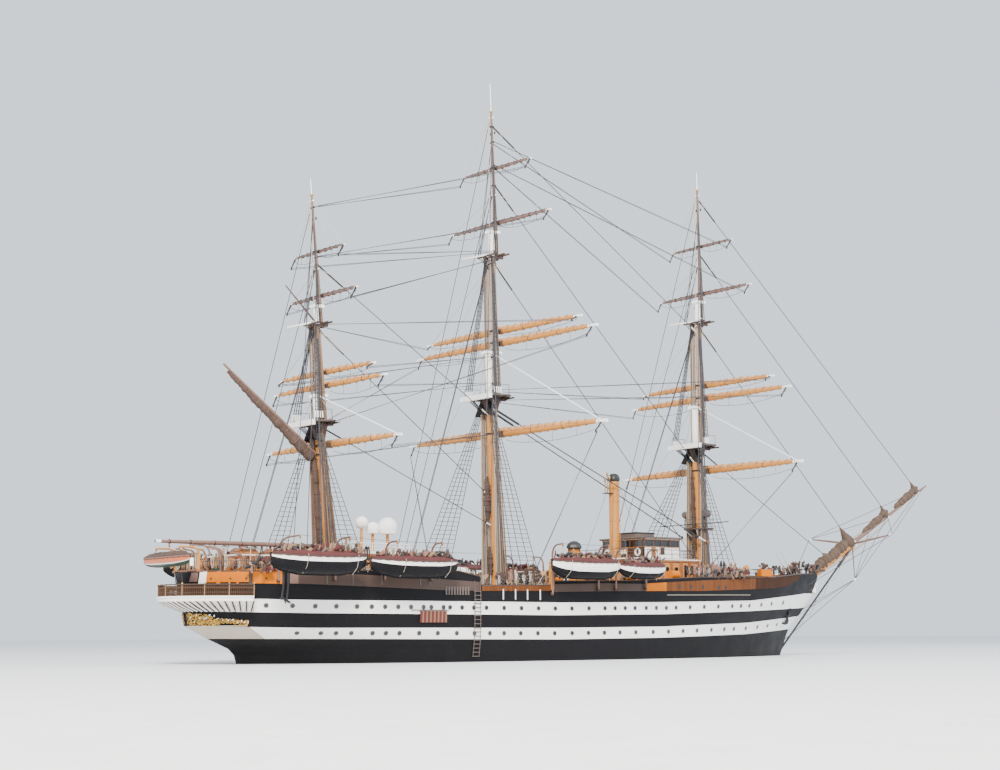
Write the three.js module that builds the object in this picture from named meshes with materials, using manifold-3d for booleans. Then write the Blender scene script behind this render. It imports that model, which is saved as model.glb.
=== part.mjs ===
// A three-masted full-rigged ship as a 1:10 scale model, afloat with her sails furled.
// Every size below is the full-size ship's, in metres. The last lines scale the group to millimetres.
// +X is the bow, +Y the port side, +Z up. The origin lies on the waterline under the mainmast.
import * as THREE from 'three';
import { mergeVertices } from 'three/addons/utils/BufferGeometryUtils.js';
import Module from 'manifold-3d';

const wasm = await Module();
wasm.setup();

const MM_PER_METRE = 100;   // one full-size metre on the 1:10 model
const GAP = 0.005;          // clear space between touching pieces, 0.5 mm on the model
const ROUND = 10;           // sides of masts and of the collars that turn on them
const STOCK_SIDES = 24;     // sides of the rudder stock and its trunk
const YARD_SIDES = 8;
const ROPE_SIDES = 4;

// Driving dimensions of the hull
const KEEL_BOTTOM = -7.3;
const MIDSHIP = 4;          // station of the widest section
const KEEL_HALF = 0.2;      // half thickness of keel, stem and sternpost
const BULWARK = 0.22;       // thickness of the bulwarks
const STATIONS = 11;        // stations from amidships to each end
const CLEAR_TOP = 12;       // a height above every bulwark
const CLEAR_HALF = 10;      // a half breadth beyond the hull's

// Waterlines from the keel up: height, stern end, stem end, half beam, and the exponents
// that fill the run (aft), the entrance (forward) and the round of the stern.
const WATERLINES = [
  { z: KEEL_BOTTOM, stern: -27.3, stem: 31.5, beam: KEEL_HALF, run: 1, entry: 1, round: 1 },
  { z: -6.95, stern: -27.3, stem: 33.2, beam: KEEL_HALF, run: 1, entry: 1, round: 1 },
  { z: -6.9, stern: -26.55, stem: 33.5, beam: 0.22, run: 1, entry: 1, round: 1 },
  { z: -6.5, stern: -26.55, stem: 34.8, beam: 3.6, run: 1.0, entry: 1.3, round: 1 },
  { z: -5.4, stern: -26.55, stem: 36.6, beam: 6.0, run: 1.05, entry: 1.5, round: 1 },
  { z: -3.6, stern: -26.55, stem: 37.9, beam: 7.2, run: 1.3, entry: 1.8, round: 1 },
  { z: -1.6, stern: -26.55, stem: 38.5, beam: 7.65, run: 2.0, entry: 2.0, round: 1 },
  { z: -0.65, stern: -26.55, stem: 38.7, beam: 7.75, run: 2.6, entry: 2.1, round: 1 },
  { z: 0, stern: -28.05, stem: 38.81, beam: 7.78, run: 3.0, entry: 2.2, round: 1 },
  { z: 1.1, stern: -28.4, stem: 39.35, beam: 7.78, run: 3.4, entry: 2.3, round: 0.95 },
  { z: 2.17, stern: -30.9, stem: 39.85, beam: 7.78, run: 3.9, entry: 2.4, round: 0.8 },
  { z: 3.2, stern: -32.9, stem: 40.5, beam: 7.78, run: 4.2, entry: 2.5, round: 0.7 },
  { z: 4.45, stern: -33.05, stem: 42.1, beam: 7.78, run: 4.6, entry: 2.6, round: 0.6 },
  { z: 5.6, stern: -33.25, stem: 43.3, beam: 7.78, run: 4.9, entry: 2.7, round: 0.55 },
  { z: 6.6, stern: -33.35, stem: 44.2, beam: 7.75, run: 5.0, entry: 2.8, round: 0.5 },
  { z: 9.4, stern: -33.8, stem: 45.6, beam: 7.65, run: 5.0, entry: 3.0, round: 0.5 },
];

// Top edge of the bulwarks from the stern to the stem head: station and height
const SHEER = [
  [-35, 7.72], [-28, 7.75], [-20, 7.9], [-10.4, 8.06], [-7.75, 7.57], [-7.65, 6.76],
  [0.65, 6.92], [0.75, 7.3], [10.6, 7.48], [20, 7.98], [32.5, 8.21], [41, 8.84], [46.5, 9.0],
];

// Decks: stations of their ends, and their height there
const DECKS = {
  poop: { from: -32.9, to: -7.95, zFrom: 7.05, zTo: 7.05 },
  waist: { from: -7.45, to: 0.62, zFrom: 5.75, zTo: 5.75 },
  forecastle: { from: 0.85, to: 42.2, zFrom: 6.6, zTo: 8.1 },
};

// Masts: station of the axis on the datum height, rake as a slope, deck it stands on, heights of the top,
// lower cap, crosstrees, upper cap, truck and pole, radii of the three spars, and how far the topmast
// and the topgallant mast step forward
const MAST_DATUM = 8;
const MASTS = {
  fore: {
    x: 27.2, rake: 0.015, deck: 'forecastle', top: 22.2, cap: 26.4, trees: 35.7, head: 38.0,
    truck: 50.47, pole: 52.5, lower: 0.45, topmast: 0.37, gallant: 0.23, step: 0.85, upStep: 0.52,
  },
  main: {
    x: 0, rake: 0.04, deck: 'waist', top: 25.3, cap: 29.7, trees: 39.4, head: 41.8,
    truck: 54.1, pole: 57.0, lower: 0.45, topmast: 0.37, gallant: 0.23, step: 0.85, upStep: 0.55,
  },
  mizzen: {
    x: -18.96, rake: 0.0956, deck: 'poop', top: 21.5, cap: 23.9, trees: 30.5, head: 32.1,
    truck: 42.42, pole: 43.9, lower: 0.38, topmast: 0.31, gallant: 0.2, step: 0.65, upStep: 0.42,
  },
};

// Yards: mast, name, height, half length, how far ahead of its spar it hangs, radius at the middle,
// radius of the furled sail above it, and how far it is braced in the harbour, in degrees
const YARDS = [
  ['fore', 'course', 19.61, 13.8, 1.7, 0.3, 0.33, -1.4],
  ['fore', 'lower_topsail', 27.45, 12.23, 1.06, 0.26, 0.28, -0.4],
  ['fore', 'upper_topsail', 28.83, 9.91, 0.93, 0.24, 0.28, 0.5],
  ['fore', 'topgallant', 38.97, 7.15, 0.52, 0.17, 0.15, 0],
  ['fore', 'royal', 44.22, 4.72, 0.42, 0.13, 0.11, 0],
  ['main', 'course', 21.73, 14.37, 1.45, 0.31, 0.34, 4.3],
  ['main', 'lower_topsail', 30.7, 13.6, 0.92, 0.27, 0.28, 2.9],
  ['main', 'upper_topsail', 31.89, 11.47, 0.82, 0.25, 0.28, 3.8],
  ['main', 'topgallant', 42.82, 7.59, 0.52, 0.18, 0.16, 4],
  ['main', 'royal', 48.36, 5.19, 0.42, 0.14, 0.12, 4.4],
  ['mizzen', 'course', 19.39, 10.76, 1.25, 0.24, 0.25, 2.2],
  ['mizzen', 'lower_topsail', 24.82, 8.82, 0.77, 0.21, 0.22, 3.4],
  ['mizzen', 'upper_topsail', 26.02, 7.41, 0.68, 0.19, 0.22, 3.4],
  ['mizzen', 'topgallant', 33.07, 5.57, 0.44, 0.14, 0.13, 2.3],
  ['mizzen', 'royal', 37.16, 4.03, 0.37, 0.11, 0.1, 3.2],
].map(([mast, name, z, half, ahead, r, sail, brace]) => (
  { mast, name: `${mast}_${name}_yard`, z, half, ahead, r, sail, brace }));

const ROYAL_PART = 0.8;     // radius of the royal mast as a part of the topgallant mast's
const LIGHT_PLATFORM = { z: 13.4, r: 1.6 };
const MAINSTAY = { zMain: 24.1, yMain: 0.4, zFore: 12.0, yFore: 1.2, r: 0.06 };

// Stays on the centreline: the mast and height they come from, on which spar (0 lower, 1 topmast,
// 2 topgallant mast), and where they are set up: a station and height, inside what holds them
const STAYS = [
  { name: 'main_topmast_stay', mast: 'main', z: 38.6, spar: 1, to: [27.15, 9.4] },
  { name: 'main_topgallant_stay', mast: 'main', z: 46.6, spar: 2, to: [26.9, 20.2] },
  { name: 'main_royal_stay', mast: 'main', z: 52.6, spar: 2, to: [27.6, 34.5] },
  { name: 'mizzen_stay', mast: 'mizzen', z: 21.05, spar: 0, to: [-0.1, 12.6] },
  { name: 'mizzen_topmast_stay', mast: 'mizzen', z: 29.8, spar: 1, to: [-0.5, 15.4] },
  { name: 'mizzen_topgallant_stay', mast: 'mizzen', z: 35.9, spar: 2, to: [-0.7, 23.4] },
];

// Head stays with their furled jibs: where the stay meets the line of the bowsprit, and the length
// and radius of the furled sail along it
const HEAD_STAYS = [
  { name: 'fore_stay_and_jib', z: 21.85, spar: 0, x: 47.6, length: 3.2, r: 0.36 },
  { name: 'fore_topmast_stay_and_jib', z: 35.0, spar: 1, x: 51.3, length: 3.6, r: 0.42 },
  { name: 'fore_topgallant_stay_and_jib', z: 43.2, spar: 2, x: 57.8, length: 4.6, r: 0.34 },
  { name: 'fore_royal_stay_and_jib', z: 49.4, spar: 2, x: 63.4, length: 4.6, r: 0.3 },
];

// Shrouds and backstays of one side: radius, how far aft of the mast the feet of the lower shrouds are,
// and for each backstay how far aft its foot is, the height of its head and its spar
const SHROUDS = {
  fore: {
    r: 0.045, lower: [0.6, 1.6, 2.6, 3.6, 4.6],
    backstays: [[5.6, 35, 1], [6.4, 43, 2], [7.1, 49.3, 2]],
  },
  main: {
    r: 0.045, lower: [0.6, 1.6, 2.6, 3.6, 4.6],
    backstays: [[5.6, 38.7, 1], [6.5, 46.5, 2], [7.3, 53, 2]],
  },
  mizzen: {
    r: 0.04, lower: [0.6, 1.5, 2.4, 3.3],
    backstays: [[4.9, 29.8, 1], [6.2, 35.8, 2], [7.4, 41, 2]],
  },
};
const RAIL_TIMBER = { wide: 0.3, tall: 0.2 };

// Spanker boom and gaff on the mizzenmast
const BOOM = { z: 10.3, end: -36.0, r: 0.2, endR: 0.13 };
const GAFF = { z: 18.55, peak: [-29.9, 25.9], r: 0.17, endR: 0.1, sail: 0.42 };

// Boats on davits: station of the middle, length, beam, depth, height of the gunwale amidships
const BOATS = {
  quarter: [
    { x: -25.8, length: 9.2, beam: 2.6, depth: 1.5, z: 8.9 },
    { x: -16.2, length: 9.0, beam: 2.6, depth: 1.4, z: 8.7 },
  ],
  waist: [
    { x: 3.25, length: 8.3, beam: 2.6, depth: 1.5, z: 9.0 },
    { x: 10.25, length: 5.8, beam: 2.2, depth: 1.1, z: 8.75 },
  ],
};
const BOAT_OFF = 9.55;      // how far a boat on the side davits hangs from the centreline
const STERN_BOAT = { x: -34.85, length: 8.5, beam: 1.9, depth: 0.8, z: 8.95 };
const TAFFRAIL = { x: -33.0, half: 2.4 };
const DAVIT = { r: 0.09, rise: 2.0, fall: 0.04 };

// Deckhouses as [aft, forward, half width, top], with the deck each stands on
const HOUSES = {
  after_deckhouse: { deck: 'poop', ends: [-29.6, -21.4], half: 3.0, top: 9.25 },
  chart_house: { deck: 'poop', ends: [-17.6, -12.0], half: 3.1, top: 9.7 },
  bridge_deckhouse: { deck: 'forecastle', ends: [13.2, 23.4], half: 3.7, top: 9.9 },
};
const FUNNEL = { x: 15.2, r: 0.52, top: 18.65, capR: 0.62 };
const WHEELHOUSE = { ends: [16.3, 21.3], half: 3.2, sill: 11.15, head: 11.85, wall: 0.12, roof: 12.15 };
const UPPER_ROOF = { ends: [16.3, 18.9], half: 1.9, top: 12.65 };
const VENT = { x: 9.8, half: 0.5, top: 10.9, capTop: 11.65 };
const RADOMES = [
  { x: -16.9, y: -2.2, z: 12.4, r: 0.58, ball: true },
  { x: -15.7, y: -2.2, z: 11.9, r: 0.6, ball: false },
  { x: -14.1, y: -2.2, z: 12.1, r: 0.88, ball: false },
];

// Stern gallery: station where it starts on each side, its width there and right aft, and the heights
// of its floor, the underside, the foot of the brackets and the rail
const GALLERY = { from: -29.3, wide: 1.15, wideAft: 1.9, floor: 5.6, under: 5.3, low: 4.45, rail: 6.65 };

// Bowsprit: one straight line from the heel through the cap to the tip, as [station, height]
const BOWSPRIT = {
  heel: [42.9, 7.86], cap: [51.5, 12.5], tip: [65.14, 19.87], r: 0.4, boomR: 0.25, tipR: 0.09,
};
const WHISKER = { x: 51.1, y: 7.4, z: 13.4 };
const STRIKER_END = { x: 51.7, z: 8.46 };
const BOBSTAY_FOOT = { x: 39.22, z: 0.78 };

// Rudder and propeller
const RUDDER = {
  axis: -26.95, top: -0.8, bottom: -6.8, aft: -29.1, stock: 0.18, stockTop: 2.0, nose: 0.3,
};
const SHAFT_Z = -4.1;
const PROPELLER = { hub: 0.36, hubLength: 0.9, blades: 4 };
// A blade's sections from root to tip, and half the thickness of its edges
const BLADE = [
  { reach: 0.1, wide: 0.2, pitch: 1.1, thick: 0.09 },
  { reach: 0.8, wide: 0.5, pitch: 0.75, thick: 0.07 },
  { reach: 1.4, wide: 0.52, pitch: 0.55, thick: 0.055 },
  { reach: 1.85, wide: 0.18, pitch: 0.45, thick: 0.035 },
];
const EDGE = 0.015;
const APERTURE = { from: -26.0, to: -24.72, low: -6.3, high: -1.9 };

const paint = (color, roughness = 0.6, metalness = 0) =>
  new THREE.MeshStandardMaterial({ color, roughness, metalness });
const PAINT = {
  hull: paint(0x37373c),
  buff: paint(0xc89655),
  white: paint(0xf0eeeb),
  wood: paint(0xaf7341),
  canvas: paint(0xcda06e, 0.9),
  jib: paint(0x827369, 0.9),
  rigging: paint(0x3a3f48, 0.8),
  boat: paint(0xe6e3de),
  orange: paint(0xd2693c),
  gilt: paint(0xc8a04a, 0.4, 0.8),
  bronze: paint(0x9a7a3c, 0.35, 0.9),
  rudder: paint(0x2f4a3c),
  steel: paint(0x55565a, 0.5, 0.4),
};

// Small helpers

const V = (x, y, z) => new THREE.Vector3(x, y, z);
const lerp = THREE.MathUtils.lerp;
const lineThrough = (points, x) => {
  const after = Math.max(1, points.findIndex((p) => p[0] >= x));
  const [a, b] = [points[after - 1], points[after]];
  return lerp(a[1], b[1], (x - a[0]) / (b[0] - a[0]));
};

// A solid of manifold-3d from a closed three.js geometry
function solid(geometry) {
  let bare = geometry.clone();
  bare.deleteAttribute('normal');
  bare.deleteAttribute('uv');
  bare = mergeVertices(bare, 1e-5);
  return new wasm.Manifold(new wasm.Mesh({
    numProp: 3,
    vertProperties: new Float32Array(bare.attributes.position.array),
    triVerts: new Uint32Array(bare.index.array),
  }));
}

// A three.js geometry from a solid
function geometryOf(body) {
  const mesh = body.getMesh();
  const geometry = new THREE.BufferGeometry();
  geometry.setAttribute('position', new THREE.BufferAttribute(mesh.vertProperties, 3));
  geometry.setIndex(new THREE.BufferAttribute(mesh.triVerts, 1));
  geometry.computeVertexNormals();
  return geometry;
}

// A closed skin through rings of equal length, with a fan on each end
function skin(rings) {
  const count = rings[0].length;
  const positions = rings.flat().flatMap((p) => [p.x, p.y, p.z]);
  const faces = [];
  for (let ring = 0; ring + 1 < rings.length; ring += 1) {
    for (let i = 0; i < count; i += 1) {
      const a = ring * count + i;
      const b = ring * count + ((i + 1) % count);
      faces.push(a, b, b + count, a, b + count, a + count);
    }
  }
  const last = (rings.length - 1) * count;
  for (let i = 1; i + 1 < count; i += 1) {
    faces.push(0, i + 1, i, last, last + i, last + i + 1);
  }
  const geometry = new THREE.BufferGeometry();
  geometry.setAttribute('position', new THREE.Float32BufferAttribute(positions, 3));
  geometry.setIndex(faces);
  return facingOut(geometry);
}

// Turns every face over if the volume comes out negative
function facingOut(geometry) {
  const position = geometry.attributes.position;
  const index = geometry.index.array;
  const [a, b, c] = [V(), V(), V()];
  let volume = 0;
  for (let i = 0; i < index.length; i += 3) {
    a.fromBufferAttribute(position, index[i]);
    b.fromBufferAttribute(position, index[i + 1]);
    c.fromBufferAttribute(position, index[i + 2]);
    volume += a.dot(b.cross(c));
  }
  if (volume < 0) {
    for (let i = 0; i < index.length; i += 3) {
      [index[i], index[i + 1]] = [index[i + 1], index[i]];
    }
  }
  return geometry;
}

const joined = (...parts) => parts.flat().reduce((sum, part) => sum.add(part));

function block(x0, x1, y0, y1, z0, z1) {
  const box = new THREE.BoxGeometry(x1 - x0, y1 - y0, z1 - z0);
  return solid(box.translate((x0 + x1) / 2, (y0 + y1) / 2, (z0 + z1) / 2));
}

// A straight round bar, or a tapered one, between two points
function bar(a, b, ra, rb = ra, sides = 8) {
  const along = b.clone().sub(a);
  const geometry = new THREE.CylinderGeometry(rb, ra, along.length(), sides);
  geometry.translate(0, along.length() / 2, 0);
  geometry.applyQuaternion(new THREE.Quaternion().setFromUnitVectors(V(0, 1, 0), along.normalize()));
  return solid(geometry.translate(a.x, a.y, a.z));
}

// A plank between two points, upright on its edges
function plank(a, b, width, height) {
  const along = b.clone().sub(a);
  const length = along.length();
  const x = along.normalize();
  const y = V(0, 0, 1).cross(x).normalize();
  const turn = new THREE.Matrix4().makeBasis(x, y, x.clone().cross(y));
  const geometry = new THREE.BoxGeometry(length, width, height).translate(length / 2, 0, 0);
  return solid(geometry.applyMatrix4(turn).translate(a.x, a.y, a.z));
}

// A round body on the Z axis from its profile of [radius, height], which starts and ends on the axis
const turned = (profile, sides = ROUND) => solid(
  new THREE.LatheGeometry(profile.map(([r, z]) => new THREE.Vector2(r, z)), sides).rotateX(Math.PI / 2));

// A flat plate of an outline of [x, y], from one height to another
function plate(outline, z0, z1) {
  const shape = new THREE.Shape(outline.map(([x, y]) => new THREE.Vector2(x, y)));
  return solid(new THREE.ExtrudeGeometry(shape, { depth: z1 - z0, bevelEnabled: false }).translate(0, 0, z0));
}

// A bent tube through points
function tube(points, radius, sides = 6, steps = 8) {
  const section = new THREE.Shape();
  for (let i = 0; i < sides; i += 1) {
    const angle = (2 * Math.PI * i) / sides;
    const [x, y] = [radius * Math.cos(angle), radius * Math.sin(angle)];
    if (i === 0) section.moveTo(x, y);
    else section.lineTo(x, y);
  }
  const path = new THREE.CatmullRomCurve3(points, false, 'centripetal');
  return solid(new THREE.ExtrudeGeometry(section, { steps, bevelEnabled: false, extrudePath: path }));
}

const group = new THREE.Group();

function place(name, shape, material, parent = group) {
  const mesh = new THREE.Mesh(geometryOf(shape), material);
  mesh.name = name;
  parent.add(mesh);
  return mesh;
}

// Hull form

// The waterline at any height, between the two rows of the table
function waterline(z) {
  const above = THREE.MathUtils.clamp(WATERLINES.findIndex((row) => row.z >= z), 1, WATERLINES.length - 1);
  const [low, high] = [WATERLINES[above - 1], WATERLINES[above]];
  const part = (z - low.z) / (high.z - low.z);
  return Object.fromEntries(Object.keys(low).map((key) => [key, lerp(low[key], high[key], part)]));
}

// Half breadth of a waterline at a station, and at a height
function halfBreadthOf(line, x) {
  const aft = THREE.MathUtils.clamp((MIDSHIP - x) / (MIDSHIP - line.stern), 0, 1);
  const ahead = THREE.MathUtils.clamp((x - MIDSHIP) / (line.stem - MIDSHIP), 0, 1);
  const fullness = x < MIDSHIP ? (1 - aft ** line.run) ** line.round : 1 - ahead ** line.entry;
  return KEEL_HALF + (line.beam - KEEL_HALF) * fullness;
}
const halfBreadth = (x, z) => halfBreadthOf(waterline(z), x);

// Stations of a waterline from its stern end to its stem, closer together at the ends
function stationsOf(line) {
  const aft = [];
  const ahead = [];
  for (let i = 0; i <= STATIONS; i += 1) {
    aft.push(lerp(MIDSHIP, line.stern, Math.sin(((STATIONS - i) / STATIONS) * Math.PI / 2)));
    if (i > 0) ahead.push(lerp(MIDSHIP, line.stem, (i / STATIONS) ** 0.8));
  }
  return [...aft, ...ahead];
}

// The ring of points of the hull at a height, drawn in by an inset
function hullRing(z, inset = 0) {
  const line = waterline(z);
  const side = stationsOf(line).map((x) => V(x, Math.max(halfBreadthOf(line, x) - inset, 0.02), z));
  side[0].x += inset;
  const otherSide = side.map((p) => V(p.x, -p.y, p.z)).reverse();
  return [...side, ...otherSide];
}

const sheerAt = (x) => lineThrough(SHEER, x);
const deckAt = (deck, x) => lerp(deck.zFrom, deck.zTo, (x - deck.from) / (deck.to - deck.from));

// What lies above the sheer line, to cut away
const aboveSheer = () => plateAthwart([...SHEER, [47, CLEAR_TOP], [-35.5, CLEAR_TOP]], CLEAR_HALF);

// The space over one deck, between the bulwarks
function overDeck({ from, to, zFrom, zTo }, inside) {
  const outline = [[from, zFrom], [to, zTo], [to, CLEAR_TOP], [from, CLEAR_TOP]];
  return plateAthwart(outline, CLEAR_HALF).intersect(inside);
}

// The line of the bowsprit at a station, and its direction
const bowspritAt = (x) => lineThrough([BOWSPRIT.heel, BOWSPRIT.cap, BOWSPRIT.tip], x);
const bowspritPoint = ([x, z]) => V(x, 0, z);

// The outside of the hull up to above the rails, drawn in by an inset
const hullForm = (inset = 0) => solid(skin(WATERLINES.map((row) => hullRing(row.z, inset))));

function makeHull() {
  let hull = hullForm().subtract(aboveSheer());
  const inside = solid(skin([5.4, 6.6, 9.4].map((z) => hullRing(z, BULWARK))));
  for (const deck of Object.values(DECKS)) hull = hull.subtract(overDeck(deck, inside));
  const boss = bar(V(-20.5, 0, SHAFT_Z), V(APERTURE.to, 0, SHAFT_Z), 0.7, 0.5, ROUND);
  const aperture = plateAthwart(apertureOutline(), 1.2);
  const trunkR = RUDDER.stock + GAP + 0.004;
  const trunkTop = V(RUDDER.axis, 0, RUDDER.stockTop + 0.1);
  const trunk = bar(V(RUDDER.axis, 0, -1.2), trunkTop, trunkR, trunkR, STOCK_SIDES);
  const [heel, cap] = [BOWSPRIT.heel, BOWSPRIT.cap].map(bowspritPoint);
  const saddleR = BOWSPRIT.r + GAP + 0.015;
  const saddle = bar(heel.lerp(cap, -0.001), cap, saddleR, saddleR, ROUND);
  return hull.add(boss).subtract(aperture).subtract(trunk).subtract(saddle);
}

// A plate of an outline of [x, z], as wide to each side as given
function plateAthwart(outline, half) {
  const shape = new THREE.Shape(outline.map(([x, z]) => new THREE.Vector2(x, z)));
  const geometry = new THREE.ExtrudeGeometry(shape, { depth: 2 * half, bevelEnabled: false });
  return solid(geometry.translate(0, 0, -half).rotateX(Math.PI / 2));
}

function apertureOutline() {
  const { from, to, low, high } = APERTURE;
  const corner = 0.35;
  return [[from + corner, low], [to - corner, low], [to, low + corner], [to, high - corner],
    [to - corner, high], [from + corner, high], [from, high - corner], [from, low + corner]];
}

function makeRudder() {
  const { axis, nose, aft } = RUDDER;
  const outline = [];
  for (let i = 0; i <= 6; i += 1) {
    const angle = -Math.PI / 2 + (Math.PI * i) / 6;
    outline.push([axis + nose * Math.cos(angle), 0.6 * nose * Math.sin(angle)]);
  }
  outline.push([aft, 0.04], [aft, -0.04]);
  const blade = plate(outline, RUDDER.bottom, RUDDER.top);
  const stockFoot = V(axis, 0, RUDDER.top - 0.5);
  const stock = bar(stockFoot, V(axis, 0, RUDDER.stockTop), RUDDER.stock, RUDDER.stock, STOCK_SIDES);
  return blade.add(stock);
}

function makePropeller() {
  const { hub, hubLength, blades } = PROPELLER;
  const half = hubLength / 2;
  const parts = [turned([[0, -half], [hub * 0.6, -half], [hub, -half * 0.3], [hub, half], [0, half]])];
  for (let i = 0; i < blades; i += 1) {
    const turn = (2 * Math.PI * i) / blades;
    const rings = BLADE.map(({ reach, wide, pitch, thick }) => {
      const section = [[-wide, -EDGE], [0, -thick], [wide, -EDGE], [wide, EDGE], [0, thick], [-wide, EDGE]];
      return section.map(([u, w]) => {
        const across = u * Math.cos(pitch) - w * Math.sin(pitch);
        const along = u * Math.sin(pitch) + w * Math.cos(pitch);
        return V(reach * Math.cos(turn) - across * Math.sin(turn),
          reach * Math.sin(turn) + across * Math.cos(turn), along * 0.8);
      });
    });
    parts.push(solid(skin(rings)));
  }
  return joined(parts);
}

// Masts

const base = (z) => z - MAST_DATUM;

// The foot of a lower mast, just clear of the deck under its lowest edge
function footOf(mast) {
  const deck = DECKS[mast.deck];
  const slope = (deck.zTo - deck.zFrom) / (deck.to - deck.from);
  return deckAt(deck, mast.x) + GAP + Math.abs(mast.rake - slope) * (mast.lower + 0.05);
}

// The three spars of a mast in the mast's own frame, thicker by what is given
function spars(mast, grow = 0) {
  const { top, cap, trees, head, truck, pole } = mast;
  const [lower, topmast, gallant] = [mast.lower + grow, mast.topmast + grow, mast.gallant + grow];
  const foot = footOf(mast);
  const [royalR, truckR, poleR] = [mast.gallant * ROYAL_PART + grow, mast.gallant * 0.45 + grow, 0.05];
  const lowerSpar = turned([[0, base(foot)], [lower, base(foot)], [lower, base(top)],
    [lower * 0.85, base(top + 0.4)], [lower * 0.85, base(cap)], [0, base(cap)]]);
  const topSpar = turned([[0, base(top - 0.5)], [topmast, base(top - 0.5)], [topmast, base(trees)],
    [topmast * 0.8, base(trees + 0.3)], [topmast * 0.8, base(head)], [0, base(head)]]);
  const gallantSpar = turned([[0, base(trees - 0.4)], [gallant, base(trees - 0.4)],
    [gallant, base(trees + 4.2)], [royalR, base(trees + 5.2)], [royalR, base(trees + 11)],
    [truckR, base(truck - 0.25)],
    [truckR * 1.8, base(truck - 0.2)], [truckR * 1.8, base(truck)], [poleR, base(truck + 0.05)],
    [poleR, base(pole)], [0, base(pole)]]);
  const gallantStep = mast.step + mast.upStep;
  return [lowerSpar, topSpar.translate([mast.step, 0, 0]), gallantSpar.translate([gallantStep, 0, 0])];
}

function makeMast(mast) {
  const parts = [
    ...spars(mast),
    makeTop(mast, base(mast.top)),
    capBlock(mast, 0, mast.step, mast.lower, mast.topmast, base(mast.cap)),
    capBlock(mast, mast.step, mast.upStep, mast.topmast, mast.gallant, base(mast.head)),
    makeCrosstrees(mast, base(mast.trees)),
  ];
  if (mast === MASTS.fore) parts.push(makeLightPlatform(mast), stayBeam(mast));
  return joined(parts);
}

// The round platform on the foremast, with a searchlight on a post at each side
function makeLightPlatform(mast) {
  const z = base(LIGHT_PLATFORM.z);
  const deck = turned([[0, z - 0.5], [mast.lower + 0.05, z - 0.5], [LIGHT_PLATFORM.r, z - 0.16],
    [LIGHT_PLATFORM.r, z], [0, z]], 16);
  const lights = [-1, 1].map((side) => {
    const [x, y] = [-0.35, side * (LIGHT_PLATFORM.r - 0.25)];
    const post = bar(V(x, y, z - 0.05), V(x, y, z + 0.85), 0.07);
    const drum = bar(V(x - 0.35, y, z + 1.1), V(x + 0.35, y, z + 1.1), 0.4, 0.36, 10);
    return post.add(drum);
  });
  return joined(deck, lights);
}

// The beam across the foremast that the legs of the mainstay are set up to
const stayBeam = (mast, grow = 0) => block(-0.2 - grow, 0.2 + grow, -1.45 - grow, 1.45 + grow,
  base(MAINSTAY.zFore) - 0.16 - grow, base(MAINSTAY.zFore) + 0.16 + grow);

// The cap that holds the head of one spar to the spar ahead of it
function capBlock(mast, x, step, rearR, frontR, z) {
  return block(x - rearR - 0.08, x + step + frontR + 0.12, -rearR - 0.05, rearR + 0.05, z - 0.3, z + 0.08);
}

// The platform round the head of a lower mast, with its trestletrees
function makeTop(mast, z) {
  const half = mast.lower * 5.6;
  const [front, back] = [mast.step + 1.15, -1.6];
  const side = [[back, half * 0.92], [front - 1.5, half], [front - 0.6, half * 0.75], [front, half * 0.25]];
  const otherSide = side.map(([x, y]) => [x, -y]).reverse();
  const deck = plate([...side, ...otherSide].reverse(), z - 0.16, z);
  const trestles = [-1, 1].map((side) => {
    const y = side * (mast.lower + 0.02);
    return block(back + 0.1, front - 0.2, y - 0.12, y + 0.12, z - 0.5, z - 0.1);
  });
  return joined(deck, trestles);
}

function makeCrosstrees(mast, z) {
  const reach = mast.topmast * 4.4;
  const [back, front] = [mast.step - 0.6, mast.step + mast.upStep + 0.45];
  const beamAt = (x) => block(x - 0.09, x + 0.09, -reach, reach, z - 0.1, z + 0.08);
  const beams = [beamAt(back + 0.15), beamAt(front - 0.15)];
  const trestles = [-1, 1].map((side) => {
    const y = side * (mast.topmast + 0.02);
    return block(back, front, y - 0.1, y + 0.1, z - 0.3, z);
  });
  return joined(beams, trestles);
}

// A collar that turns on a spar, and the arm that holds the yard ahead of it. Its bore is turned half
// a side from the spar, so that the spar's corners run close to the middles of the bore's sides.
function collar(spar, ahead, tall, brace = 0) {
  const inner = (spar + GAP) / Math.cos(Math.PI / ROUND);
  const outer = inner + 0.1;
  const rim = turned([[0, -tall / 2], [outer, -tall / 2], [outer, tall / 2], [0, tall / 2]]);
  const bore = turned([[0, -tall], [inner, -tall], [inner, tall], [0, tall]]);
  const root = Math.sign(ahead) * (spar + GAP + 0.08);
  const [x0, x1] = [Math.min(root, ahead), Math.max(root, ahead)];
  const arm = block(x0, x1, -0.14, 0.14, -tall / 2 + 0.02, tall / 2 - 0.02);
  return rim.subtract(bore.rotate([0, 0, 180 / ROUND - brace])).add(arm);
}

// A yard with the sail furled along its top: bare spar at the arms, canvas between the gaskets
function makeYard(yard, spar) {
  const sections = [
    // part of the half length, spar radius, canvas above it
    [1, 0.45, 0], [0.93, 0.5, 0], [0.9, 0.53, 0.5], [0.5, 0.88, 0.88], [0, 1, 1],
  ];
  const stations = [...sections.map(([part, r, s]) => [-part, r, s]), ...sections.slice(0, -1).reverse()];
  const rings = stations.map(([part, sparPart, sailPart]) => {
    const r = yard.r * sparPart;
    const sail = yard.sail * sailPart;
    const ring = [];
    for (let i = 0; i < YARD_SIDES; i += 1) {
      const angle = (2 * Math.PI * (i + 0.5)) / YARD_SIDES;
      const [across, up] = [Math.cos(angle), Math.sin(angle)];
      const canvas = sail * Math.max(0, up);
      ring.push(V(yard.ahead + (r + 0.25 * canvas) * across, part * yard.half, r * up + 1.3 * canvas));
    }
    return ring;
  });
  return solid(skin(rings)).add(collar(spar, yard.ahead, yard.r * 1.7, yard.brace));
}

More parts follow.
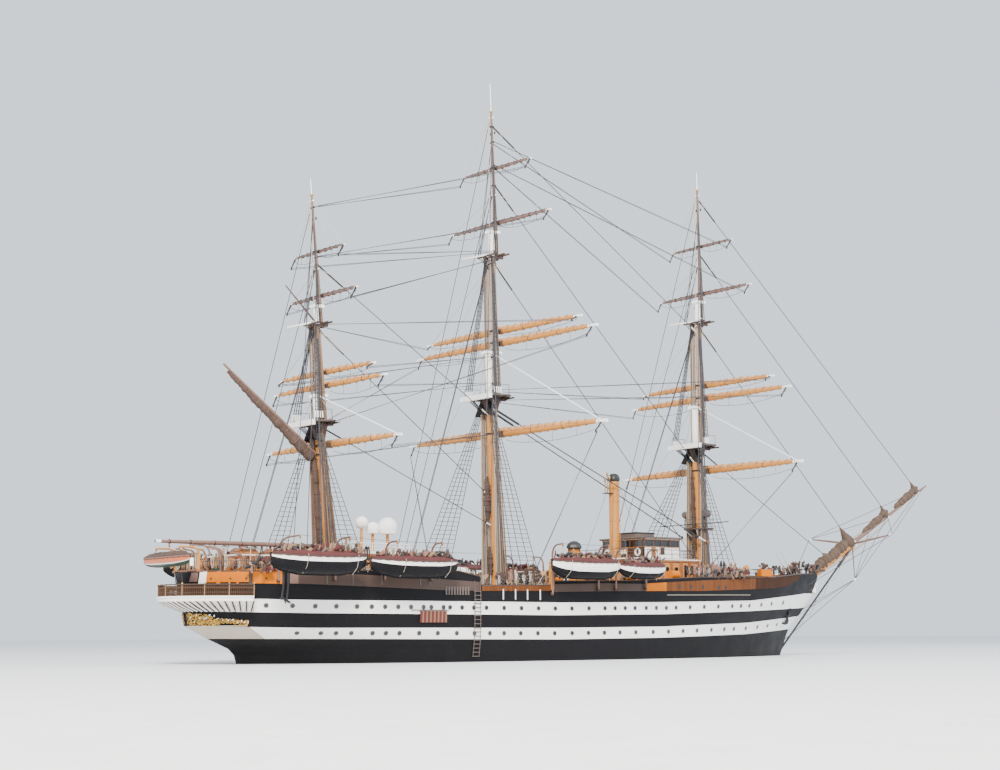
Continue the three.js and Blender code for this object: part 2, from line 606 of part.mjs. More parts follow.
// The spar a yard turns on: its step forward of the lower mast, and its radius
function sparOf(yard) {
  const mast = MASTS[yard.mast];
  if (yard.z < mast.cap) return { x: 0, r: mast.lower };
  if (yard.z < mast.head) return { x: mast.step, r: mast.topmast };
  const royal = yard.z > mast.trees + 4.7;
  return { x: mast.step + mast.upStep, r: royal ? mast.gallant * ROYAL_PART : mast.gallant };
}

function mastGroup(mast) {
  const frame = new THREE.Group();
  frame.position.set(mast.x, 0, MAST_DATUM);
  frame.rotation.y = -Math.atan(mast.rake);
  group.add(frame);
  return frame;
}

// A point on a mast's axis, or ahead of it, in the ship's frame
function onMast(mast, z, forward = 0, y = 0) {
  return V(mast.x - mast.rake * (z - MAST_DATUM) + forward, y, z);
}

// Rigging and headgear

// The grown spars of every mast in the ship's frame, which ropes and stays end against
function envelopeOf(mast) {
  const frame = new THREE.Object3D();
  frame.position.set(mast.x, 0, MAST_DATUM);
  frame.rotation.y = -Math.atan(mast.rake);
  frame.updateMatrix();
  const parts = spars(mast, GAP);
  if (mast === MASTS.fore) parts.push(stayBeam(mast, GAP));
  return joined(parts).transform(frame.matrix.toArray());
}

const sparStep = (mast, spar) => [0, mast.step, mast.step + mast.upStep][spar];

// The space under a deck's surface, with the gap that what stands on it keeps
function underDeck(deck) {
  const { from, to, zFrom, zTo } = deck;
  return plateAthwart([[from, zFrom + GAP], [to, zTo + GAP], [to, -1], [from, -1]], CLEAR_HALF);
}

function makeBowsprit(grow = 0) {
  const [heel, cap, tip] = [BOWSPRIT.heel, BOWSPRIT.cap, BOWSPRIT.tip].map(bowspritPoint);
  const past = cap.clone().lerp(tip, 0.03);
  const spar = bar(heel, past, BOWSPRIT.r + grow, BOWSPRIT.r * 0.9 + grow, ROUND);
  const boom = bar(cap, tip, BOWSPRIT.boomR + grow, BOWSPRIT.tipR + grow, ROUND);
  return spar.add(boom);
}

// The spars under and beside the cap: the striker below it, and a whisker boom to each side
function makeHeadgear() {
  const cap = V(BOWSPRIT.cap[0] + 0.1, 0, BOWSPRIT.cap[1]);
  const striker = bar(cap, V(STRIKER_END.x, 0, STRIKER_END.z), 0.13, 0.1);
  const whiskers = [-1, 1].map((side) => bar(cap, V(WHISKER.x, side * WHISKER.y, WHISKER.z), 0.13, 0.08));
  return joined(striker, whiskers);
}

// A stay of the main or mizzen mast, cut to end against what it is set up to
function makeStay(stay, envelopes, hull) {
  const mast = MASTS[stay.mast];
  const start = onMast(mast, stay.z, sparStep(mast, stay.spar));
  let rope = bar(start, V(stay.to[0], 0, stay.to[1]), 0.05);
  for (const envelope of Object.values(envelopes)) rope = rope.subtract(envelope);
  return rope.subtract(hull);
}

// A head stay, with its jib furled along the bowsprit and for a little way up the stay
function makeHeadStay(stay, envelopes, bowsprit) {
  const mast = MASTS.fore;
  const start = onMast(mast, stay.z, sparStep(mast, stay.spar));
  const foot = V(stay.x, 0, bowspritAt(stay.x));
  const boom = V(1, 0, bowspritAt(stay.x) - bowspritAt(stay.x - 1)).normalize();
  const upward = V(-boom.z, 0, boom.x);
  const under = stay.x < BOWSPRIT.cap[0] ? BOWSPRIT.r : BOWSPRIT.boomR;
  const near = foot.clone().addScaledVector(upward, stay.r + under + 0.02);
  const far = near.clone().addScaledVector(boom, -stay.length);
  const middle = near.clone().lerp(far, 0.35);
  const climb = near.clone().lerp(start, 3.0 / near.distanceTo(start));
  const parts = [
    bar(start, foot, 0.05),
    bar(near.clone().addScaledVector(boom, 0.5), middle, 0.1, stay.r),
    bar(middle, far, stay.r, 0.12),
    bar(near.clone().addScaledVector(boom, -0.3), climb, stay.r * 0.9, 0.08),
  ];
  return joined(parts).subtract(bowsprit).subtract(envelopes.fore);
}

// The two legs of the mainstay, which pass the funnel on either side
function makeMainstay(side, envelopes) {
  const start = onMast(MASTS.main, MAINSTAY.zMain, 0, side * MAINSTAY.yMain);
  const end = onMast(MASTS.fore, MAINSTAY.zFore, 0, side * MAINSTAY.yFore);
  return bar(start, end, MAINSTAY.r).subtract(envelopes.main).subtract(envelopes.fore);
}

// A timber along the rail through the points given, upright
function railTimber(points) {
  const [wide, tall] = [RAIL_TIMBER.wide / 2, RAIL_TIMBER.tall / 2];
  return solid(skin(points.map((p) => [
    V(p.x, p.y - wide, p.z - tall), V(p.x, p.y + wide, p.z - tall),
    V(p.x, p.y + wide, p.z + tall), V(p.x, p.y - wide, p.z + tall),
  ])));
}

// The shrouds and backstays of one side, in the rail timber that their feet are set up to
function makeShrouds(name, side, envelope) {
  const mast = MASTS[name];
  const { lower, backstays, r } = SHROUDS[name];
  const footAt = (aft) => {
    const x = mast.x - aft;
    const z = sheerAt(x);
    return V(x, side * (halfBreadth(x, z) - BULWARK / 2), z + GAP + RAIL_TIMBER.tall / 2);
  };
  const ropes = lower.map((aft, i) => {
    const head = onMast(mast, mast.top - 0.62, -0.15 - 0.08 * i, side * mast.lower * 0.8);
    return bar(footAt(aft), head, r, r, ROPE_SIDES);
  });
  for (const [aft, z, spar] of backstays) {
    const head = onMast(mast, z, sparStep(mast, spar), side * 0.1);
    ropes.push(bar(footAt(aft), head, r, r, ROPE_SIDES));
  }
  const feet = [lower[0] - 0.4, ...lower, ...backstays.map((row) => row[0])].map(footAt);
  return joined(ropes, railTimber(feet)).subtract(envelope);
}

// The boom of the spanker in the mizzenmast's frame, level at rest
function makeBoom(mast) {
  const z = base(BOOM.z);
  const reach = onMast(mast, BOOM.z).x - BOOM.end;
  const end = V(-reach * Math.cos(Math.atan(mast.rake)), 0, z + reach * mast.rake);
  const spar = bar(V(-mast.lower - 0.08, 0, z), end, BOOM.r, BOOM.endR);
  return collar(mast.lower, -(mast.lower + 0.3), 0.5).translate([0, 0, z]).add(spar);
}

// The gaff, with the spanker brailed up below it
function makeGaff(mast) {
  const z = base(GAFF.z);
  const [peakX, peakZ] = [GAFF.peak[0] - onMast(mast, GAFF.peak[1]).x, base(GAFF.peak[1])];
  const throat = V(-mast.lower - 0.18, 0, z);
  const peak = V(peakX, 0, peakZ);
  const below = V(-0.25, 0, -0.35);
  const canvasStart = throat.clone().lerp(peak, 0.12).add(below);
  const canvasMiddle = throat.clone().lerp(peak, 0.3).add(below);
  const canvasEnd = throat.clone().lerp(peak, 0.86);
  const parts = [
    collar(mast.lower, -(mast.lower + 0.3), 0.36).translate([0, 0, z]),
    bar(throat, peak, GAFF.r, GAFF.endR),
    bar(canvasStart, canvasMiddle, 0.3, GAFF.sail),
    bar(canvasMiddle, canvasEnd, GAFF.sail, 0.14),
  ];
  return joined(parts);
}

// Boats and davits

// An open boat with its cover on, along X, its gunwale at zero height
function boatShape({ length, beam, depth }) {
  const stations = [
    // part of the half length, part of the beam, rise of the gunwale, part of the depth
    [-1, 0.12, 0.32, 0.55], [-0.8, 0.62, 0.18, 0.85], [-0.45, 0.92, 0.05, 1], [0, 1, 0, 1],
    [0.45, 0.9, 0.05, 1], [0.8, 0.56, 0.18, 0.85], [1, 0.08, 0.36, 0.5],
  ];
  return solid(skin(stations.map(([part, wide, rise, deep]) => {
    const [x, half, low] = [part * length / 2, wide * beam / 2, rise - depth * deep];
    const bilge = [0.75 * half, low + 0.3 * depth];
    const side = [[0.12 * half, low], bilge, [half, rise], [0.5 * half, rise + 0.14]];
    return [...side.map(([y, z]) => V(x, y, z)), ...side.map(([y, z]) => V(x, -y, z)).reverse()];
  })));
}

// A davit from its heel on the ship's side, up and over to the head that a boat hangs from
function davit(heel, head) {
  const shoulder = V(heel.x, heel.y, head.z - 0.9);
  const bend = [heel, shoulder, V(heel.x, lerp(heel.y, head.y, 0.35), head.z - 0.12), head];
  return tube(bend, DAVIT.r, 4, 6);
}

// Boats slung outboard of a side, each from two davits, with a span between the heads of the davits
function makeSideBoats(boats, side, shell) {
  const parts = [];
  const heads = [];
  for (const boat of boats) {
    parts.push(boatShape(boat).translate([boat.x, side * BOAT_OFF, boat.z]));
    for (const end of [-0.34, 0.34]) {
      const x = boat.x + end * boat.length;
      const heelZ = sheerAt(x) - 0.8;
      const skinY = halfBreadth(x, heelZ);
      const heel = V(x, side * (skinY + 0.25), heelZ);
      const head = V(x, side * BOAT_OFF, boat.z + DAVIT.rise);
      const step = block(x - 0.14, x + 0.14, -0.35, 0.35, heelZ - 0.2, heelZ + 0.2);
      heads.push(head);
      parts.push(davit(heel, head), step.translate([0, side * skinY, 0]).subtract(shell));
      parts.push(bar(head, V(x, head.y, boat.z), DAVIT.fall, DAVIT.fall, ROPE_SIDES));
    }
  }
  heads.slice(1).forEach((head, i) => parts.push(bar(heads[i], head, 0.05, 0.05, ROPE_SIDES)));
  return joined(parts);
}

function makeSternBoat() {
  const boat = boatShape(STERN_BOAT).rotate([0, 0, 90]).translate([STERN_BOAT.x, 0, STERN_BOAT.z]);
  const { x: railX, half } = TAFFRAIL;
  const railZ = sheerAt(railX) + GAP + RAIL_TIMBER.tall / 2;
  const timber = plank(V(railX, -half, railZ), V(railX, half, railZ), RAIL_TIMBER.wide, RAIL_TIMBER.tall);
  const parts = [boat, timber];
  for (const side of [-1, 1]) {
    const y = side * STERN_BOAT.length * 0.25;
    const headZ = STERN_BOAT.z + 0.85;
    const head = V(STERN_BOAT.x, y, headZ);
    const bend = [V(railX, y, railZ), V(railX, y, headZ - 0.5), V(railX - 0.5, y, headZ - 0.05), head];
    const fall = bar(head, V(head.x, y, STERN_BOAT.z), DAVIT.fall, DAVIT.fall, ROPE_SIDES);
    parts.push(tube(bend, DAVIT.r, 4, 6), fall);
  }
  return joined(parts);
}

// Houses and fittings

const house = ({ deck, ends, half, top }) =>
  block(ends[0], ends[1], -half, half, DECKS[deck].zFrom - 0.5, top).subtract(underDeck(DECKS[deck]));

// The hollow wheelhouse: walls with their windows cut through, open below
function makeWheelhouse() {
  const { ends, half, sill, head, wall, roof } = WHEELHOUSE;
  const floor = HOUSES.bridge_deckhouse.top + GAP;
  let walls = block(ends[0], ends[1], -half, half, floor, roof - 0.15)
    .subtract(block(ends[0] + wall, ends[1] - wall, -half + wall, half - wall, floor - 1, roof - 0.2));
  const sideWindows = 4;
  const pitch = (ends[1] - ends[0] - 0.3) / sideWindows;
  for (let i = 0; i < sideWindows; i += 1) {
    const x = ends[0] + 0.15 + pitch * i;
    walls = walls.subtract(block(x + 0.13, x + pitch - 0.13, -9, 9, sill, head));
  }
  const frontWindows = 6;
  const spacing = (2 * half - 0.3) / frontWindows;
  for (let i = 0; i < frontWindows; i += 1) {
    const y = -half + 0.15 + spacing * i;
    walls = walls.subtract(block(ends[0] - 1, ends[1] + 1, y + 0.12, y + spacing - 0.12, sill, head));
  }
  const eaves = block(ends[0] - 0.25, ends[1] + 0.3, -half - 0.25, half + 0.25, roof - 0.22, roof);
  const upper = block(...UPPER_ROOF.ends, -UPPER_ROOF.half, UPPER_ROOF.half, roof - 0.05, UPPER_ROOF.top);
  return joined(walls, eaves, upper);
}

function makeFunnel() {
  const foot = HOUSES.bridge_deckhouse.top + GAP;
  return turned([[0, foot], [FUNNEL.r + 0.12, foot], [FUNNEL.r + 0.12, foot + 0.35], [FUNNEL.r, foot + 0.4],
    [FUNNEL.r, FUNNEL.top - 0.75], [FUNNEL.capR, FUNNEL.top - 0.6], [FUNNEL.capR * 0.8, FUNNEL.top - 0.1],
    [FUNNEL.capR * 0.5, FUNNEL.top], [0, FUNNEL.top]], 20).translate([FUNNEL.x, 0, 0]);
}

function makeVentHouse() {
  const { x, half, top, capTop } = VENT;
  const body = block(x - half, x + half, -half, half, DECKS.forecastle.zFrom - 0.5, top);
  const cap = block(x - half - 0.08, x + half + 0.08, -half - 0.08, half + 0.08, top - 0.05, capTop);
  return body.add(cap).subtract(underDeck(DECKS.forecastle));
}

// Three aerial covers on posts over the chart house
function makeRadomes() {
  const foot = HOUSES.chart_house.top + GAP;
  const parts = [block(-17.4, -13.2, -2.9, -1.5, foot, foot + 0.12)];
  for (const { x, y, z, r, ball } of RADOMES) {
    const profile = [];
    for (let i = 0; i <= 5; i += 1) {
      const angle = (ball ? -Math.PI / 2 : 0) + (Math.PI * (ball ? 1 : 0.5) * i) / 5;
      profile.push([Math.max(r * Math.cos(angle), 0), r * Math.sin(angle)]);
    }
    if (!ball) profile.unshift([0, -r * 0.75], [r * 0.92, -r * 0.75]);
    profile[0][0] = 0;
    profile[profile.length - 1][0] = 0;
    parts.push(turned(profile).translate([x, y, z]));
    parts.push(bar(V(x, y, foot), V(x, y, z - r * 0.4), 0.16, 0.16, 6));
  }
  return joined(parts);
}

// A ring of the hull's stern from one side round to the other, set out from the hull by one width
// at its forward ends and another right aft
function sternLine(z, out, outAft = out) {
  const ring = hullRing(z);
  const side = ring.slice(0, ring.length / 2).filter((p) => p.x < GALLERY.from - 0.3);
  side.push(V(GALLERY.from, halfBreadth(GALLERY.from, z), z));
  const length = GALLERY.from - side[0].x;
  const other = side.map((p) => V(p.x, -p.y, p.z)).reverse();
  const line = [...other.slice(0, -1), ...side.map((p) => p.clone())].sort((a, b) => a.y - b.y);
  return line.map((p, i) => {
    const before = line[Math.max(i - 1, 0)];
    const after = line[Math.min(i + 1, line.length - 1)];
    const along = after.clone().sub(before).normalize();
    const width = lerp(out, outAft, (GALLERY.from - p.x) / length);
    return V(p.x - along.y * width, p.y + along.x * width, z);
  });
}

// The railed gallery round the stern: its floor on brackets, posts and a top rail
function makeGallery(shell) {
  const { wide, wideAft, floor, under, low, rail } = GALLERY;
  const inner = sternLine(floor, -0.3);
  const outer = sternLine(floor, wide, wideAft);
  const foot = sternLine(low, -0.1);
  const sections = outer.map((p, i) => [
    inner[i], p, V(p.x, p.y, under), V(lerp(foot[i].x, p.x, 0.1), lerp(foot[i].y, p.y, 0.1), low),
    V(inner[i].x, inner[i].y, low),
  ]);
  const parts = [solid(skin(sections)).subtract(shell)];
  const railLine = sternLine(floor, wide - 0.08, wideAft - 0.08);
  railLine.forEach((p, i) => {
    parts.push(bar(V(p.x, p.y, floor - 0.05), V(p.x, p.y, rail), 0.05, 0.05, 6));
    if (i > 0) {
      const before = railLine[i - 1];
      parts.push(plank(V(before.x, before.y, rail), V(p.x, p.y, rail), 0.14, 0.1));
    }
  });
  return joined(parts);
}

// A robed figure under the bowsprit, leaning out from the stem
function makeFigurehead(hull) {
  const figure = turned([[0, 0], [0.3, 0], [0.34, 0.35], [0.24, 0.8], [0.28, 1.15], [0.2, 1.35], [0.08, 1.42],
    [0.08, 1.47], [0.15, 1.56], [0.16, 1.68], [0.08, 1.8], [0, 1.82]], 10);
  return figure.rotate([0, 29, 0]).translate([44.4, 0, 6.8]).subtract(hull);
}

// A pair of mooring bitts on a bed plate, parallel to the deck
function makeBitts(deck, x) {
  const slope = Math.atan((deck.zTo - deck.zFrom) / (deck.to - deck.from));
  const posts = [-0.45, 0.45].map((y) => turned([[0, 0], [0.2, 0], [0.17, 0.12], [0.17, 0.6], [0.24, 0.65],
    [0.24, 0.75], [0, 0.75]], 8).translate([0, y, 0.1]));
  return joined(block(-0.4, 0.4, -0.9, 0.9, 0, 0.12), posts)
    .rotate([0, -THREE.MathUtils.radToDeg(slope), 0]).translate([x, 0, deckAt(deck, x) + GAP]);
}

// The assembly

const hull = makeHull();
const clearOfHull = hull.translate([0, 0, GAP]);
const shell = hullForm(-GAP);
const envelopes = Object.fromEntries(Object.entries(MASTS).map(([name, mast]) => [name, envelopeOf(mast)]));

place('hull', hull, PAINT.hull);
place('rudder', makeRudder(), PAINT.rudder);
const propeller = place('propeller', makePropeller(), PAINT.bronze);
propeller.position.set(APERTURE.to - GAP - PROPELLER.hubLength / 2, 0, SHAFT_Z);
propeller.rotation.y = Math.PI / 2;
place('stern_gallery', makeGallery(shell), PAINT.white);
place('figurehead', makeFigurehead(hull.translate([GAP, 0, 0])), PAINT.gilt);

for (const [name, mast] of Object.entries(MASTS)) {
  const frame = mastGroup(mast);
  place(`${name}mast`, makeMast(mast), PAINT.buff, frame);
  for (const yard of YARDS.filter((row) => row.mast === name)) {
    const spar = sparOf(yard);
    const mesh = place(yard.name, makeYard(yard, spar.r), PAINT.canvas, frame);
    mesh.position.set(spar.x, 0, yard.z - MAST_DATUM);
    mesh.rotation.z = THREE.MathUtils.degToRad(yard.brace);
  }
  if (name === 'mizzen') {
    place('spanker_boom', makeBoom(mast), PAINT.buff, frame);
    place('spanker_gaff', makeGaff(mast), PAINT.jib, frame);
  }
  for (const [side, word] of [[-1, 'starboard'], [1, 'port']]) {
    place(`${name}_shrouds_${word}`, makeShrouds(name, side, envelopes[name]), PAINT.rigging);
  }
}

const bowsprit = makeBowsprit().add(makeHeadgear());
const bowspritEnvelope = makeBowsprit(GAP);
place('bowsprit', bowsprit, PAINT.buff);
for (const stay of HEAD_STAYS) place(stay.name, makeHeadStay(stay, envelopes, bowspritEnvelope), PAINT.jib);
for (const stay of STAYS) place(stay.name, makeStay(stay, envelopes, clearOfHull), PAINT.rigging);
for (const [side, word] of [[-1, 'starboard'], [1, 'port']]) {
  place(`mainstay_${word}`, makeMainstay(side, envelopes), PAINT.rigging);
  place(`quarter_boats_${word}`, makeSideBoats(BOATS.quarter, side, shell), PAINT.boat);
  place(`waist_boats_${word}`, makeSideBoats(BOATS.waist, side, shell), PAINT.boat);
}
const bobstay = bar(bowspritPoint(BOWSPRIT.cap), V(BOBSTAY_FOOT.x - 0.5, 0, BOBSTAY_FOOT.z - 0.47), 0.08)
  .subtract(bowspritEnvelope).subtract(hull.translate([GAP, 0, 0]));
place('bobstay', bobstay, PAINT.rigging);

place('stern_boat', makeSternBoat(), PAINT.orange);
for (const [name, row] of Object.entries(HOUSES)) place(name, house(row), PAINT.wood);
place('wheelhouse', makeWheelhouse(), PAINT.white);
place('funnel', makeFunnel(), PAINT.buff);
place('vent_house', makeVentHouse(), PAINT.buff);
place('radomes', makeRadomes(), PAINT.white);
place('mooring_bitts_fore', makeBitts(DECKS.forecastle, 38.4), PAINT.steel);
place('mooring_bitts_aft', makeBitts(DECKS.poop, -31.6), PAINT.steel);

group.scale.setScalar(MM_PER_METRE);
export default group;
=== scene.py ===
# %% [markdown]
# # A three-masted full-rigged ship, as a model
# The ship is a steel training ship with three square-rigged masts, afloat in harbour with her sails furled.
# The model is a tenth of her size. Every size in this lesson is the real ship's, in metres, and one
# constant brings it down to the model. +X is the bow, +Y the port side, and the water is at height zero.

# %% Load the frame
import json
from math import atan, cos, exp, pi, radians, sin
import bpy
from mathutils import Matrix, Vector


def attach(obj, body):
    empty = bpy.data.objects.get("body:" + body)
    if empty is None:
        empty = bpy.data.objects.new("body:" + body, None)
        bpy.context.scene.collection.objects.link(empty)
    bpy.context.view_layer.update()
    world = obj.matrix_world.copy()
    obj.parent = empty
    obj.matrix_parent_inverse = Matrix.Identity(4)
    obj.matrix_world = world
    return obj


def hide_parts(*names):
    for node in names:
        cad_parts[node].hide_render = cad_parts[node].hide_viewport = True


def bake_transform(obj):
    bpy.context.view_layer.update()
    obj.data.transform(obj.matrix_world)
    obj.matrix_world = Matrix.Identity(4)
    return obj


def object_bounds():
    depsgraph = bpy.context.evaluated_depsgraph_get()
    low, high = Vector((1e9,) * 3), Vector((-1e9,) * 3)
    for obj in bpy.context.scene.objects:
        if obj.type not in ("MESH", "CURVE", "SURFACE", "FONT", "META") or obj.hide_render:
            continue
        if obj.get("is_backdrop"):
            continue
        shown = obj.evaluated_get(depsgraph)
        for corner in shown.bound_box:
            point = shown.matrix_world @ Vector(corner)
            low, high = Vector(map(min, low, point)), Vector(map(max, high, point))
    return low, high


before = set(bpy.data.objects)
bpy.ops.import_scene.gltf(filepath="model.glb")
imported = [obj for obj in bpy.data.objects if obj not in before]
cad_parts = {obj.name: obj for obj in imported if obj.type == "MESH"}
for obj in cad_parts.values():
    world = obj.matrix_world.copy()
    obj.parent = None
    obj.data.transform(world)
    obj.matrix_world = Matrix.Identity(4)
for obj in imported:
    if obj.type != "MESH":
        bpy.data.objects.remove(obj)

from types import SimpleNamespace as Mast

import bpy
import numpy as np
from mathutils import Matrix, Vector

CAD_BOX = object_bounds()
K = 0.1                       # one metre of the ship on the model
RNG = np.random.default_rng(7)
SIDES = {1: "port", -1: "starboard"}      # the sign of y on each side

# %% [markdown]
# ## A workbench for shapes
# A ship is mostly lofted skins, tapered round spars and ropes. Blender's own primitives could be joined
# hundreds of times, but it is quicker to collect points and faces in arrays and make one mesh of each
# piece of the ship. The class below does that, and keeps the finish of every face.

# %% Collect faces and make a piece of them
SHARP = radians(38)      # an edge that turns by more than this stays crisp


class Shape:
    def __init__(self):
        self.points, self.faces, self.finishes = [], [], []
        self.count = 0
        self.frame = np.eye(4)

    def add(self, points, faces, finish):
        points = np.asarray(points, float).reshape(-1, 3)
        moved = points @ self.frame[:3, :3].T + self.frame[:3, 3]
        faces = np.asarray(faces, int)
        self.points.append(moved)
        self.faces.append(faces + self.count)
        self.finishes += [finish] * len(faces)
        self.count += len(moved)

    def piece(self, name, body="root", replaces=(), slot=None, across=None):
        mesh = bpy.data.meshes.new(name)
        points = np.concatenate(self.points) * K
        sizes = np.concatenate([np.full(len(f), f.shape[1]) for f in self.faces])
        corners = np.concatenate([f.ravel() for f in self.faces])
        mesh.vertices.add(len(points))
        mesh.vertices.foreach_set("co", points.ravel())
        mesh.loops.add(len(corners))
        mesh.loops.foreach_set("vertex_index", corners)
        mesh.polygons.add(len(sizes))
        mesh.polygons.foreach_set("loop_start", np.cumsum(sizes) - sizes)
        used = sorted(set(self.finishes))
        for finish in used:
            mesh.materials.append(FINISH[finish])
        places = {finish: i for i, finish in enumerate(used)}
        mesh.polygons.foreach_set("material_index", [places[f] for f in self.finishes])
        mesh.update(calc_edges=True)
        mesh.validate()
        mesh.set_sharp_from_angle(angle=SHARP)
        made = bpy.data.objects.new(name, mesh)
        bpy.context.scene.collection.objects.link(made)
        if across:
            start, end = ([c * K for c in point] for point in across)
            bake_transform(made)
            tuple(start)
            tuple(end)
        else:
            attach(made, body)
        if replaces:
            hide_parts(*replaces)
        print(f"{name}: {len(points)} points, {len(sizes)} faces")
        return made


# %% Skins through rings of points
def skin(shape, rings, finish, closed=True, caps=True):
    rings = np.asarray(rings, float)
    rows, count = rings.shape[:2]
    i, j = np.meshgrid(np.arange(rows - 1), np.arange(count if closed else count - 1), indexing="ij")
    a = i * count + j
    b = i * count + (j + 1) % count
    faces = np.stack([a, b, b + count, a + count], -1).reshape(-1, 4)
    shape.add(rings, faces, finish)
    if caps and closed:
        shape.add(rings[0], [np.arange(count)[::-1]], finish)
        shape.add(rings[-1], [np.arange(count)], finish)


def sheet(shape, rows, finish):
    """An open skin with no caps, such as a deck or a cover."""
    skin(shape, rows, finish, closed=False, caps=False)


def panel(shape, corners, finish):
    """One flat face."""
    shape.add(corners, [range(len(corners))], finish)


def vec(x, y, z):
    return np.array([x, y, z], float)


def unit(v):
    v = np.asarray(v, float)
    return v / max(np.linalg.norm(v), 1e-9)


# %% Round spars, ropes and bent tubes
def tube(shape, path, radius, finish, sides=8, caps=True):
    path = np.asarray(path, float)
    radii = np.broadcast_to(radius, len(path))
    tangents = np.gradient(path, axis=0)
    side = unit(np.cross(tangents[0], [0.31, 0.87, 0.39]))
    angles = np.arange(sides) * 2 * pi / sides
    rings = []
    for point, tangent, r in zip(path, tangents, radii):
        tangent = unit(tangent)
        side = unit(side - tangent * (side @ tangent))
        up = np.cross(tangent, side)
        rings.append(point + r * (np.cos(angles)[:, None] * side + np.sin(angles)[:, None] * up))
    skin(shape, rings, finish, caps=caps)


def rope(shape, a, b, radius, finish="wire", sag=0.0, sides=5):
    steps = 1 if sag == 0 else 10
    t = np.linspace(0, 1, steps + 1)[:, None]
    path = np.asarray(a, float) * (1 - t) + np.asarray(b, float) * t
    path[:, 2] -= (4 * sag * t * (1 - t))[:, 0]
    tube(shape, path, radius, finish, sides)


def coil(shape, centre, wave, long, thick, paint):
    """A hank of rope hung up: a long loop that waves in and out."""
    spin = np.linspace(0, 2 * pi, 13)
    path = [centre + [0.1 * cos(s), wave * sin(3 * s), long * sin(s)] for s in spin]
    tube(shape, path, thick, paint, 5, caps=False)


def turned(shape, profile, finish, origin=(0, 0, 0), axis=(0, 0, 1), sides=20):
    """A round body from its profile of [radius, height along the axis]."""
    axis = unit(axis)
    side = unit(np.cross(axis, [1, 0, 0] if abs(axis[0]) < 0.9 else [0, 1, 0]))
    up = np.cross(axis, side)
    angles = (np.arange(sides) + 0.5) * 2 * pi / sides
    spokes = np.cos(angles)[:, None] * side + np.sin(angles)[:, None] * up
    skin(shape, [np.asarray(origin) + axis * h + spokes * max(r, 1e-4) for r, h in profile], finish)


# %% Boxes, planks, plates, balls and hoops
def about(middle, half):
    """The two ends of a span, from its middle."""
    return middle - half, middle + half


def box(shape, x, y, z, finish, edge=0.0):
    """A box between the pairs x, y and z, with its upright and level edges taken off by edge."""
    centre = vec((x[0] + x[1]) / 2, (y[0] + y[1]) / 2, (z[0] + z[1]) / 2)
    half = vec(x[1] - x[0], y[1] - y[0], z[1] - z[0]) / 2
    rings = []
    for up, inset in ((-1, edge), (-1 + edge / half[2], 0), (1 - edge / half[2], 0), (1, edge)):
        wide, deep = half[0] - inset, half[1] - inset
        ring = []
        for sx, sy in ((1, 1), (-1, 1), (-1, -1), (1, -1)):
            cut = edge if sx * sy > 0 else 0
            ring.append((sx * (wide - cut), sy * (deep - (edge - cut)), up * half[2]))
            ring.append((sx * (wide - (edge - cut)), sy * (deep - cut), up * half[2]))
        rings.append(ring)
    rings = np.array(rings)
    if edge == 0:
        rings = rings[[1, 2]][:, ::2]
    skin(shape, rings + centre, finish)


def plank(shape, a, b, width, height, finish):
    a, b = np.asarray(a, float), np.asarray(b, float)
    along = unit(b - a)
    upright = abs(along[2]) >= 0.99
    across = (vec(0, 1, 0) if upright else unit(np.cross([0, 0, 1], along))) * width / 2
    up = unit(np.cross(along, across)) * height / 2
    corners = np.array([across + up, -across + up, -across - up, across - up])
    skin(shape, [a + corners, b + corners], finish)


def strip(shape, path, width, height, finish):
    """A square moulding that follows a level path, upright all the way."""
    path = np.asarray(path, float)
    along = np.gradient(path[:, :2], axis=0)
    along /= np.maximum(np.linalg.norm(along, axis=1), 1e-9)[:, None]
    across = np.stack([-along[:, 1], along[:, 0], np.zeros(len(path))], 1) * width / 2
    up = vec(0, 0, height / 2)
    corners = [path + across + up, path - across + up, path - across - up, path + across - up]
    skin(shape, np.stack(corners, 1), finish)


def plate(shape, outline, z0, z1, finish):
    outline = np.asarray(outline, float)
    rings = [np.column_stack([outline, np.full(len(outline), z)]) for z in (z0, z1)]
    skin(shape, rings, finish)


def ball(shape, centre, radius, finish, sides=12, squash=(1, 1, 1)):
    angles = np.linspace(-pi / 2, pi / 2, sides // 2 + 1)
    spin = np.arange(sides) * 2 * pi / sides
    rings = [[(cos(a) * cos(s), cos(a) * sin(s), sin(a)) for s in spin] for a in angles]
    rings = np.array(rings) * radius * np.array(squash)
    skin(shape, rings + np.asarray(centre, float), finish, caps=False)


def hoop(shape, centre, axis, radius, thick, finish, sides=16, section=6):
    axis = unit(axis)
    side = unit(np.cross(axis, [1, 0, 0] if abs(axis[0]) < 0.9 else [0, 1, 0]))
    up = np.cross(axis, side)
    turn = np.arange(sides + 1) * 2 * pi / sides
    out = np.cos(turn)[:, None] * side + np.sin(turn)[:, None] * up
    spin = np.arange(section) * 2 * pi / section
    rings = [centre + o * radius + thick * (np.cos(spin)[:, None] * o + np.sin(spin)[:, None] * axis)
        for o in out]
    skin(shape, rings, finish, caps=False)


# %% [markdown]
# ## The camera
# The photograph was taken from a low quay on the ship's starboard quarter. The camera's place was worked
# out from known sizes of the ship, and its three directions are the columns of its matrix. The lens
# looks a little upwards, so that the masts lean together towards their heads.

# %% Place the camera
CAMERA_AT = (-100.556, -131.339, 2.576)
CAMERA_RIGHT = (0.793934, -0.607991, -0.004030)
CAMERA_UP = (-0.084109, -0.116392, 0.989636)
CAMERA_AHEAD = (0.602158, 0.785366, 0.143545)
LENS_MM = 61.48               # on a sensor 36 mm wide

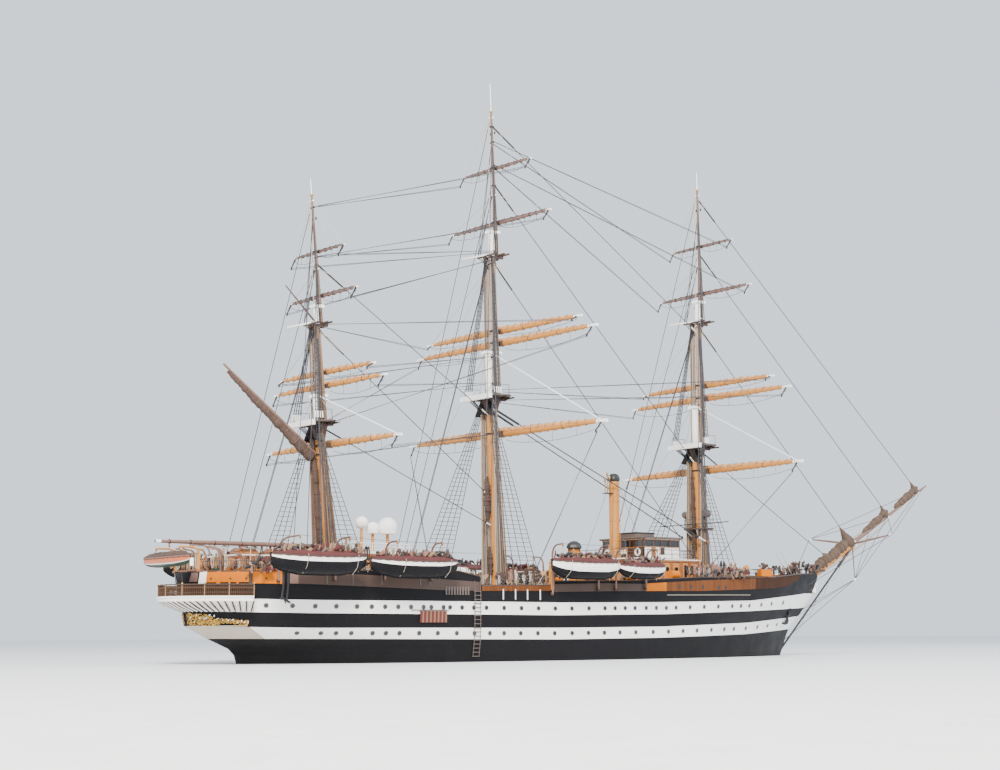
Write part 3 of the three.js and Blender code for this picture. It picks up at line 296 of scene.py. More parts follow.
camera_data = bpy.data.cameras.new("camera")
camera_data.lens = LENS_MM
camera_data.sensor_width = 36
camera_data.shift_x = 0.00316
camera_data.clip_end = 200
camera = bpy.data.objects.new("camera", camera_data)
bpy.context.scene.collection.objects.link(camera)
columns = [CAMERA_RIGHT, CAMERA_UP, [-c for c in CAMERA_AHEAD], [c * K for c in CAMERA_AT]]
camera.matrix_world = Matrix([[*column] for column in zip(*columns)] + [[0, 0, 0, 1]])
bpy.context.scene.camera = camera

# %% [markdown]
# ## Soft light
# The day is bright with thin cloud. A large soft lamp behind the camera's left shoulder stands in for the
# veiled sun, and a pale sky lights the rest. A white floor lies where the water was.

# %% Light the ship
def area_lamp(name, at, towards, size, power, colour):
    lamp = bpy.data.lights.new(name, "AREA")
    lamp.size, lamp.energy, lamp.color = size, power, colour
    made = bpy.data.objects.new(name, lamp)
    made.location = Vector(at)
    made.rotation_mode = "QUATERNION"
    made.rotation_quaternion = (Vector(towards) - Vector(at)).to_track_quat("-Z", "Y")
    bpy.context.scene.collection.objects.link(made)


SHIP_MIDDLE = (1.0, 0, 1.6)
area_lamp("sun_through_cloud", (-13, -15, 15), SHIP_MIDDLE, 5, 10800, (1.0, 0.93, 0.84))
area_lamp("sky_from_ahead", (14, -10, 10), SHIP_MIDDLE, 9, 1700, (0.86, 0.92, 1.0))
world = bpy.data.worlds.new("pale_sky")
world.use_nodes = True
world.node_tree.nodes["Background"].inputs["Color"].default_value = (0.70, 0.76, 0.82, 1)
world.node_tree.nodes["Background"].inputs["Strength"].default_value = 1.7
bpy.context.scene.world = world

# %% [markdown]
# ## Effects that several finishes share
# Painted steel, timber and canvas all carry weather: broad clouds of lighter and darker colour, fine
# grain, and salt or dust on what faces up. Each effect is a node group with named sockets, built once and
# placed in each material with its own values. A group only puts out colours, masks and heights.

# %% Small helpers for node trees
def link(tree, source, target):
    tree.links.new(source, target)


def node(tree, kind, **values):
    made = tree.nodes.new(kind)
    for name, value in values.items():
        setattr(made, name, value)
    return made


def feed(tree, socket, value):
    """Link the socket to another, or give it a constant."""
    if isinstance(value, bpy.types.NodeSocket):
        link(tree, value, socket)
    else:
        socket.default_value = value


def mixed(tree, factor, first, second, blend="MIX"):
    """A colour mix: every argument is a socket or a constant."""
    made = node(tree, "ShaderNodeMix", data_type="RGBA", blend_type=blend)
    for place, value in ((0, factor), (6, first), (7, second)):
        feed(tree, made.inputs[place], value)
    return made.outputs[2]


def ranged(tree, value, low, high, to_low=0.0, to_high=1.0):
    made = node(tree, "ShaderNodeMapRange")
    names = ("Value", "From Min", "From Max", "To Min", "To Max")
    for name, number in zip(names, (value, low, high, to_low, to_high)):
        feed(tree, made.inputs[name], number)
    return made.outputs["Result"]


def calc(tree, operation, *values):
    made = node(tree, "ShaderNodeMath", operation=operation)
    for socket, value in zip(made.inputs, values):
        feed(tree, socket, value)
    return made.outputs[0]


def shaded(tree, colour, shade):
    """A colour made darker or lighter by a number."""
    grey = node(tree, "ShaderNodeCombineColor")
    for channel in grey.inputs[:3]:
        link(tree, shade, channel)
    return mixed(tree, 1.0, colour, grey.outputs[0], "MULTIPLY")


def stretched(tree, scale):
    """The place on the ship, squeezed by a scale along each direction."""
    place = node(tree, "ShaderNodeTexCoord")
    made = node(tree, "ShaderNodeMapping")
    made.inputs["Scale"].default_value = scale
    link(tree, place.outputs["Object"], made.inputs["Vector"])
    return made.outputs["Vector"]


def noise(tree, vector, scale, detail=4.0, rough=0.55):
    made = node(tree, "ShaderNodeTexNoise")
    made.inputs["Detail"].default_value = detail
    made.inputs["Roughness"].default_value = rough
    link(tree, vector, made.inputs["Vector"])
    feed(tree, made.inputs["Scale"], scale)
    return made.outputs["Fac"]


SOCKETS = {"colour": "NodeSocketColor", "number": "NodeSocketFloat"}


def effect(name, takes, gives):
    """An empty node group with its inputs and outputs."""
    tree = bpy.data.node_groups.new(name, "ShaderNodeTree")
    for label, kind, value in takes:
        socket = tree.interface.new_socket(label, in_out="INPUT", socket_type=SOCKETS[kind])
        socket.default_value = value
    for label, kind in gives:
        tree.interface.new_socket(label, in_out="OUTPUT", socket_type=SOCKETS[kind])
    return tree, node(tree, "NodeGroupInput"), node(tree, "NodeGroupOutput")


# %% Weather: clouds of colour, streaks that run down, salt on top
GREY = (0.5, 0.5, 0.5, 1)
weather, into, out = effect(
    "weather",
    [("Color", "colour", GREY), ("Stain", "colour", (0.2, 0.15, 0.1, 1)), ("Clouds", "number", 0.15),
        ("Streaks", "number", 0.2), ("Salt", "number", 0.1), ("Scale", "number", 4.0)],
    [("Color", "colour"), ("Roughness Shift", "number"), ("Height", "number")])
clouds = noise(weather, stretched(weather, (1, 1, 1)), into.outputs["Scale"])
runs = noise(weather, stretched(weather, (9, 9, 0.8)), into.outputs["Scale"], 6, 0.7)
fine = noise(weather, stretched(weather, (1, 1, 1)), 160.0, 3, 0.6)
shade = ranged(weather, clouds, 0.3, 0.7, calc(weather, "SUBTRACT", 1.0, into.outputs["Clouds"]), 1.0)
base = shaded(weather, into.outputs["Color"], shade)
run_mask = calc(weather, "MULTIPLY", ranged(weather, runs, 0.56, 0.78), into.outputs["Streaks"])
stained = mixed(weather, run_mask, base, into.outputs["Stain"])
facing = node(weather, "ShaderNodeNewGeometry")
up = node(weather, "ShaderNodeSeparateXYZ")
link(weather, facing.outputs["Normal"], up.inputs[0])
salt_mask = calc(weather, "MULTIPLY", ranged(weather, up.outputs["Z"], 0.3, 1.0), into.outputs["Salt"])
salt_mask = calc(weather, "MULTIPLY", salt_mask, ranged(weather, fine, 0.3, 0.7))
link(weather, mixed(weather, salt_mask, stained, (0.55, 0.53, 0.5, 1)), out.inputs["Color"])
link(weather, ranged(weather, clouds, 0.3, 0.7, -0.08, 0.12), out.inputs["Roughness Shift"])
link(weather, fine, out.inputs["Height"])

# %% Boards: seams between planks, each plank its own shade, grain along them
boards, into, out = effect(
    "boards",
    [("Color", "colour", GREY), ("Seam", "colour", (0.05, 0.04, 0.03, 1)), ("Across X", "number", 0.0),
        ("Across Y", "number", 1.0), ("Across Z", "number", 0.0), ("Width", "number", 0.018),
        ("Vary", "number", 0.25)],
    [("Color", "colour"), ("Height", "number")])
place = node(boards, "ShaderNodeTexCoord")
axes = node(boards, "ShaderNodeSeparateXYZ")
link(boards, place.outputs["Object"], axes.inputs[0])
parts = [calc(boards, "MULTIPLY", axes.outputs[k], into.outputs[f"Across {k}"]) for k in "XYZ"]
across = calc(boards, "DIVIDE", calc(boards, "ADD", calc(boards, "ADD", *parts[:2]), parts[2]),
    into.outputs["Width"])
edge = calc(boards, "ABSOLUTE", calc(boards, "SUBTRACT", calc(boards, "FRACT", across), 0.5))
number = node(boards, "ShaderNodeTexWhiteNoise", noise_dimensions="1D")
link(boards, calc(boards, "FLOOR", across), number.inputs["W"])
grain = noise(boards, stretched(boards, (14, 14, 14)), 9.0, 6, 0.7)
tone = calc(boards, "ADD", calc(boards, "MULTIPLY", number.outputs["Value"], 0.6),
    calc(boards, "MULTIPLY", grain, 0.4))
low = calc(boards, "SUBTRACT", 1.0, into.outputs["Vary"])
shade = ranged(boards, tone, 0.2, 0.8, low, 1.1)
wood = shaded(boards, into.outputs["Color"], shade)
seam = ranged(boards, edge, 0.44, 0.49)
link(boards, mixed(boards, seam, wood, into.outputs["Seam"]), out.inputs["Color"])
link(boards, calc(boards, "SUBTRACT", calc(boards, "MULTIPLY", grain, 0.2), seam), out.inputs["Height"])

# %% Cloth: the creases of a furled sail, with painted shade in them, and its weave
cloth, into, out = effect(
    "cloth",
    [("Color", "colour", GREY), ("CreaseShade", "colour", (0.2, 0.14, 0.08, 1)), ("CreaseShadeStrength", "number", 0.5)],
    [("Color", "colour"), ("Height", "number")])
crease = noise(cloth, stretched(cloth, (26, 12, 26)), 3.0, 5, 0.65)
soft = noise(cloth, stretched(cloth, (6, 6, 6)), 1.6, 3, 0.5)
weave = noise(cloth, stretched(cloth, (1, 1, 1)), 420.0, 1, 0.5)
# painted shade: the creases of the cloth are darkened towards the fold colour
folded = calc(cloth, "MULTIPLY", ranged(cloth, crease, 0.52, 0.72), into.outputs["CreaseShadeStrength"])
worn = mixed(cloth, 1.0, into.outputs["Color"], (1.3, 1.26, 1.22, 1), "MULTIPLY")
toned = mixed(cloth, ranged(cloth, soft, 0.35, 0.7), into.outputs["Color"], worn)
link(cloth, mixed(cloth, folded, toned, into.outputs["CreaseShade"]), out.inputs["Color"])
link(cloth, calc(cloth, "ADD", crease, calc(cloth, "MULTIPLY", weave, 0.15)), out.inputs["Height"])

# %% Lay: the twist of wire and rope, with painted shade in the grooves between its strands
lay, into, out = effect(
    "lay",
    [("Color", "colour", GREY), ("GrooveShade", "colour", (0.02, 0.02, 0.02, 1)), ("Pitch", "number", 160.0)],
    [("Color", "colour"), ("Height", "number")])
twist = node(lay, "ShaderNodeTexWave", bands_direction="DIAGONAL")
twist.inputs["Distortion"].default_value = 0.4
link(lay, into.outputs["Pitch"], twist.inputs["Scale"])
link(lay, stretched(lay, (1, 1, 1)), twist.inputs["Vector"])
# painted shade: the grooves between the strands are darkened towards the hollow colour
link(lay, mixed(lay, ranged(lay, twist.outputs["Fac"], 0.0, 0.6, 0.55, 0.0), into.outputs["Color"],
    into.outputs["GrooveShade"]), out.inputs["Color"])
link(lay, twist.outputs["Fac"], out.inputs["Height"])
print("effects:", [tree.name for tree in bpy.data.node_groups])

# %% [markdown]
# ## The finishes
# A finish is one material with a Principled BSDF of its own. The table gives each a colour as it looks in
# the photograph, how rough it is, how metallic, the effect that shapes it, and that effect's values.
# Colours are written as screen values from 0 to 255, and turned into linear light here.


# %% Build one material
def screen(r, g, b):
    return tuple(((c / 255 + 0.055) / 1.055) ** 2.4 if c > 10 else c / 3294.6 for c in (r, g, b)) + (1,)


def finish(name, colour, rough, metal=0.0, tree=weather, bump=0.15, coat=0.0, shine=0.5, **values):
    made = bpy.data.materials.new(name)
    made.use_nodes = True
    nodes = made.node_tree
    shader = nodes.nodes["Principled BSDF"]
    shader.inputs["Metallic"].default_value = metal
    shader.inputs["Roughness"].default_value = rough
    shader.inputs["Coat Weight"].default_value = coat
    shader.inputs["Specular IOR Level"].default_value = shine
    made_group = node(nodes, "ShaderNodeGroup", node_tree=tree)
    made_group.inputs["Color"].default_value = screen(*colour)
    for label, value in values.items():
        socket = made_group.inputs[label.replace("_", " ")]
        socket.default_value = screen(*value) if isinstance(value, tuple) else value
    link(nodes, made_group.outputs["Color"], shader.inputs["Base Color"])
    if "Roughness Shift" in made_group.outputs:
        link(nodes, calc(nodes, "ADD", made_group.outputs["Roughness Shift"], rough),
            shader.inputs["Roughness"])
    bumped = node(nodes, "ShaderNodeBump")
    bumped.inputs["Strength"].default_value = bump
    bumped.inputs["Distance"].default_value = 0.003
    link(nodes, made_group.outputs["Height"], bumped.inputs["Height"])
    link(nodes, bumped.outputs["Normal"], shader.inputs["Normal"])
    return made


# %% All the finishes
RUST = (120, 72, 44)
# colour on the screen, roughness, then what differs from a plain finish
FINISHES = {
    "charcoal": ((23, 22, 25), 0.5, dict(shine=0.12, Clouds=0.25, Streaks=0.10, Stain=(84, 76, 74))),
    "white": ((255, 253, 249), 0.35, dict(coat=0.2, Clouds=0.06, Streaks=0.10, Stain=(196, 184, 166))),
    # the white of the lower band under the counter, darker and creamier: painted shade under the overhang
    "counter": ((194, 182, 164), 0.4, dict(Clouds=0.12, Streaks=0.15, Stain=(150, 136, 112))),
    "antifouling": ((52, 70, 62), 0.75, dict(Clouds=0.3, Streaks=0.15, Stain=(90, 96, 80))),
    "ochre": ((208, 112, 0), 0.5, dict(shine=0.15, Clouds=0.14, Streaks=0.1, Stain=(146, 84, 20))),
    "buff": ((204, 136, 62), 0.42, dict(shine=0.3, Clouds=0.14, Streaks=0.18, Stain=(160, 116, 78))),
    "mast_brown": ((128, 96, 84), 0.5, dict(Clouds=0.2, Streaks=0.2, Stain=(96, 76, 72))),
    "mast_tan": ((184, 154, 132), 0.5, dict(Clouds=0.2, Streaks=0.25, Stain=(120, 96, 82))),
    "faded": ((100, 86, 80), 0.6, dict(Clouds=0.2)),
    "brown": ((80, 62, 54), 0.5, dict(shine=0.3, Clouds=0.3, Streaks=0.25, Stain=(52, 44, 42))),
    "gallery_brown": ((84, 58, 38), 0.6, dict(shine=0.2, Clouds=0.2, Stain=(60, 44, 34))),
    "black": ((30, 30, 33), 0.45, dict(Clouds=0.2, Streaks=0.05)),
    "steel": ((120, 122, 126), 0.45, dict(metal=0.6, Clouds=0.2, Streaks=0.1, Stain=RUST)),
    "grey": ((148, 148, 148), 0.5, dict(Clouds=0.1)),
    "bronze": ((176, 138, 72), 0.32, dict(metal=0.9, Clouds=0.25, Stain=(70, 100, 80))),
    "gilt": ((214, 172, 84), 0.34, dict(metal=0.85, Clouds=0.3, Streaks=0.1, Stain=(120, 88, 40))),
    "orange": ((222, 118, 66), 0.42, dict(coat=0.2, Clouds=0.12)),
    "green": ((40, 58, 40), 0.5, dict(Clouds=0.15)),
    "maroon": ((84, 36, 36), 0.85, dict(tree=cloth, bump=0.4, CreaseShade=(40, 20, 20))),
    "net": ((134, 96, 82), 0.9, dict(tree=cloth, bump=0.9, CreaseShade=(52, 38, 34))),
    "planking": ((108, 62, 30), 0.6, dict(shine=0.15, tree=boards, bump=0.5, Across_X=1.0, Across_Y=0.0,
        Width=0.028, Seam=(72, 42, 24))),
    # a darker copy of the planking: painted shade for the bow, where the side turns from the light
    "old_planking": ((62, 34, 16), 0.65, dict(shine=0.15, tree=boards, bump=0.5, Across_X=1.0, Across_Y=0.0,
        Width=0.028, Seam=(52, 32, 22))),
    "deck": ((196, 172, 134), 0.7, dict(tree=boards, bump=0.5, Width=0.015, Seam=(60, 50, 42))),
    "teak": ((168, 102, 54), 0.42, dict(tree=boards, bump=0.4, coat=0.3, Across_X=1.0, Across_Y=1.0,
        Width=0.02, Seam=(96, 56, 30))),
    "varnish": ((198, 128, 66), 0.3, dict(tree=boards, bump=0.2, coat=0.4, Across_Y=0.0, Across_Z=1.0,
        Width=0.03, Seam=(140, 84, 44), Vary=0.15)),
    "canvas": ((202, 148, 96), 0.9, dict(tree=cloth, bump=0.8, CreaseShade=(132, 96, 70))),
    "dark_canvas": ((84, 68, 66), 0.9, dict(tree=cloth, bump=0.8, CreaseShade=(44, 36, 34))),
    "jib_canvas": ((84, 68, 58), 0.9, dict(tree=cloth, bump=0.9, CreaseShade=(52, 42, 38))),
    "brailed": ((76, 58, 50), 0.9, dict(tree=cloth, bump=0.9, CreaseShade=(44, 32, 26))),
    "wire": ((68, 68, 74), 0.6, dict(metal=0.1, tree=lay, bump=0.4, GrooveShade=(34, 34, 38))),
    "light_rope": ((196, 184, 168), 0.85, dict(tree=lay, bump=0.4, GrooveShade=(150, 142, 128))),
    "tan_rope": ((154, 124, 92), 0.85, dict(tree=lay, bump=0.4, GrooveShade=(90, 74, 56))),
    "gangway_red": ((92, 38, 24), 0.6, {}),
    "gangway_pink": ((134, 92, 74), 0.6, {}),
    "red": ((206, 74, 52), 0.5, dict(Clouds=0.1)),
    "dome": ((255, 254, 252), 0.45, dict(Clouds=0.05, Streaks=0.05)),
}
FINISH = {name: finish(name, colour, rough, **more) for name, (colour, rough, more) in FINISHES.items()}


# %% Glass for windows and ports
def dark_glass(name, colour):
    """Panes that show no inside: nearly black, with a clear gloss over a faint ripple."""
    made = finish(name, colour, 0.08, coat=0.6, bump=0.02, Clouds=0.3, Streaks=0.0, Salt=0.0)
    made.node_tree.nodes["Principled BSDF"].inputs["IOR"].default_value = 1.5
    return made


FINISH["glass"] = dark_glass("glass", (28, 32, 36))
FINISH["lamp_glass"] = dark_glass("lamp_glass", (150, 160, 165))
floor_paint = finish("floor_paint", (236, 238, 240), 0.6, Clouds=0.02, Streaks=0.0, Salt=0.0, bump=0.0)
print("finishes:", len(FINISH))

# %% Lay the floor at the waterline
FLOOR_HALF = 60
floor_mesh = bpy.data.meshes.new("floor")
floor_mesh.from_pydata([(-FLOOR_HALF, -FLOOR_HALF, 0), (FLOOR_HALF, -FLOOR_HALF, 0),
    (FLOOR_HALF, FLOOR_HALF, 0), (-FLOOR_HALF, FLOOR_HALF, 0)], [], [(0, 1, 2, 3)])
floor_mesh.materials.append(floor_paint)
floor = bpy.data.objects.new("floor", floor_mesh)
bpy.context.scene.collection.objects.link(floor)
floor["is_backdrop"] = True

# %% [markdown]
# ## The hull's lines
# A hull's form is drawn as waterlines: level cuts through it, each with its ends and its breadth. The CAD
# model of this ship has sixteen, and the skin here follows the same ones. A waterline is full amidships
# and runs in to the stem and the sternpost by powers of the distance, which is how a naval architect's
# sketch of a sectional-area curve is often begun.

# %% Waterlines and sheer
# height, stern end, stem end, half beam, then how full the run, the entry and the counter are
LINES = np.array([
    (-7.3, -27.3, 31.5, 0.2, 1, 1, 1), (-6.95, -27.3, 33.2, 0.2, 1, 1, 1),
    (-6.9, -26.55, 33.5, 0.22, 1, 1, 1), (-6.5, -26.55, 34.8, 3.6, 1, 1.3, 1),
    (-5.4, -26.55, 36.6, 6, 1.05, 1.5, 1),
    (-3.6, -26.55, 37.9, 7.2, 1.3, 1.8, 1), (-1.6, -26.55, 38.5, 7.65, 2, 2, 1),
    (-0.65, -26.55, 38.7, 7.75, 2.6, 2.1, 1), (0, -28.05, 38.81, 7.78, 3, 2.2, 1),
    (1.1, -28.4, 39.35, 7.78, 3.4, 2.3, 0.95), (2.17, -30.9, 39.85, 7.78, 3.9, 2.4, 0.8),
    (3.2, -32.9, 40.5, 7.78, 4.2, 2.5, 0.7), (4.45, -33.05, 42.1, 7.78, 4.6, 2.6, 0.6),
    (5.6, -33.25, 43.3, 7.78, 4.9, 2.7, 0.55), (6.6, -33.35, 44.2, 7.75, 5, 2.8, 0.5),
    (9.4, -33.8, 45.6, 7.65, 5, 3, 0.5)])
MIDSHIP, KEEL_HALF, WALL = 4.0, 0.2, 0.22
SHEER = np.array([(-35, 7.72), (-28, 7.75), (-20, 7.9), (-10.4, 8.06), (-7.75, 7.57), (-7.65, 6.76),
    (0.65, 6.92), (0.75, 7.3), (10.6, 7.48), (20, 7.98), (32.5, 8.21), (41, 8.84), (46.5, 9.0)])
# first and last station, height at each
DECKS = {"poop": (-32.9, -7.95, 7.05, 7.05), "waist": (-7.45, 0.62, 5.75, 5.75),
    "forecastle": (0.85, 42.2, 6.6, 8.1)}


def sheer(x):
    return float(np.interp(x, SHEER[:, 0], SHEER[:, 1]))


def line_at(z):
    return [np.interp(z, LINES[:, 0], LINES[:, k]) for k in range(1, 7)]


def half_breadth(x, z):
    stern, stem, beam, run, entry, counter = line_at(z)
    aft = min(max((MIDSHIP - x) / (MIDSHIP - stern), 0), 1)
    ahead = min(max((x - MIDSHIP) / (stem - MIDSHIP), 0), 1)
    full = (1 - aft ** run) ** counter if x < MIDSHIP else 1 - ahead ** entry
    return KEEL_HALF + (beam - KEEL_HALF) * full


def deck_at(x):
    for start, end, low, high in DECKS.values():
        if start <= x <= end:
            return low + (high - low) * (x - start) / (end - start)
    return sheer(x)


def along_side(stations, height, side, out):
    """Points on the plating of one side at a height of each station, moved outboard."""
    return [(x, side * (half_breadth(x, height(x)) + out), height(x)) for x in stations]


def side_normal(x, z, side):
    """Which way the plating faces at a point of the port (1) or starboard (-1) side."""
    step = 0.05
    lengthwise = (half_breadth(x + step, z) - half_breadth(x - step, z)) / (2 * step)
    upright = (half_breadth(x, z + step) - half_breadth(x, z - step)) / (2 * step)
    return unit([-lengthwise, side, -upright])


def on_side(x, z, side, out):
    """A point just off the plating."""
    return vec(x, side * half_breadth(x, z), z) + side_normal(x, z, side) * out


print("half breadth amidships:", half_breadth(0, 2.0), "waist deck:", deck_at(0))

# %% [markdown]
# ## The painted hull
# Two white bands run the length of a charcoal hull. They follow the sheer, lower amidships than at the
# ends. The skin's rows are laid along the edges of the bands, so each colour has its own strip of plating
# and the edges stay crisp at any distance. The steel below the water is muted green. Between the skeg and
# the sternpost the plating stops short, which leaves the frame that the screw turns in.

# %% Rows and columns of the skin
# station, then the lower and upper edge of the lower band and of the upper band
BANDS = np.array([(-33.5, 2.17, 3.22, 4.47, 5.5), (-24.4, 2.13, 3.04, 4.30, 5.35),
    (1.5, 1.95, 3.0, 4.19, 5.31), (14.8, 2.04, 3.1, 4.33, 5.44), (29.0, 2.33, 3.49, 4.72, 5.73),
    (42.5, 2.95, 4.3, 5.2, 6.75)])
SCREW_FRAME = {"aft": -26.0, "fore": -24.72, "low": -6.3, "high": -1.9}


def band_edge(x, k):
    return float(np.interp(x, BANDS[:, 0], BANDS[:, k + 1]))


def level(z):
    return lambda x: z


def edge(k, other=None, part=0.0):
    """A row on an edge of a band, or part of the way from there to another edge or the sheer."""
    def height(x):
        top = sheer(x) if other is None else band_edge(x, other)
        return band_edge(x, k) + (top - band_edge(x, k)) * part
    return height


def below_band(part):
    return lambda x: band_edge(x, 0) * part


low, high = SCREW_FRAME["low"], SCREW_FRAME["high"]
# the finish above the row, its height, and whether it stops at the screw's frame
ROWS = [("antifouling", level(z), False) for z in (-7.3, -6.95, -6.9, -6.7, -6.5, low)]
ROWS += [("antifouling", level(z), True) for z in (low, -5.9, -5.4, -4.8, -4.2, -3.6, -2.9, -2.3, high)]
ROWS += [("antifouling", level(z), False) for z in (high, -1.6, -1.1, -0.65, -0.3)]
ROWS += [("charcoal", below_band(part), False) for part in (0.0, 0.17, 0.35, 0.6, 0.8)]
ROWS += [("white", edge(0), False), ("white", edge(0, 1, 0.5), False), ("charcoal", edge(1), False),
    ("charcoal", edge(1, 2, 0.5), False), ("white", edge(2), False), ("white", edge(2, 3, 0.5), False),
    ("charcoal", edge(3), False)]
ROWS += [("charcoal", edge(3, None, part), False) for part in (0.2, 0.4, 0.7, 1.0)]

FAIR_HEIGHT = 7.0
stern_there = line_at(FAIR_HEIGHT)[0]
HALF_COLUMNS = 46             # from amidships to each end, closer together towards it
aft_parts = [-sin(a) for a in np.linspace(pi / 2, 0.0, HALF_COLUMNS)]
fore_parts = list(np.linspace(0, 1, HALF_COLUMNS)[1:] ** 0.8)
step_parts = [(x - MIDSHIP) / (MIDSHIP - stern_there) for x in (-10.4, -7.75, -7.65, 0.65, 0.75)]
COLUMNS = sorted(aft_parts + fore_parts + step_parts)


def station(part, z):
    stern, stem = line_at(z)[:2]
    return MIDSHIP + part * ((MIDSHIP - stern) if part < 0 else (stem - MIDSHIP))


def skin_point(part, height, inset=0.0):
    """A point of the port side whose height follows the row at the point's own station."""
    x = station(part, FAIR_HEIGHT)
    for _ in range(5):
        x = station(part, height(x))
    z = height(x)
    return vec(x, max(half_breadth(x, z) - inset, 0.02), z)


def loop(height, stops=False, inset=0.0):
    """A row all round the ship: along the port side to the stem, and back along starboard."""
    port = np.array([skin_point(part, height, inset) for part in COLUMNS])
    if stops:
        short = port[:, 0] < SCREW_FRAME["fore"]
        port[short, 0] = SCREW_FRAME["fore"]
        port[short, 1] = half_breadth(SCREW_FRAME["fore"], port[0, 2])
    return np.concatenate([port, (port * [1, -1, 1])[::-1]])


# %% Plate the hull and lay its decks
hull = Shape()
rows = [loop(height, stops) for _, height, stops in ROWS]
# the lower white band under the counter is painted a darker cream, as the shade under the overhang
COUNTER_SHADE_END = -26.8           # abaft this the lower white band is under the counter, and creamy
counter_shade_mask = None
for (paint, _, _), lower, upper in zip(ROWS, rows, rows[1:]):
    skin(hull, [lower, upper], paint, caps=False)
    # abaft the counter's start the lower white band takes the darker cream finish: painted shade
    if paint == "white" and lower[0][2] < 3.2:
        counter_shade_mask = counter_shade_mask or [p[0] < COUNTER_SHADE_END for p in lower]
        hull.finishes[-len(lower):] = ["counter" if aft else paint for aft in counter_shade_mask]
hull.add(rows[0], [np.arange(len(rows[0]))[::-1]], "antifouling")
box(hull, (-26.55, SCREW_FRAME["aft"]), (-KEEL_HALF, KEEL_HALF),
    (SCREW_FRAME["low"] - 0.2, -1.7), "antifouling")
inner_top = loop(sheer, inset=WALL)
inner_foot = loop(lambda x: sheer(x) - 1.45 if sheer(x) < 8.3 else sheer(x) - 0.9, inset=WALL)
skin(hull, [rows[-1], inner_top, inner_foot], "brown", caps=False)


CAMBER = 0.12
for start, end, low, high in DECKS.values():
    rings = []
    for x in np.linspace(start, end, 40):
        z = deck_at(x)
        spread = np.linspace(1, -1, 9)
        y = spread * (half_breadth(x, z) - WALL + 0.05)
        rings.append(np.column_stack([np.full(9, x), y, z - CAMBER * spread ** 2 + CAMBER * 0.2]))
    sheet(hull, rings, "deck")
# breastworks where the decks step down, between two stations
for aft, fore in ((-7.9, -7.5), (0.66, 0.8)):
    half = half_breadth((aft + fore) / 2, 7.0) - 0.15
    box(hull, (aft, fore), (-half, half), (5.7, sheer(aft) - 0.04), "brown")
# the solid ends of the bulwark, level with its top, and the bulkheads below them
for end, inboard, foot, paint in ((-33.45, -32.9, 7.05, "brown"), (44.9, 42.2, 8.1, "teak")):
    rings = []
    for x in np.linspace(inboard, end, 14):
        half = max(half_breadth(x, sheer(x)) - 0.12, 0.05)
        rings.append([(x, half * y, sheer(x) - 0.04) for y in np.linspace(1, -1, 7)])
    sheet(hull, rings, paint)
    half = half_breadth(inboard, foot) - WALL + 0.04
    box(hull, about(inboard, 0.05), (-half, half), (foot - 0.1, sheer(inboard) - 0.05), paint)

# %% [markdown]
# ## Strips along the bulwark
# Above the top band the plating is broken by coloured strips: ochre round the stern, brown along the poop,
# varnished planking by the forecastle. They are timber on the real ship, so each is a thin board laid on
# the plating, a hand proud of it, with a moulding above and below.

# %% Lay boards on the plating
def board(shape, side, stations, low, high, finish, proud=0.05):
    """A board on the plating between two curves of height, each a list of (station, height)."""
    low, high = np.array(low), np.array(high)
    gap = 0.12 if stations[0] < -26 else 0.7      # closer round the stern, where the plating turns
    x = np.linspace(*stations, max(int(abs(stations[1] - stations[0]) / gap), 3))
    rings = []
    for s in x:
        foot, head = np.interp(s, low[:, 0], low[:, 1]), np.interp(s, high[:, 0], high[:, 1])
        ring = []
        for z, out in ((foot, -0.05), (foot, proud), ((foot + head) / 2, proud),
                (head, proud), (head, -0.05)):
            ring.append(on_side(s, z, side, out))
        rings.append(ring)
    skin(shape, rings, finish)


# first and last station, finish, lower edge, upper edge
STRIPS = [
    # the strip's end round the stern is dark brown: painted shade on the ochre where it turns from the light
    ((-33.3, -33.0), "mast_brown", [(-33.3, 6.9), (-33.0, 6.9)], [(-33.3, 7.66), (-33.0, 7.66)]),
    ((-32.74, -29.75), "ochre", [(-32.74, 6.84), (-29.75, 6.84)], [(-32.74, 7.74), (-29.75, 7.74)]),
    ((-29.6, -27.3), "ochre", [(-29.6, 6.74), (-27.3, 6.72)], [(-29.6, 7.75), (-27.3, 7.74)]),
    ((-26.6, -25.9), "mast_brown", [(-26.6, 6.74), (-25.9, 6.73)], [(-26.6, 7.62), (-25.9, 7.61)]),
    ((-25.9, -7.8), "brown", [(-25.9, 6.73), (-12.2, 6.33), (-7.8, 6.3)],
        [(-25.9, 7.75), (-12.2, 7.3), (-7.8, 7.1)]),
    ((-7.6, 0.6), "planking", [(-7.6, 6.3), (0.6, 6.4)], [(-7.6, 6.74), (0.6, 6.88)]),
    ((0.8, 7.6), "brown", [(0.8, 6.3), (7.6, 6.45)], [(0.8, 7.02), (7.6, 7.22)]),
    ((7.6, 12.4), "brown", [(7.6, 6.45), (12.4, 6.52)], [(7.6, 7.2), (12.4, 7.2)]),
    ((12.4, 15.2), "ochre", [(12.4, 6.52), (15.2, 6.56)], [(12.4, 7.24), (15.2, 7.4)]),
    ((15.2, 29.5), "planking", [(15.2, 6.56), (20.1, 6.62), (29.5, 6.95)],
        [(15.2, 7.4), (20.2, 7.67), (29.5, 8.08)]),
    # the planking's forward end, where the bow turns away from the light, in its darker copy: painted shade
    ((29.52, 39.4), "old_planking", [(29.52, 6.95), (34.0, 7.15), (36.8, 7.5), (39.4, 8.3)],
        [(29.52, 8.08), (36.8, 8.45), (39.4, 8.62)]),
]
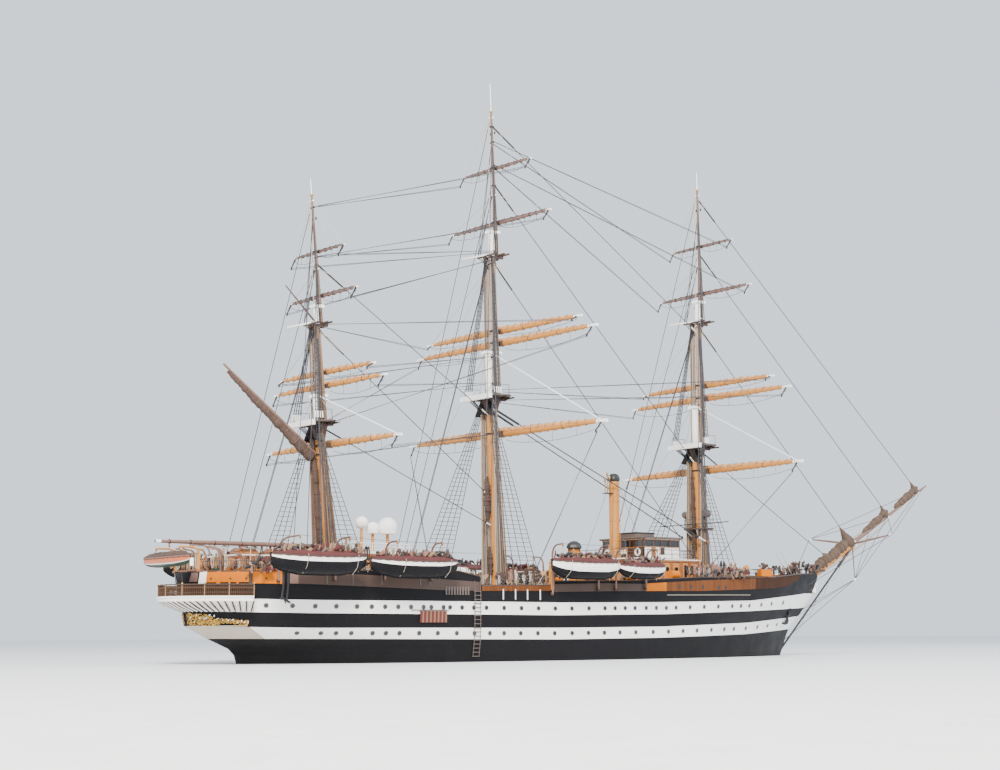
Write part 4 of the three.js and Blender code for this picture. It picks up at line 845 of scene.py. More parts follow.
# upright posts over the strips: station, finish, half width
POSTS = [(-32.74, "dome", 0.18), (-31.85, "ochre", 0.12), (-30.6, "ochre", 0.08), (-29.68, "brown", 0.13),
    (-27.35, "ochre", 0.1), (-27.15, "black", 0.1), (-26.75, "black", 0.1), (-23.4, "faded", 0.05),
    (-21.0, "faded", 0.04), (-18.2, "faded", 0.06), (-14.3, "faded", 0.05), (-13.3, "faded", 0.04)]
for side in SIDES:
    for stations, paint, lower, upper in STRIPS:
        board(hull, side, stations, lower, upper, paint)
    for x, paint, half in POSTS:
        board(hull, side, (x - half, x + half), [(x, 6.7)], [(x, sheer(x) + 0.02)], paint, 0.09)
    # the dark posts above the gallery's forward end, and the rosette they end in on the white band
    for x in (-27.15, -26.75):
        board(hull, side, (x - 0.08, x + 0.08), [(x, 5.4)], [(x, 7.7)], "black", 0.1)
    for k in range(9):
        angle = pi * (0.1 + 1.8 * k / 8)
        x, z = -26.9 + 0.55 * sin(angle), 5.35 - 0.32 * cos(angle * 0.5)
        tube(hull, [(-26.95, side * (half_breadth(-26.95, 5.4) + 0.06), 5.45),
            (x, side * (half_breadth(x, z) + 0.05), z)], [0.09, 0.03], "black", 6)
    for x in (-32.3, -31.1, -30.0, -28.5):
        turned(hull, [(0.08, -0.05), (0.08, 0.1)], "black", (x, side * half_breadth(x, 7.15), 7.15),
               side_normal(x, 7.15, side), 10)
    for line in (2, 3):
        strip(hull, along_side(np.linspace(-33.0, 42.0, 120), edge(line), side, 0.02), 0.05, 0.05, "white")
    for start, end in ((-33.4, -7.8), (-7.6, 0.6), (0.8, 44.6)):
        rail = along_side(np.linspace(start, end, int((end - start) / 0.6) + 2), sheer, side, -0.1)
        strip(hull, np.array(rail) + [0, 0, 0.03], 0.34, 0.1, "brown")

for side in SIDES:
    y = side * (half_breadth(0.6, 7.5) - 0.05)
    box(hull, (0.38, 0.8), (min(y - 0.2, y + 0.2), max(y - 0.2, y + 0.2)), (6.5, 9.1), "buff", edge=0.05)

# %% Portholes
UPPER_PORTS = [-31.0, -29.65, -28.26, -26.17, -24.26, -22.4, -20.5, -19.1, -17.8, -16.5, -15.2, -13.9, -13.1,
    -11.8, -11.1, -9.8, -8.5, -7.1, -5.1, -3.1, -1.1, 0.9, 2.9, 5.0, 7.0, 8.3, 9.6, 10.9, 12.4, 13.8, 15.2,
    16.6, 18.7, 20.9, 23.2, 25.6, 27.2, 28.8, 31.2, 33.4, 36.1]
LOWER_PORTS = [-25.19, -23.24, -21.96, -20.63, -18.7, -17.45, -16.15, -14.2, -12.3, -10.3, -8.4, -6.7, -5.1,
    -3.2, -1.2, 0.8, 2.9, 4.9, 6.9, 8.9, 11.0, 13.4, 15.6, 17.8, 20.0, 22.4, 24.7,
    26.5, 28.9, 31.4, 33.8, 36.2]


def porthole(shape, at, normal, radius=0.17, rim="steel"):
    at = np.asarray(at, float)
    turned(shape, [(radius * 1.3, -0.1), (radius * 1.3, 0.03), (radius, 0.045)], rim, at, normal, 14)
    turned(shape, [(radius, 0.03), (radius, 0.052)], "glass", at, normal, 14)


for side in SIDES:
    for ports, line in ((UPPER_PORTS, 2), (LOWER_PORTS, 0)):
        for x in ports:
            z = (band_edge(x, line) + band_edge(x, line + 1)) / 2 + 0.03
            porthole(hull, (x, side * half_breadth(x, z), z), side_normal(x, z, side))
hull.piece("hull_skin", replaces=["hull"], slot="hull_paint")

# %% [markdown]
# ## Masts
# Each mast is three spars, one above the other: a heavy lower mast of steel, the topmast stepped ahead of
# its head, and the topgallant mast ahead of that. Where two spars overlap is a doubling, with a platform
# at its foot and a cap at its head. The lower masts are buff, the doublings white, and the upper spars
# reddish brown. Everything on a mast is made in the mast's own frame, whose z axis leans with it.

# %% The three masts
DATUM = 8.0                   # the height at which a mast's own frame begins
TOP_SPREAD, TREE_SPREAD = 5.6, 4.4     # half widths of the top and crosstrees, in radii of the spar
MASTS = {
    "fore": Mast(x=27.2, rake=0.015, top=22.2, cap=26.4, trees=35.7, head=38.0, truck=50.47, pole=52.5,
        lower=0.45, topmast=0.37, gallant=0.23, step=0.85, up_step=0.52, deck=7.57),
    "main": Mast(x=0.0, rake=0.04, top=25.3, cap=29.7, trees=39.4, head=41.8, truck=54.1, pole=57.0,
        lower=0.45, topmast=0.37, gallant=0.23, step=0.85, up_step=0.55, deck=5.8),
    "mizzen": Mast(x=-18.96, rake=0.0956, top=21.5, cap=23.9, trees=30.5, head=32.1, truck=42.42, pole=43.9,
        lower=0.38, topmast=0.31, gallant=0.2, step=0.65, up_step=0.42, deck=7.1),
}
MAST_NODE = {"fore": "foremast", "main": "mainmast", "mizzen": "mizzenmast"}


def mast_frame(mast):
    lean = atan(mast.rake)
    return np.array(Matrix.Translation((mast.x, 0, DATUM)) @ Matrix.Rotation(-lean, 4, "Y"))


def on_mast(mast, z, forward=0.0, y=0.0):
    return vec(mast.x - mast.rake * (z - DATUM) + forward, y, z)


def spar_forward(mast, z):
    """How far ahead of the lower mast the spar is at a height, and its radius there."""
    if z < mast.cap:
        return 0.0, mast.lower
    if z < mast.head:
        return mast.step, mast.topmast
    return mast.step + mast.up_step, mast.gallant * (0.8 if z > mast.trees + 5.2 else 1)


def gallant_hounds(mast):
    """Where the topgallant shrouds and lifts meet the mast."""
    return mast.trees + (mast.truck - mast.trees) * 0.42


def up(z):
    return z - DATUM


def hoops_on(shape, forward, radius, low, high, gap, finish):
    for z in np.arange(low, high, gap):
        turned(shape, [(radius, -0.06), (radius + 0.035, -0.05), (radius + 0.035, 0.05), (radius, 0.06)],
            finish, (forward, 0, up(z)), sides=24)


def raise_mast(mast):
    shape = Shape()
    shape.frame = mast_frame(mast)
    lower, topmast, gallant = mast.lower, mast.topmast, mast.gallant
    top, cap, trees, head, truck = mast.top, mast.cap, mast.trees, mast.head, mast.truck
    ahead, further = mast.step, mast.step + mast.up_step

    def spar(profile, finish, forward=0.0, sides=24):
        turned(shape, [(r, up(z)) for r, z in profile], finish, (forward, 0, 0), sides=sides)

    def timber(x, y, z, finish, edge):
        box(shape, x, y, (up(z[0]), up(z[1])), finish, edge=edge)

    # the lower mast, with its coat at the deck, then its white head
    foot = mast.deck
    spar([(0, foot), (lower * 1.25, foot), (lower * 1.2, foot + 0.45), (lower, foot + 0.7), (lower, top - 3),
          (lower * 0.92, top - 0.3), (0, top - 0.3)], "buff", sides=28)
    spar([(0, top - 0.32), (lower * 0.9, top - 0.32), (lower * 0.82, cap), (0, cap)], "white")
    hoops_on(shape, 0, lower * 0.98, mast.deck + 2.2, top - 3.2, 2.9, "buff")
    # the topmast
    spar([(0, top - 0.5), (topmast, top - 0.5), (topmast, cap + 0.4), (0, cap + 0.4)], "mast_brown", ahead)
    spar([(topmast, cap + 0.4), (topmast * 0.9, trees - 0.4)], "mast_tan", ahead)
    spar([(topmast * 0.9, trees - 0.42), (topmast * 0.8, head)], "white", ahead)
    hoops_on(shape, ahead, topmast * 0.95, cap + 2.0, trees - 1.5, 2.4, "mast_tan")
    # the topgallant and royal mast, in one spar, with its pole and truck
    spar([(gallant, trees - 0.4), (gallant, head + 0.3)], "brown", further, 20)
    spar([(gallant, head + 0.3), (gallant * 0.85, trees + 5.0), (gallant * 0.72, trees + 6),
        (gallant * 0.45, truck)], "mast_brown", further, 20)
    spar([(0.05, truck), (0.04, mast.pole)], "white", further, 8)
    turned(shape, [(0.06, -0.1), (0.16, -0.06), (0.18, 0.0), (0.15, 0.08), (0.04, 0.12)], "gilt",
           (further, 0, up(truck)), sides=16)
    hoops_on(shape, further, gallant * 0.95, head + 1.5, trees + 5, 2.6, "mast_brown")
    # the top: a platform on trestles, rounded ahead, with a white batten across its after edge
    half, aft, fore = lower * TOP_SPREAD, -1.6, ahead + 0.75
    curve = [(aft, 0.0), (aft, 0.84), (aft + 0.12, 0.92), (fore - 1.5, 1.0), (fore - 1.0, 0.93),
        (fore - 0.6, 0.78), (fore - 0.25, 0.54), (fore - 0.02, 0.25), (fore, 0.0)]
    port = [(x, y * half) for x, y in curve]
    outline = port + [(x, -y) for x, y in port[-2:0:-1]]
    plate(shape, outline, up(top - 0.1), up(top + 0.02), "brown")
    rim = [(x, y, up(top)) for x, y in outline]
    tube(shape, rim + rim[:2], 0.07, "faded", 6, caps=False)
    timber((aft - 0.3, aft + 0.1), (-half * 0.95, half * 0.95), (top - 0.34, top + 0.16), "white", 0.03)
    # the dark cheeks under the top, wrapped in the shrouds' eyes
    spar([(lower * 0.9, top - 2.1), (lower * 1.5, top - 1.2), (lower * 2.1, top - 0.3),
        (lower * 2.1, top - 0.12)], "brown", 0.1, 14)
    for y in (-lower - 0.12, lower + 0.12):
        timber((aft + 0.1, fore - 0.1), about(y, 0.1), (top - 0.4, top - 0.1), "brown", 0.03)
    for x in (-1.1, -0.62, 0.42, ahead + 0.55):
        timber(about(x, 0.08), (-half * 0.8, half * 0.8), (top - 0.26, top - 0.1), "brown", 0.03)
    for side in SIDES:
        y, rail = side * (half - 0.2), up(top + 1.0)
        for x in (-1.3, ahead - 0.3):
            tube(shape, [(x, y, up(top)), (x, y, rail)], 0.03, "wire", 6)
        tube(shape, [(-1.3, y, rail), (ahead - 0.3, y, rail)], 0.025, "wire", 6)
    # caps
    for z, first, second, wide in ((cap, lower, topmast, ahead), (head, topmast, gallant, mast.up_step)):
        x = 0 if z == cap else ahead
        timber((x - first - 0.1, x + wide + second + 0.14), (-first - 0.06, first + 0.06),
            about(z, 0.16), "white", 0.06)
    # crosstrees, with the white outriggers that spread the topgallant backstays
    reach = topmast * TREE_SPREAD
    for x in (ahead - 0.55, ahead + 0.32, ahead + mast.up_step + 0.35):
        timber(about(x, 0.08), (-reach, reach), about(trees, 0.08), "brown", 0.02)
    for y in (-topmast - 0.06, topmast + 0.06):
        timber((ahead - 0.75, further + 0.5), about(y, 0.08), (trees - 0.34, trees - 0.06), "brown", 0.02)
    for side in SIDES:
        tube(shape, [(ahead - 0.4, side * 0.3, up(trees + 0.12)),
            (ahead - 1.9, side * topmast * 6.6, up(trees - 0.05))], [0.09, 0.05], "white", 8)
    # blocks under the heads
    for z in (cap - 0.7, head - 0.6, truck - 2.2):
        forward, radius = spar_forward(mast, z)
        for side in SIDES:
            ball(shape, (forward + 0.1, side * (radius + 0.14), up(z)), 0.13, "black", 8, (0.6, 0.8, 1.3))
    return shape


mast_shapes = {name: raise_mast(mast) for name, mast in MASTS.items()}

# %% [markdown]
# ## What stands and hangs on the masts
# A platform half-way up the foremast carries two searchlights. Under it a beam spreads the two legs of the
# mainstay. Behind each mast hangs brailed canvas in long bundles, lashed every metre.

# %% Searchlights, stay beam and brailed trysails
PLATFORM_Z, PLATFORM_R = 13.4, 1.6
fore = mast_shapes["fore"]
turned(fore, [(0.4, -0.2), (PLATFORM_R, -0.1), (PLATFORM_R, 0.06), (0.4, 0.06)], "brown",
    (0, 0, up(PLATFORM_Z)), sides=28)
for angle in np.linspace(0, 2 * pi, 12, endpoint=False):
    foot = vec(cos(angle), sin(angle), 0) * (PLATFORM_R - 0.05) + [0, 0, up(PLATFORM_Z)]
    tube(fore, [foot, foot + [0, 0, 0.95]], 0.018, "wire", 6)
for rise in (0.5, 0.95):
    hoop(fore, (0, 0, up(PLATFORM_Z) + rise), (0, 0, 1), PLATFORM_R - 0.05, 0.02, "wire", 28)
for side in SIDES:
    x, y, z = -0.25, side * 1.5 + 0.12, up(PLATFORM_Z) + 0.45
    tube(fore, [(x, y, z - 0.45), (x, y, z + 0.8)], 0.12, "faded", 8)
    turned(fore, [(0.30, -0.36), (0.38, -0.2), (0.4, 0.2), (0.42, 0.34), (0.42, 0.38), (0.36, 0.38)], "faded",
           (x, y, z + 1.1), (1, 0, 0), 20)
    turned(fore, [(0.36, 0.36), (0.34, 0.42)], "lamp_glass", (x, y, z + 1.1), (1, 0, 0), 20)
for angle in (0.6, 2.5, 3.8, 5.6):
    out = vec(cos(angle), sin(angle), 0)
    plank(fore, out * 0.45 + [0, 0, up(PLATFORM_Z - 1.1)],
        out * 1.45 + [0, 0, up(PLATFORM_Z - 0.1)], 0.08, 0.1, "white")
box(fore, (-0.2, 0.2), (-1.45, 1.45), (up(11.84), up(12.16)), "buff", edge=0.05)
tube(fore, [(-0.75, -5.2, up(13.9)), (-0.6, 0, up(13.9)), (-0.75, 5.2, up(13.9))], 0.05, "wire", 6)

# mast, foot and head of the bundle, its thickest radius
BRAILED = [("fore", 9.6, 19.5, 0.26), ("main", 7.8, 10.8, 0.26), ("main", 13.4, 17.6, 0.34),
    ("mizzen", 9.0, 20.0, 0.3)]
for name, low, high, full in BRAILED:
    mast, shape = MASTS[name], mast_shapes[name]
    path, radii = [], []
    for t in np.linspace(0, 1, 40):
        radii.append(max(full * sin(pi * (0.06 + 0.9 * t)) ** 0.5 * (1 + 0.12 * RNG.standard_normal()), 0.07))
        path.append((-mast.lower - 0.1 - full * 0.6, 0.04 * sin(t * 23), up(low + (high - low) * t)))
    tube(shape, path, radii, "brailed", 10)
    for z in np.arange(low + 0.8, high - 0.5, 1.05):
        hoop(shape, (-mast.lower - 0.1 - full * 0.6, 0, up(z)), (0, 0, 1), full, 0.025, "brown", 14, 5)


def running_ropes(shape, foot, head, count, paints):
    """Halyards, clewlines and buntlines on both sides of a spar, between the rows of points foot and head."""
    (foot_x, foot_y, low), (head_x, head_y, high) = foot, head
    for side in SIDES:
        for t in np.linspace(0, 1, count):
            start = (foot_x[0] + (foot_x[1] - foot_x[0]) * t, side * foot_y, up(low))
            finish_at = (head_x[0] + (head_x[1] - head_x[0]) * t, side * (head_y + 0.22 * t), up(high))
            paint = paints[int(RNG.integers(len(paints)))]
            rope(shape, start, finish_at, 0.02 + 0.02 * RNG.random(), paint)


# the ropes stand beside the spars and a little abaft them, clear of the yards' trusses when they swing
DARK_ROPES = ("brailed", "net", "tan_rope", "brown")
for name, mast in MASTS.items():
    shape, ahead, top, trees = mast_shapes[name], mast.step, mast.top, mast.trees
    lower, topmast = mast.lower, mast.topmast
    paints = DARK_ROPES if name == "mizzen" else ("light_rope", "tan_rope", "faded", "brown", "tan_rope")
    foot, head = ((0.5, -0.9), 1.15, mast.deck + 1.1), ((0.12, -0.4), lower + 0.33, top - 0.3)
    running_ropes(shape, foot, head, 22, paints)
    foot = (ahead - 0.1, ahead - 0.9), topmast + 0.3, top + 0.1
    head = (ahead - 0.05, ahead - 0.45), topmast + 0.17, trees - 0.3
    running_ropes(shape, foot, head, 9, paints)
    further, halyard_head = ahead + mast.up_step, up(mast.truck - 0.2)
    rope(shape, (ahead - 0.5, 0.15, up(top + 0.4)), (ahead + 0.25, 0.1, halyard_head), 0.035, "light_rope")
    rope(shape, (ahead + 0.2, -0.5, up(trees + 0.1)), (further, -0.1, up(mast.truck - 1.6)), 0.03, "tan_rope")
# a small signal gaff abaft the mizzen's crosstrees
peak = (MASTS["mizzen"].step - 2.9, 0.2, up(34.0))
tube(mast_shapes["mizzen"], [(MASTS["mizzen"].step - 0.2, 0, up(30.7)), peak], [0.09, 0.05], "brown", 8)
for name, shape in mast_shapes.items():
    shape.piece(f"{name}_mast_spars", replaces=[MAST_NODE[name]], slot="buff_paint")

# %% [markdown]
# ## Yards and furled sails
# A square sail is furled on top of its yard: gathered to the jackstay and lashed with gaskets about every
# metre. The roll is thickest at the middle, where the bunt is stowed, and lumpy where the lashings nip
# it. The lower yards are buff with tan canvas, the topgallant and royal yards dark brown with dark canvas.
# Below each yard hangs its footrope on stirrups, and each arm carries a white tip and a pendant.

# %% The table of yards
# mast, yard, height, half length, how far ahead of its spar, radius, radius of the canvas, braced (degrees)
YARDS = [
    ("fore", "course", 19.61, 13.8, 1.7, 0.3, 0.33, -1.4),
    ("fore", "lower_topsail", 27.45, 12.23, 1.06, 0.26, 0.28, -0.4),
    ("fore", "upper_topsail", 28.83, 9.91, 0.93, 0.24, 0.28, 0.5),
    ("fore", "topgallant", 38.97, 7.15, 0.52, 0.17, 0.15, 0),
    ("fore", "royal", 44.22, 4.72, 0.42, 0.13, 0.11, 0),
    ("main", "course", 21.73, 14.37, 1.45, 0.31, 0.34, 4.3),
    ("main", "lower_topsail", 30.7, 13.6, 0.92, 0.27, 0.28, 2.9),
    ("main", "upper_topsail", 31.89, 11.47, 0.82, 0.25, 0.28, 3.8),
    ("main", "topgallant", 42.82, 7.59, 0.52, 0.18, 0.16, 4),
    ("main", "royal", 48.36, 5.19, 0.42, 0.14, 0.12, 4.4),
    ("mizzen", "course", 19.39, 10.76, 1.25, 0.24, 0.25, 2.2),
    ("mizzen", "lower_topsail", 24.82, 8.82, 0.77, 0.21, 0.22, 3.4),
    ("mizzen", "upper_topsail", 26.02, 7.41, 0.68, 0.19, 0.22, 3.4),
    ("mizzen", "topgallant", 33.07, 5.57, 0.44, 0.14, 0.13, 2.3),
    ("mizzen", "royal", 37.16, 4.03, 0.37, 0.11, 0.1, 3.2),
]
# part of the half length, part of the radius
SPAR_TAPER = np.array([(0, 1), (0.5, 0.88), (0.9, 0.55), (1, 0.42)])


def yard_frame(name, z, braced):
    mast = MASTS[name]
    forward, _ = spar_forward(mast, z)
    place = Matrix.Translation((forward, 0, up(z))) @ Matrix.Rotation(radians(braced), 4, "Z")
    return mast_frame(mast) @ np.array(place)


def rig_yard(name, kind, z, half, ahead, radius, sail, braced):
    shape = Shape()
    shape.frame = yard_frame(name, z, braced)
    light = kind in ("topgallant", "royal")
    spar_paint, canvas = ("mast_brown", "dark_canvas") if light else ("buff", "canvas")

    def at(y, x=0.0, rise=0.0):
        return ahead + x, y, rise

    def thick(y):
        return radius * np.interp(abs(y) / half, SPAR_TAPER[:, 0], SPAR_TAPER[:, 1])

    y = np.concatenate([-half * np.array([0.93, 0.7, 0.5, 0.25]), [0],
        half * np.array([0.25, 0.5, 0.7, 0.93])])
    tube(shape, [at(s) for s in y], [thick(s) for s in y], spar_paint, 16)
    for side in SIDES:
        tube(shape, [at(side * half * 0.91), at(side * half)],
            [thick(0.9 * half) * 1.15, thick(half) * 1.2], "dome", 14)
        hoop(shape, at(side * half * 0.93), (0, 1, 0), thick(0.93 * half) + 0.01, 0.035, "black", 14)
        for part in (0.3, 0.6):
            hoop(shape, at(side * half * part), (0, 1, 0), thick(part * half) + 0.01, 0.03, "black", 14)
    # the truss or parrel that holds the yard to its spar
    _, mast_radius = spar_forward(MASTS[name], z)
    hoop(shape, (0, 0, 0), (0, 0, 1), mast_radius + 0.09, 0.07, "black", 20)
    for y in (-0.16, 0.16):
        plank(shape, (mast_radius, y, 0), (ahead - thick(0) * 0.5, y, 0), 0.1, 0.14, "black")
    box(shape, (mast_radius * 0.9, ahead), (-radius * 1.6, radius * 1.6),
        (-radius * 0.9, radius * 0.7), "brown", edge=0.05)
    # the jackstay, and the furled sail lashed to it
    tube(shape, [at(-half * 0.9, rise=thick(0.9 * half) + 0.06), at(0, rise=radius + 0.06),
        at(half * 0.9, rise=thick(0.9 * half) + 0.06)], 0.03, "steel", 6)
    count = int(half * 2 / 0.26)
    spans = np.linspace(-0.89, 0.89, count)
    gaps = 1.05 if not light else 0.9
    rings, around = [], 12
    spin = np.linspace(0, 2 * pi, around, endpoint=False)
    for t in spans:
        y = t * half
        full = sail * (1 - abs(t) ** 2.2) ** 0.5 * (1 + 0.25 * exp(-(t / 0.12) ** 2))
        nip = 1 - 0.24 * max(0, cos(2 * pi * y / gaps)) ** 3
        size = max(full * nip, 0.04)
        base = thick(y) * 0.4
        wobble = 1 + 0.09 * RNG.standard_normal(around)
        lean = 0.35 * size
        rings.append([at(y, lean + size * 1.12 * w * cos(a), base + size * (0.55 + 0.75 * w * sin(a)))
            for a, w in zip(spin, wobble)])
    skin(shape, rings, canvas)
    for y in np.arange(-int(half * 0.86 / gaps), int(half * 0.86 / gaps) + 1) * gaps:
        t = y / half
        full = sail * (1 - abs(t) ** 2.2) ** 0.5
        across, rise = full * 0.86 + 0.05, (full * 1.25 + thick(y) * 1.4) / 2
        spin = np.linspace(0, 2 * pi, 13)
        path = [at(y, 0.25 * full + (across + 0.03) * cos(a), rise - thick(y) * 0.95 + (rise + 0.04) * sin(a))
            for a in spin]
        tube(shape, path, 0.035, "tan_rope" if not light else "wire", 5, caps=False)
    # footropes and stirrups
    drop = {"upper_topsail": 0.45, "topgallant": 0.7, "royal": 0.7}.get(kind, 0.95)
    hang = 0.3 if kind == "upper_topsail" else 0.85
    for side in SIDES:
        points = []
        for t in np.linspace(0.04, 0.95, 13):
            sink = drop * sin(pi * min(max((t - 0.02) / 0.95, 0), 1)) ** 0.45
            points.append(at(side * half * t, -thick(t * half) * 0.4, -thick(t * half) - sink))
        tube(shape, points, 0.022, "wire", 5)
        for k in (3, 6, 9):
            foot = points[k]
            tube(shape, [(foot[0], foot[1], foot[2]), (foot[0] + 0.1, foot[1], 0)], 0.016, "wire", 5)
        # brace pendant, hanging from the arm
        tip = at(side * half * 0.95)
        tube(shape, [tip, (tip[0] - 0.55, tip[1] * 0.985, -hang)], [0.1, 0.06], "black", 6)
        ball(shape, (tip[0] - 0.6, tip[1] * 0.983, -hang - 0.1), 0.13, "black", 8, (0.7, 0.6, 1.3))
    node_name = f"{name}_{kind}_yard"
    shape.piece(f"{name}_{kind}_rigged", node_name, [node_name], slot="tan_canvas")


for row in YARDS:
    rig_yard(*row)

# %% [markdown]
# ## Shrouds and ratlines
# Wire shrouds hold each mast sideways and from behind. The lower ones run from the rail to the hounds
# under the top, set up on rigging screws below a sheer pole, and crossed by ratlines that the hands climb.
# Futtock shrouds carry the pull of the topmast shrouds round the edge of the top to the mast below it.

# %% Set up the standing rigging of each side
FORE_MAIN_FEET, MIZZEN_FEET = [0.6, 1.6, 2.6, 3.6, 4.6], [0.6, 1.5, 2.4, 3.3]
# how far aft the foot is, the height on the mast, and how often the wire is doubled
BACKSTAYS = {
    "fore": [(5.6, 35, 2), (6.4, 43, 1), (7.1, 49.3, 1)],
    "main": [(5.6, 38.7, 2), (6.5, 46.5, 1), (7.3, 53, 1)],
    "mizzen": [(4.9, 29.8, 2), (6.2, 35.8, 1), (7.4, 41, 1)],
}
RATLINE_GAP, WIRE, RATLINE = 0.42, 0.05, 0.024


def rail_point(x, side, inside=0.11):
    return vec(x, side * (half_breadth(x, sheer(x)) - inside), sheer(x) + 0.1)


def ladder(shape, feet, heads, low, high):
    """Ratlines between the outer two of a set of shrouds, caught on every shroud between them."""
    feet, heads = np.array(feet), np.array(heads)
    for z in np.arange(low, high, RATLINE_GAP):
        part = ((z - feet[:, 2]) / (heads[:, 2] - feet[:, 2]))[:, None]
        across = feet + (heads - feet) * part
        tube(shape, across, RATLINE, "wire", 4, caps=False)


def screw(shape, foot, head):
    """A rigging screw and its chain plate, from the rail towards the head of the wire."""
    along = unit(head - foot)
    tube(shape, [foot - along * 0.25, foot + along * 0.1], 0.05, "steel", 6)
    tube(shape, [foot + along * 0.1, foot + along * 0.85], 0.05, "steel", 8)
    ball(shape, foot + along * 0.95, 0.045, "black", 8)


for name, mast in MASTS.items():
    for side, side_name in SIDES.items():
        shape = Shape()
        aft_feet = MIZZEN_FEET if name == "mizzen" else FORE_MAIN_FEET
        lower, top, trees = mast.lower, mast.top, mast.trees
        feet = [rail_point(mast.x - aft, side) for aft in aft_feet]
        heads = [on_mast(mast, top - 0.4, -0.35 - 0.08 * i, side * (lower + 0.12))
            for i in range(len(aft_feet))]
        for foot, top_end in zip(feet, heads):
            rope(shape, foot, top_end, 0.034)
            screw(shape, foot, top_end)
            along = unit(top_end - foot)
            tube(shape, [top_end - along * 1.6, top_end], WIRE * 1.6, "black", 6)
        pole = [f + unit(h - f) * 1.25 for f, h in zip(feet, heads)]
        tube(shape, [pole[0], pole[-1]], 0.045, "light_rope", 6)
        ladder(shape, feet, heads, feet[0][2] + 1.8, top - 2.4)
        # futtock shrouds, and the topmast shrouds above them
        edge_y, reach = lower * TOP_SPREAD - 0.12, mast.topmast * TREE_SPREAD
        ahead = mast.step
        edges = [on_mast(mast, top + 0.12, x, side * edge_y)
            for x in ahead - np.array([1.35, 1.6, 1.85, 2.1])]
        hounds = [on_mast(mast, trees - 0.4, ahead - 0.25 - 0.08 * i, side * (mast.topmast + 0.16))
            for i in range(4)]
        for i, (foot, top_end) in enumerate(zip(edges, hounds)):
            rope(shape, foot, top_end, WIRE * 0.85)
            rope(shape, on_mast(mast, top - 1.7, -0.15 - 0.1 * i, side * (lower + 0.05)), foot, WIRE * 0.8)
            along = unit(top_end - foot)
            tube(shape, [foot, foot + along * 0.6], 0.055, "white", 6)
        ladder(shape, edges, hounds, top + 1.1, trees - 1.6)
        # topgallant shrouds from the crosstrees
        further = ahead + mast.up_step
        horns = [on_mast(mast, trees + 0.08, ahead - 0.55, side * (reach - inside)) for inside in (0.06, 0.4)]
        gallant_head = gallant_hounds(mast)
        for i, horn in enumerate(horns):
            top_end = on_mast(mast, gallant_head, further - 0.06 - 0.1 * i, side * mast.gallant)
            rope(shape, horn, top_end, WIRE * 0.7)
            rope(shape, horn, on_mast(mast, trees - 1.4, ahead - 0.1 * i, side * mast.topmast * 0.9),
                WIRE * 0.7)
            rope(shape, horn, on_mast(mast, trees + (mast.truck - trees) * 0.8, further, side * 0.05),
                WIRE * 0.6)
        # backstays, the topmast's doubled, the upper ones spread by the crosstrees' horns
        for aft, z, wires in BACKSTAYS[name]:
            forward, radius = spar_forward(mast, z)
            for k in range(wires):
                foot = rail_point(mast.x - aft + 0.15 * k, side)
                top_end = on_mast(mast, z - 0.15 * k, forward - radius * 0.6, side * (radius + 0.05))
                rope(shape, foot, top_end, 0.034)
                screw(shape, foot, top_end)
        # coils of running rope hung in a row inside the rail
        before, beyond = (0.6, 4.2) if name == "main" else (4.0, 0.5)
        for x in np.arange(feet[-1][0] - before, feet[0][0] + beyond, 0.24):
            foot = rail_point(x, side, 0.3)
            long = 0.3 + 0.4 * RNG.random() ** 2 + (0.25 if name == "mizzen" else 0)
            centre = foot + [0, 0, long + (0.6 if name == "mizzen" else 0.1) + 0.25 * RNG.random()]
            paint = ("light_rope", "brown", "tan_rope", "black", "brown", "net")[int(RNG.integers(6))]
            coil(shape, centre, 0.04, long, 0.065, paint)
        # pins and coils along the rail inside the shrouds
        start, end = mast.x - aft_feet[-1] - 3.6, mast.x + 0.3
        rack = [rail_point(x, side, 0.42) - [0, 0, 0.35] for x in np.linspace(start, end, 8)]
        strip(shape, rack, 0.22, 0.1, "teak")
        for x in np.linspace(start + 0.2, end - 0.2, 11):
            pin = rail_point(x, side, 0.42) - [0, 0, 0.35]
            tube(shape, [pin - [0, 0, 0.3], pin, pin + [0, 0, 0.3]], [0.03, 0.035, 0.045], "teak", 6)
            hoop(shape, pin - [0, side * 0.08, 0.35], (1, 0, 0), 0.16, 0.06, "light_rope", 10, 5)
        shape.piece(f"{name}_rigging_{side_name}", replaces=[f"{name}_shrouds_{side_name}"], slot="rigging")

# %% [markdown]
# ## Stays
# The stays hold each mast forward. The mainstay is doubled to pass each side of the foremast. Wire this
# heavy is served with dark tape near its ends, and seized round the mast it leaves.

# %% Stays between the masts
# node, mast, height on the mast, station and height of the foot
MID_STAYS = [
    ("main_topmast_stay", "main", 38.6, 27.15, 9.4),
    ("main_topgallant_stay", "main", 46.6, 26.9, 20.2),
    ("main_royal_stay", "main", 52.6, 27.6, 34.5),
    ("mizzen_stay", "mizzen", 21.05, -0.1, 12.6),
    ("mizzen_topmast_stay", "mizzen", 29.8, -0.5, 15.4),
    ("mizzen_topgallant_stay", "mizzen", 35.9, -0.7, 23.4),
]


def stay(shape, start, end, radius=0.042):
    start, end = np.asarray(start, float), np.asarray(end, float)
    along = unit(end - start)
    rope(shape, start, end, radius)
    tube(shape, [start + along * 0.1, start + along * 3.2], radius * 1.9, "black", 6)
    tube(shape, [end - along * 1.2, end - along * 0.15], radius * 1.7, "white", 6)
    ball(shape, end - along * 1.3, radius * 2.4, "black", 8)


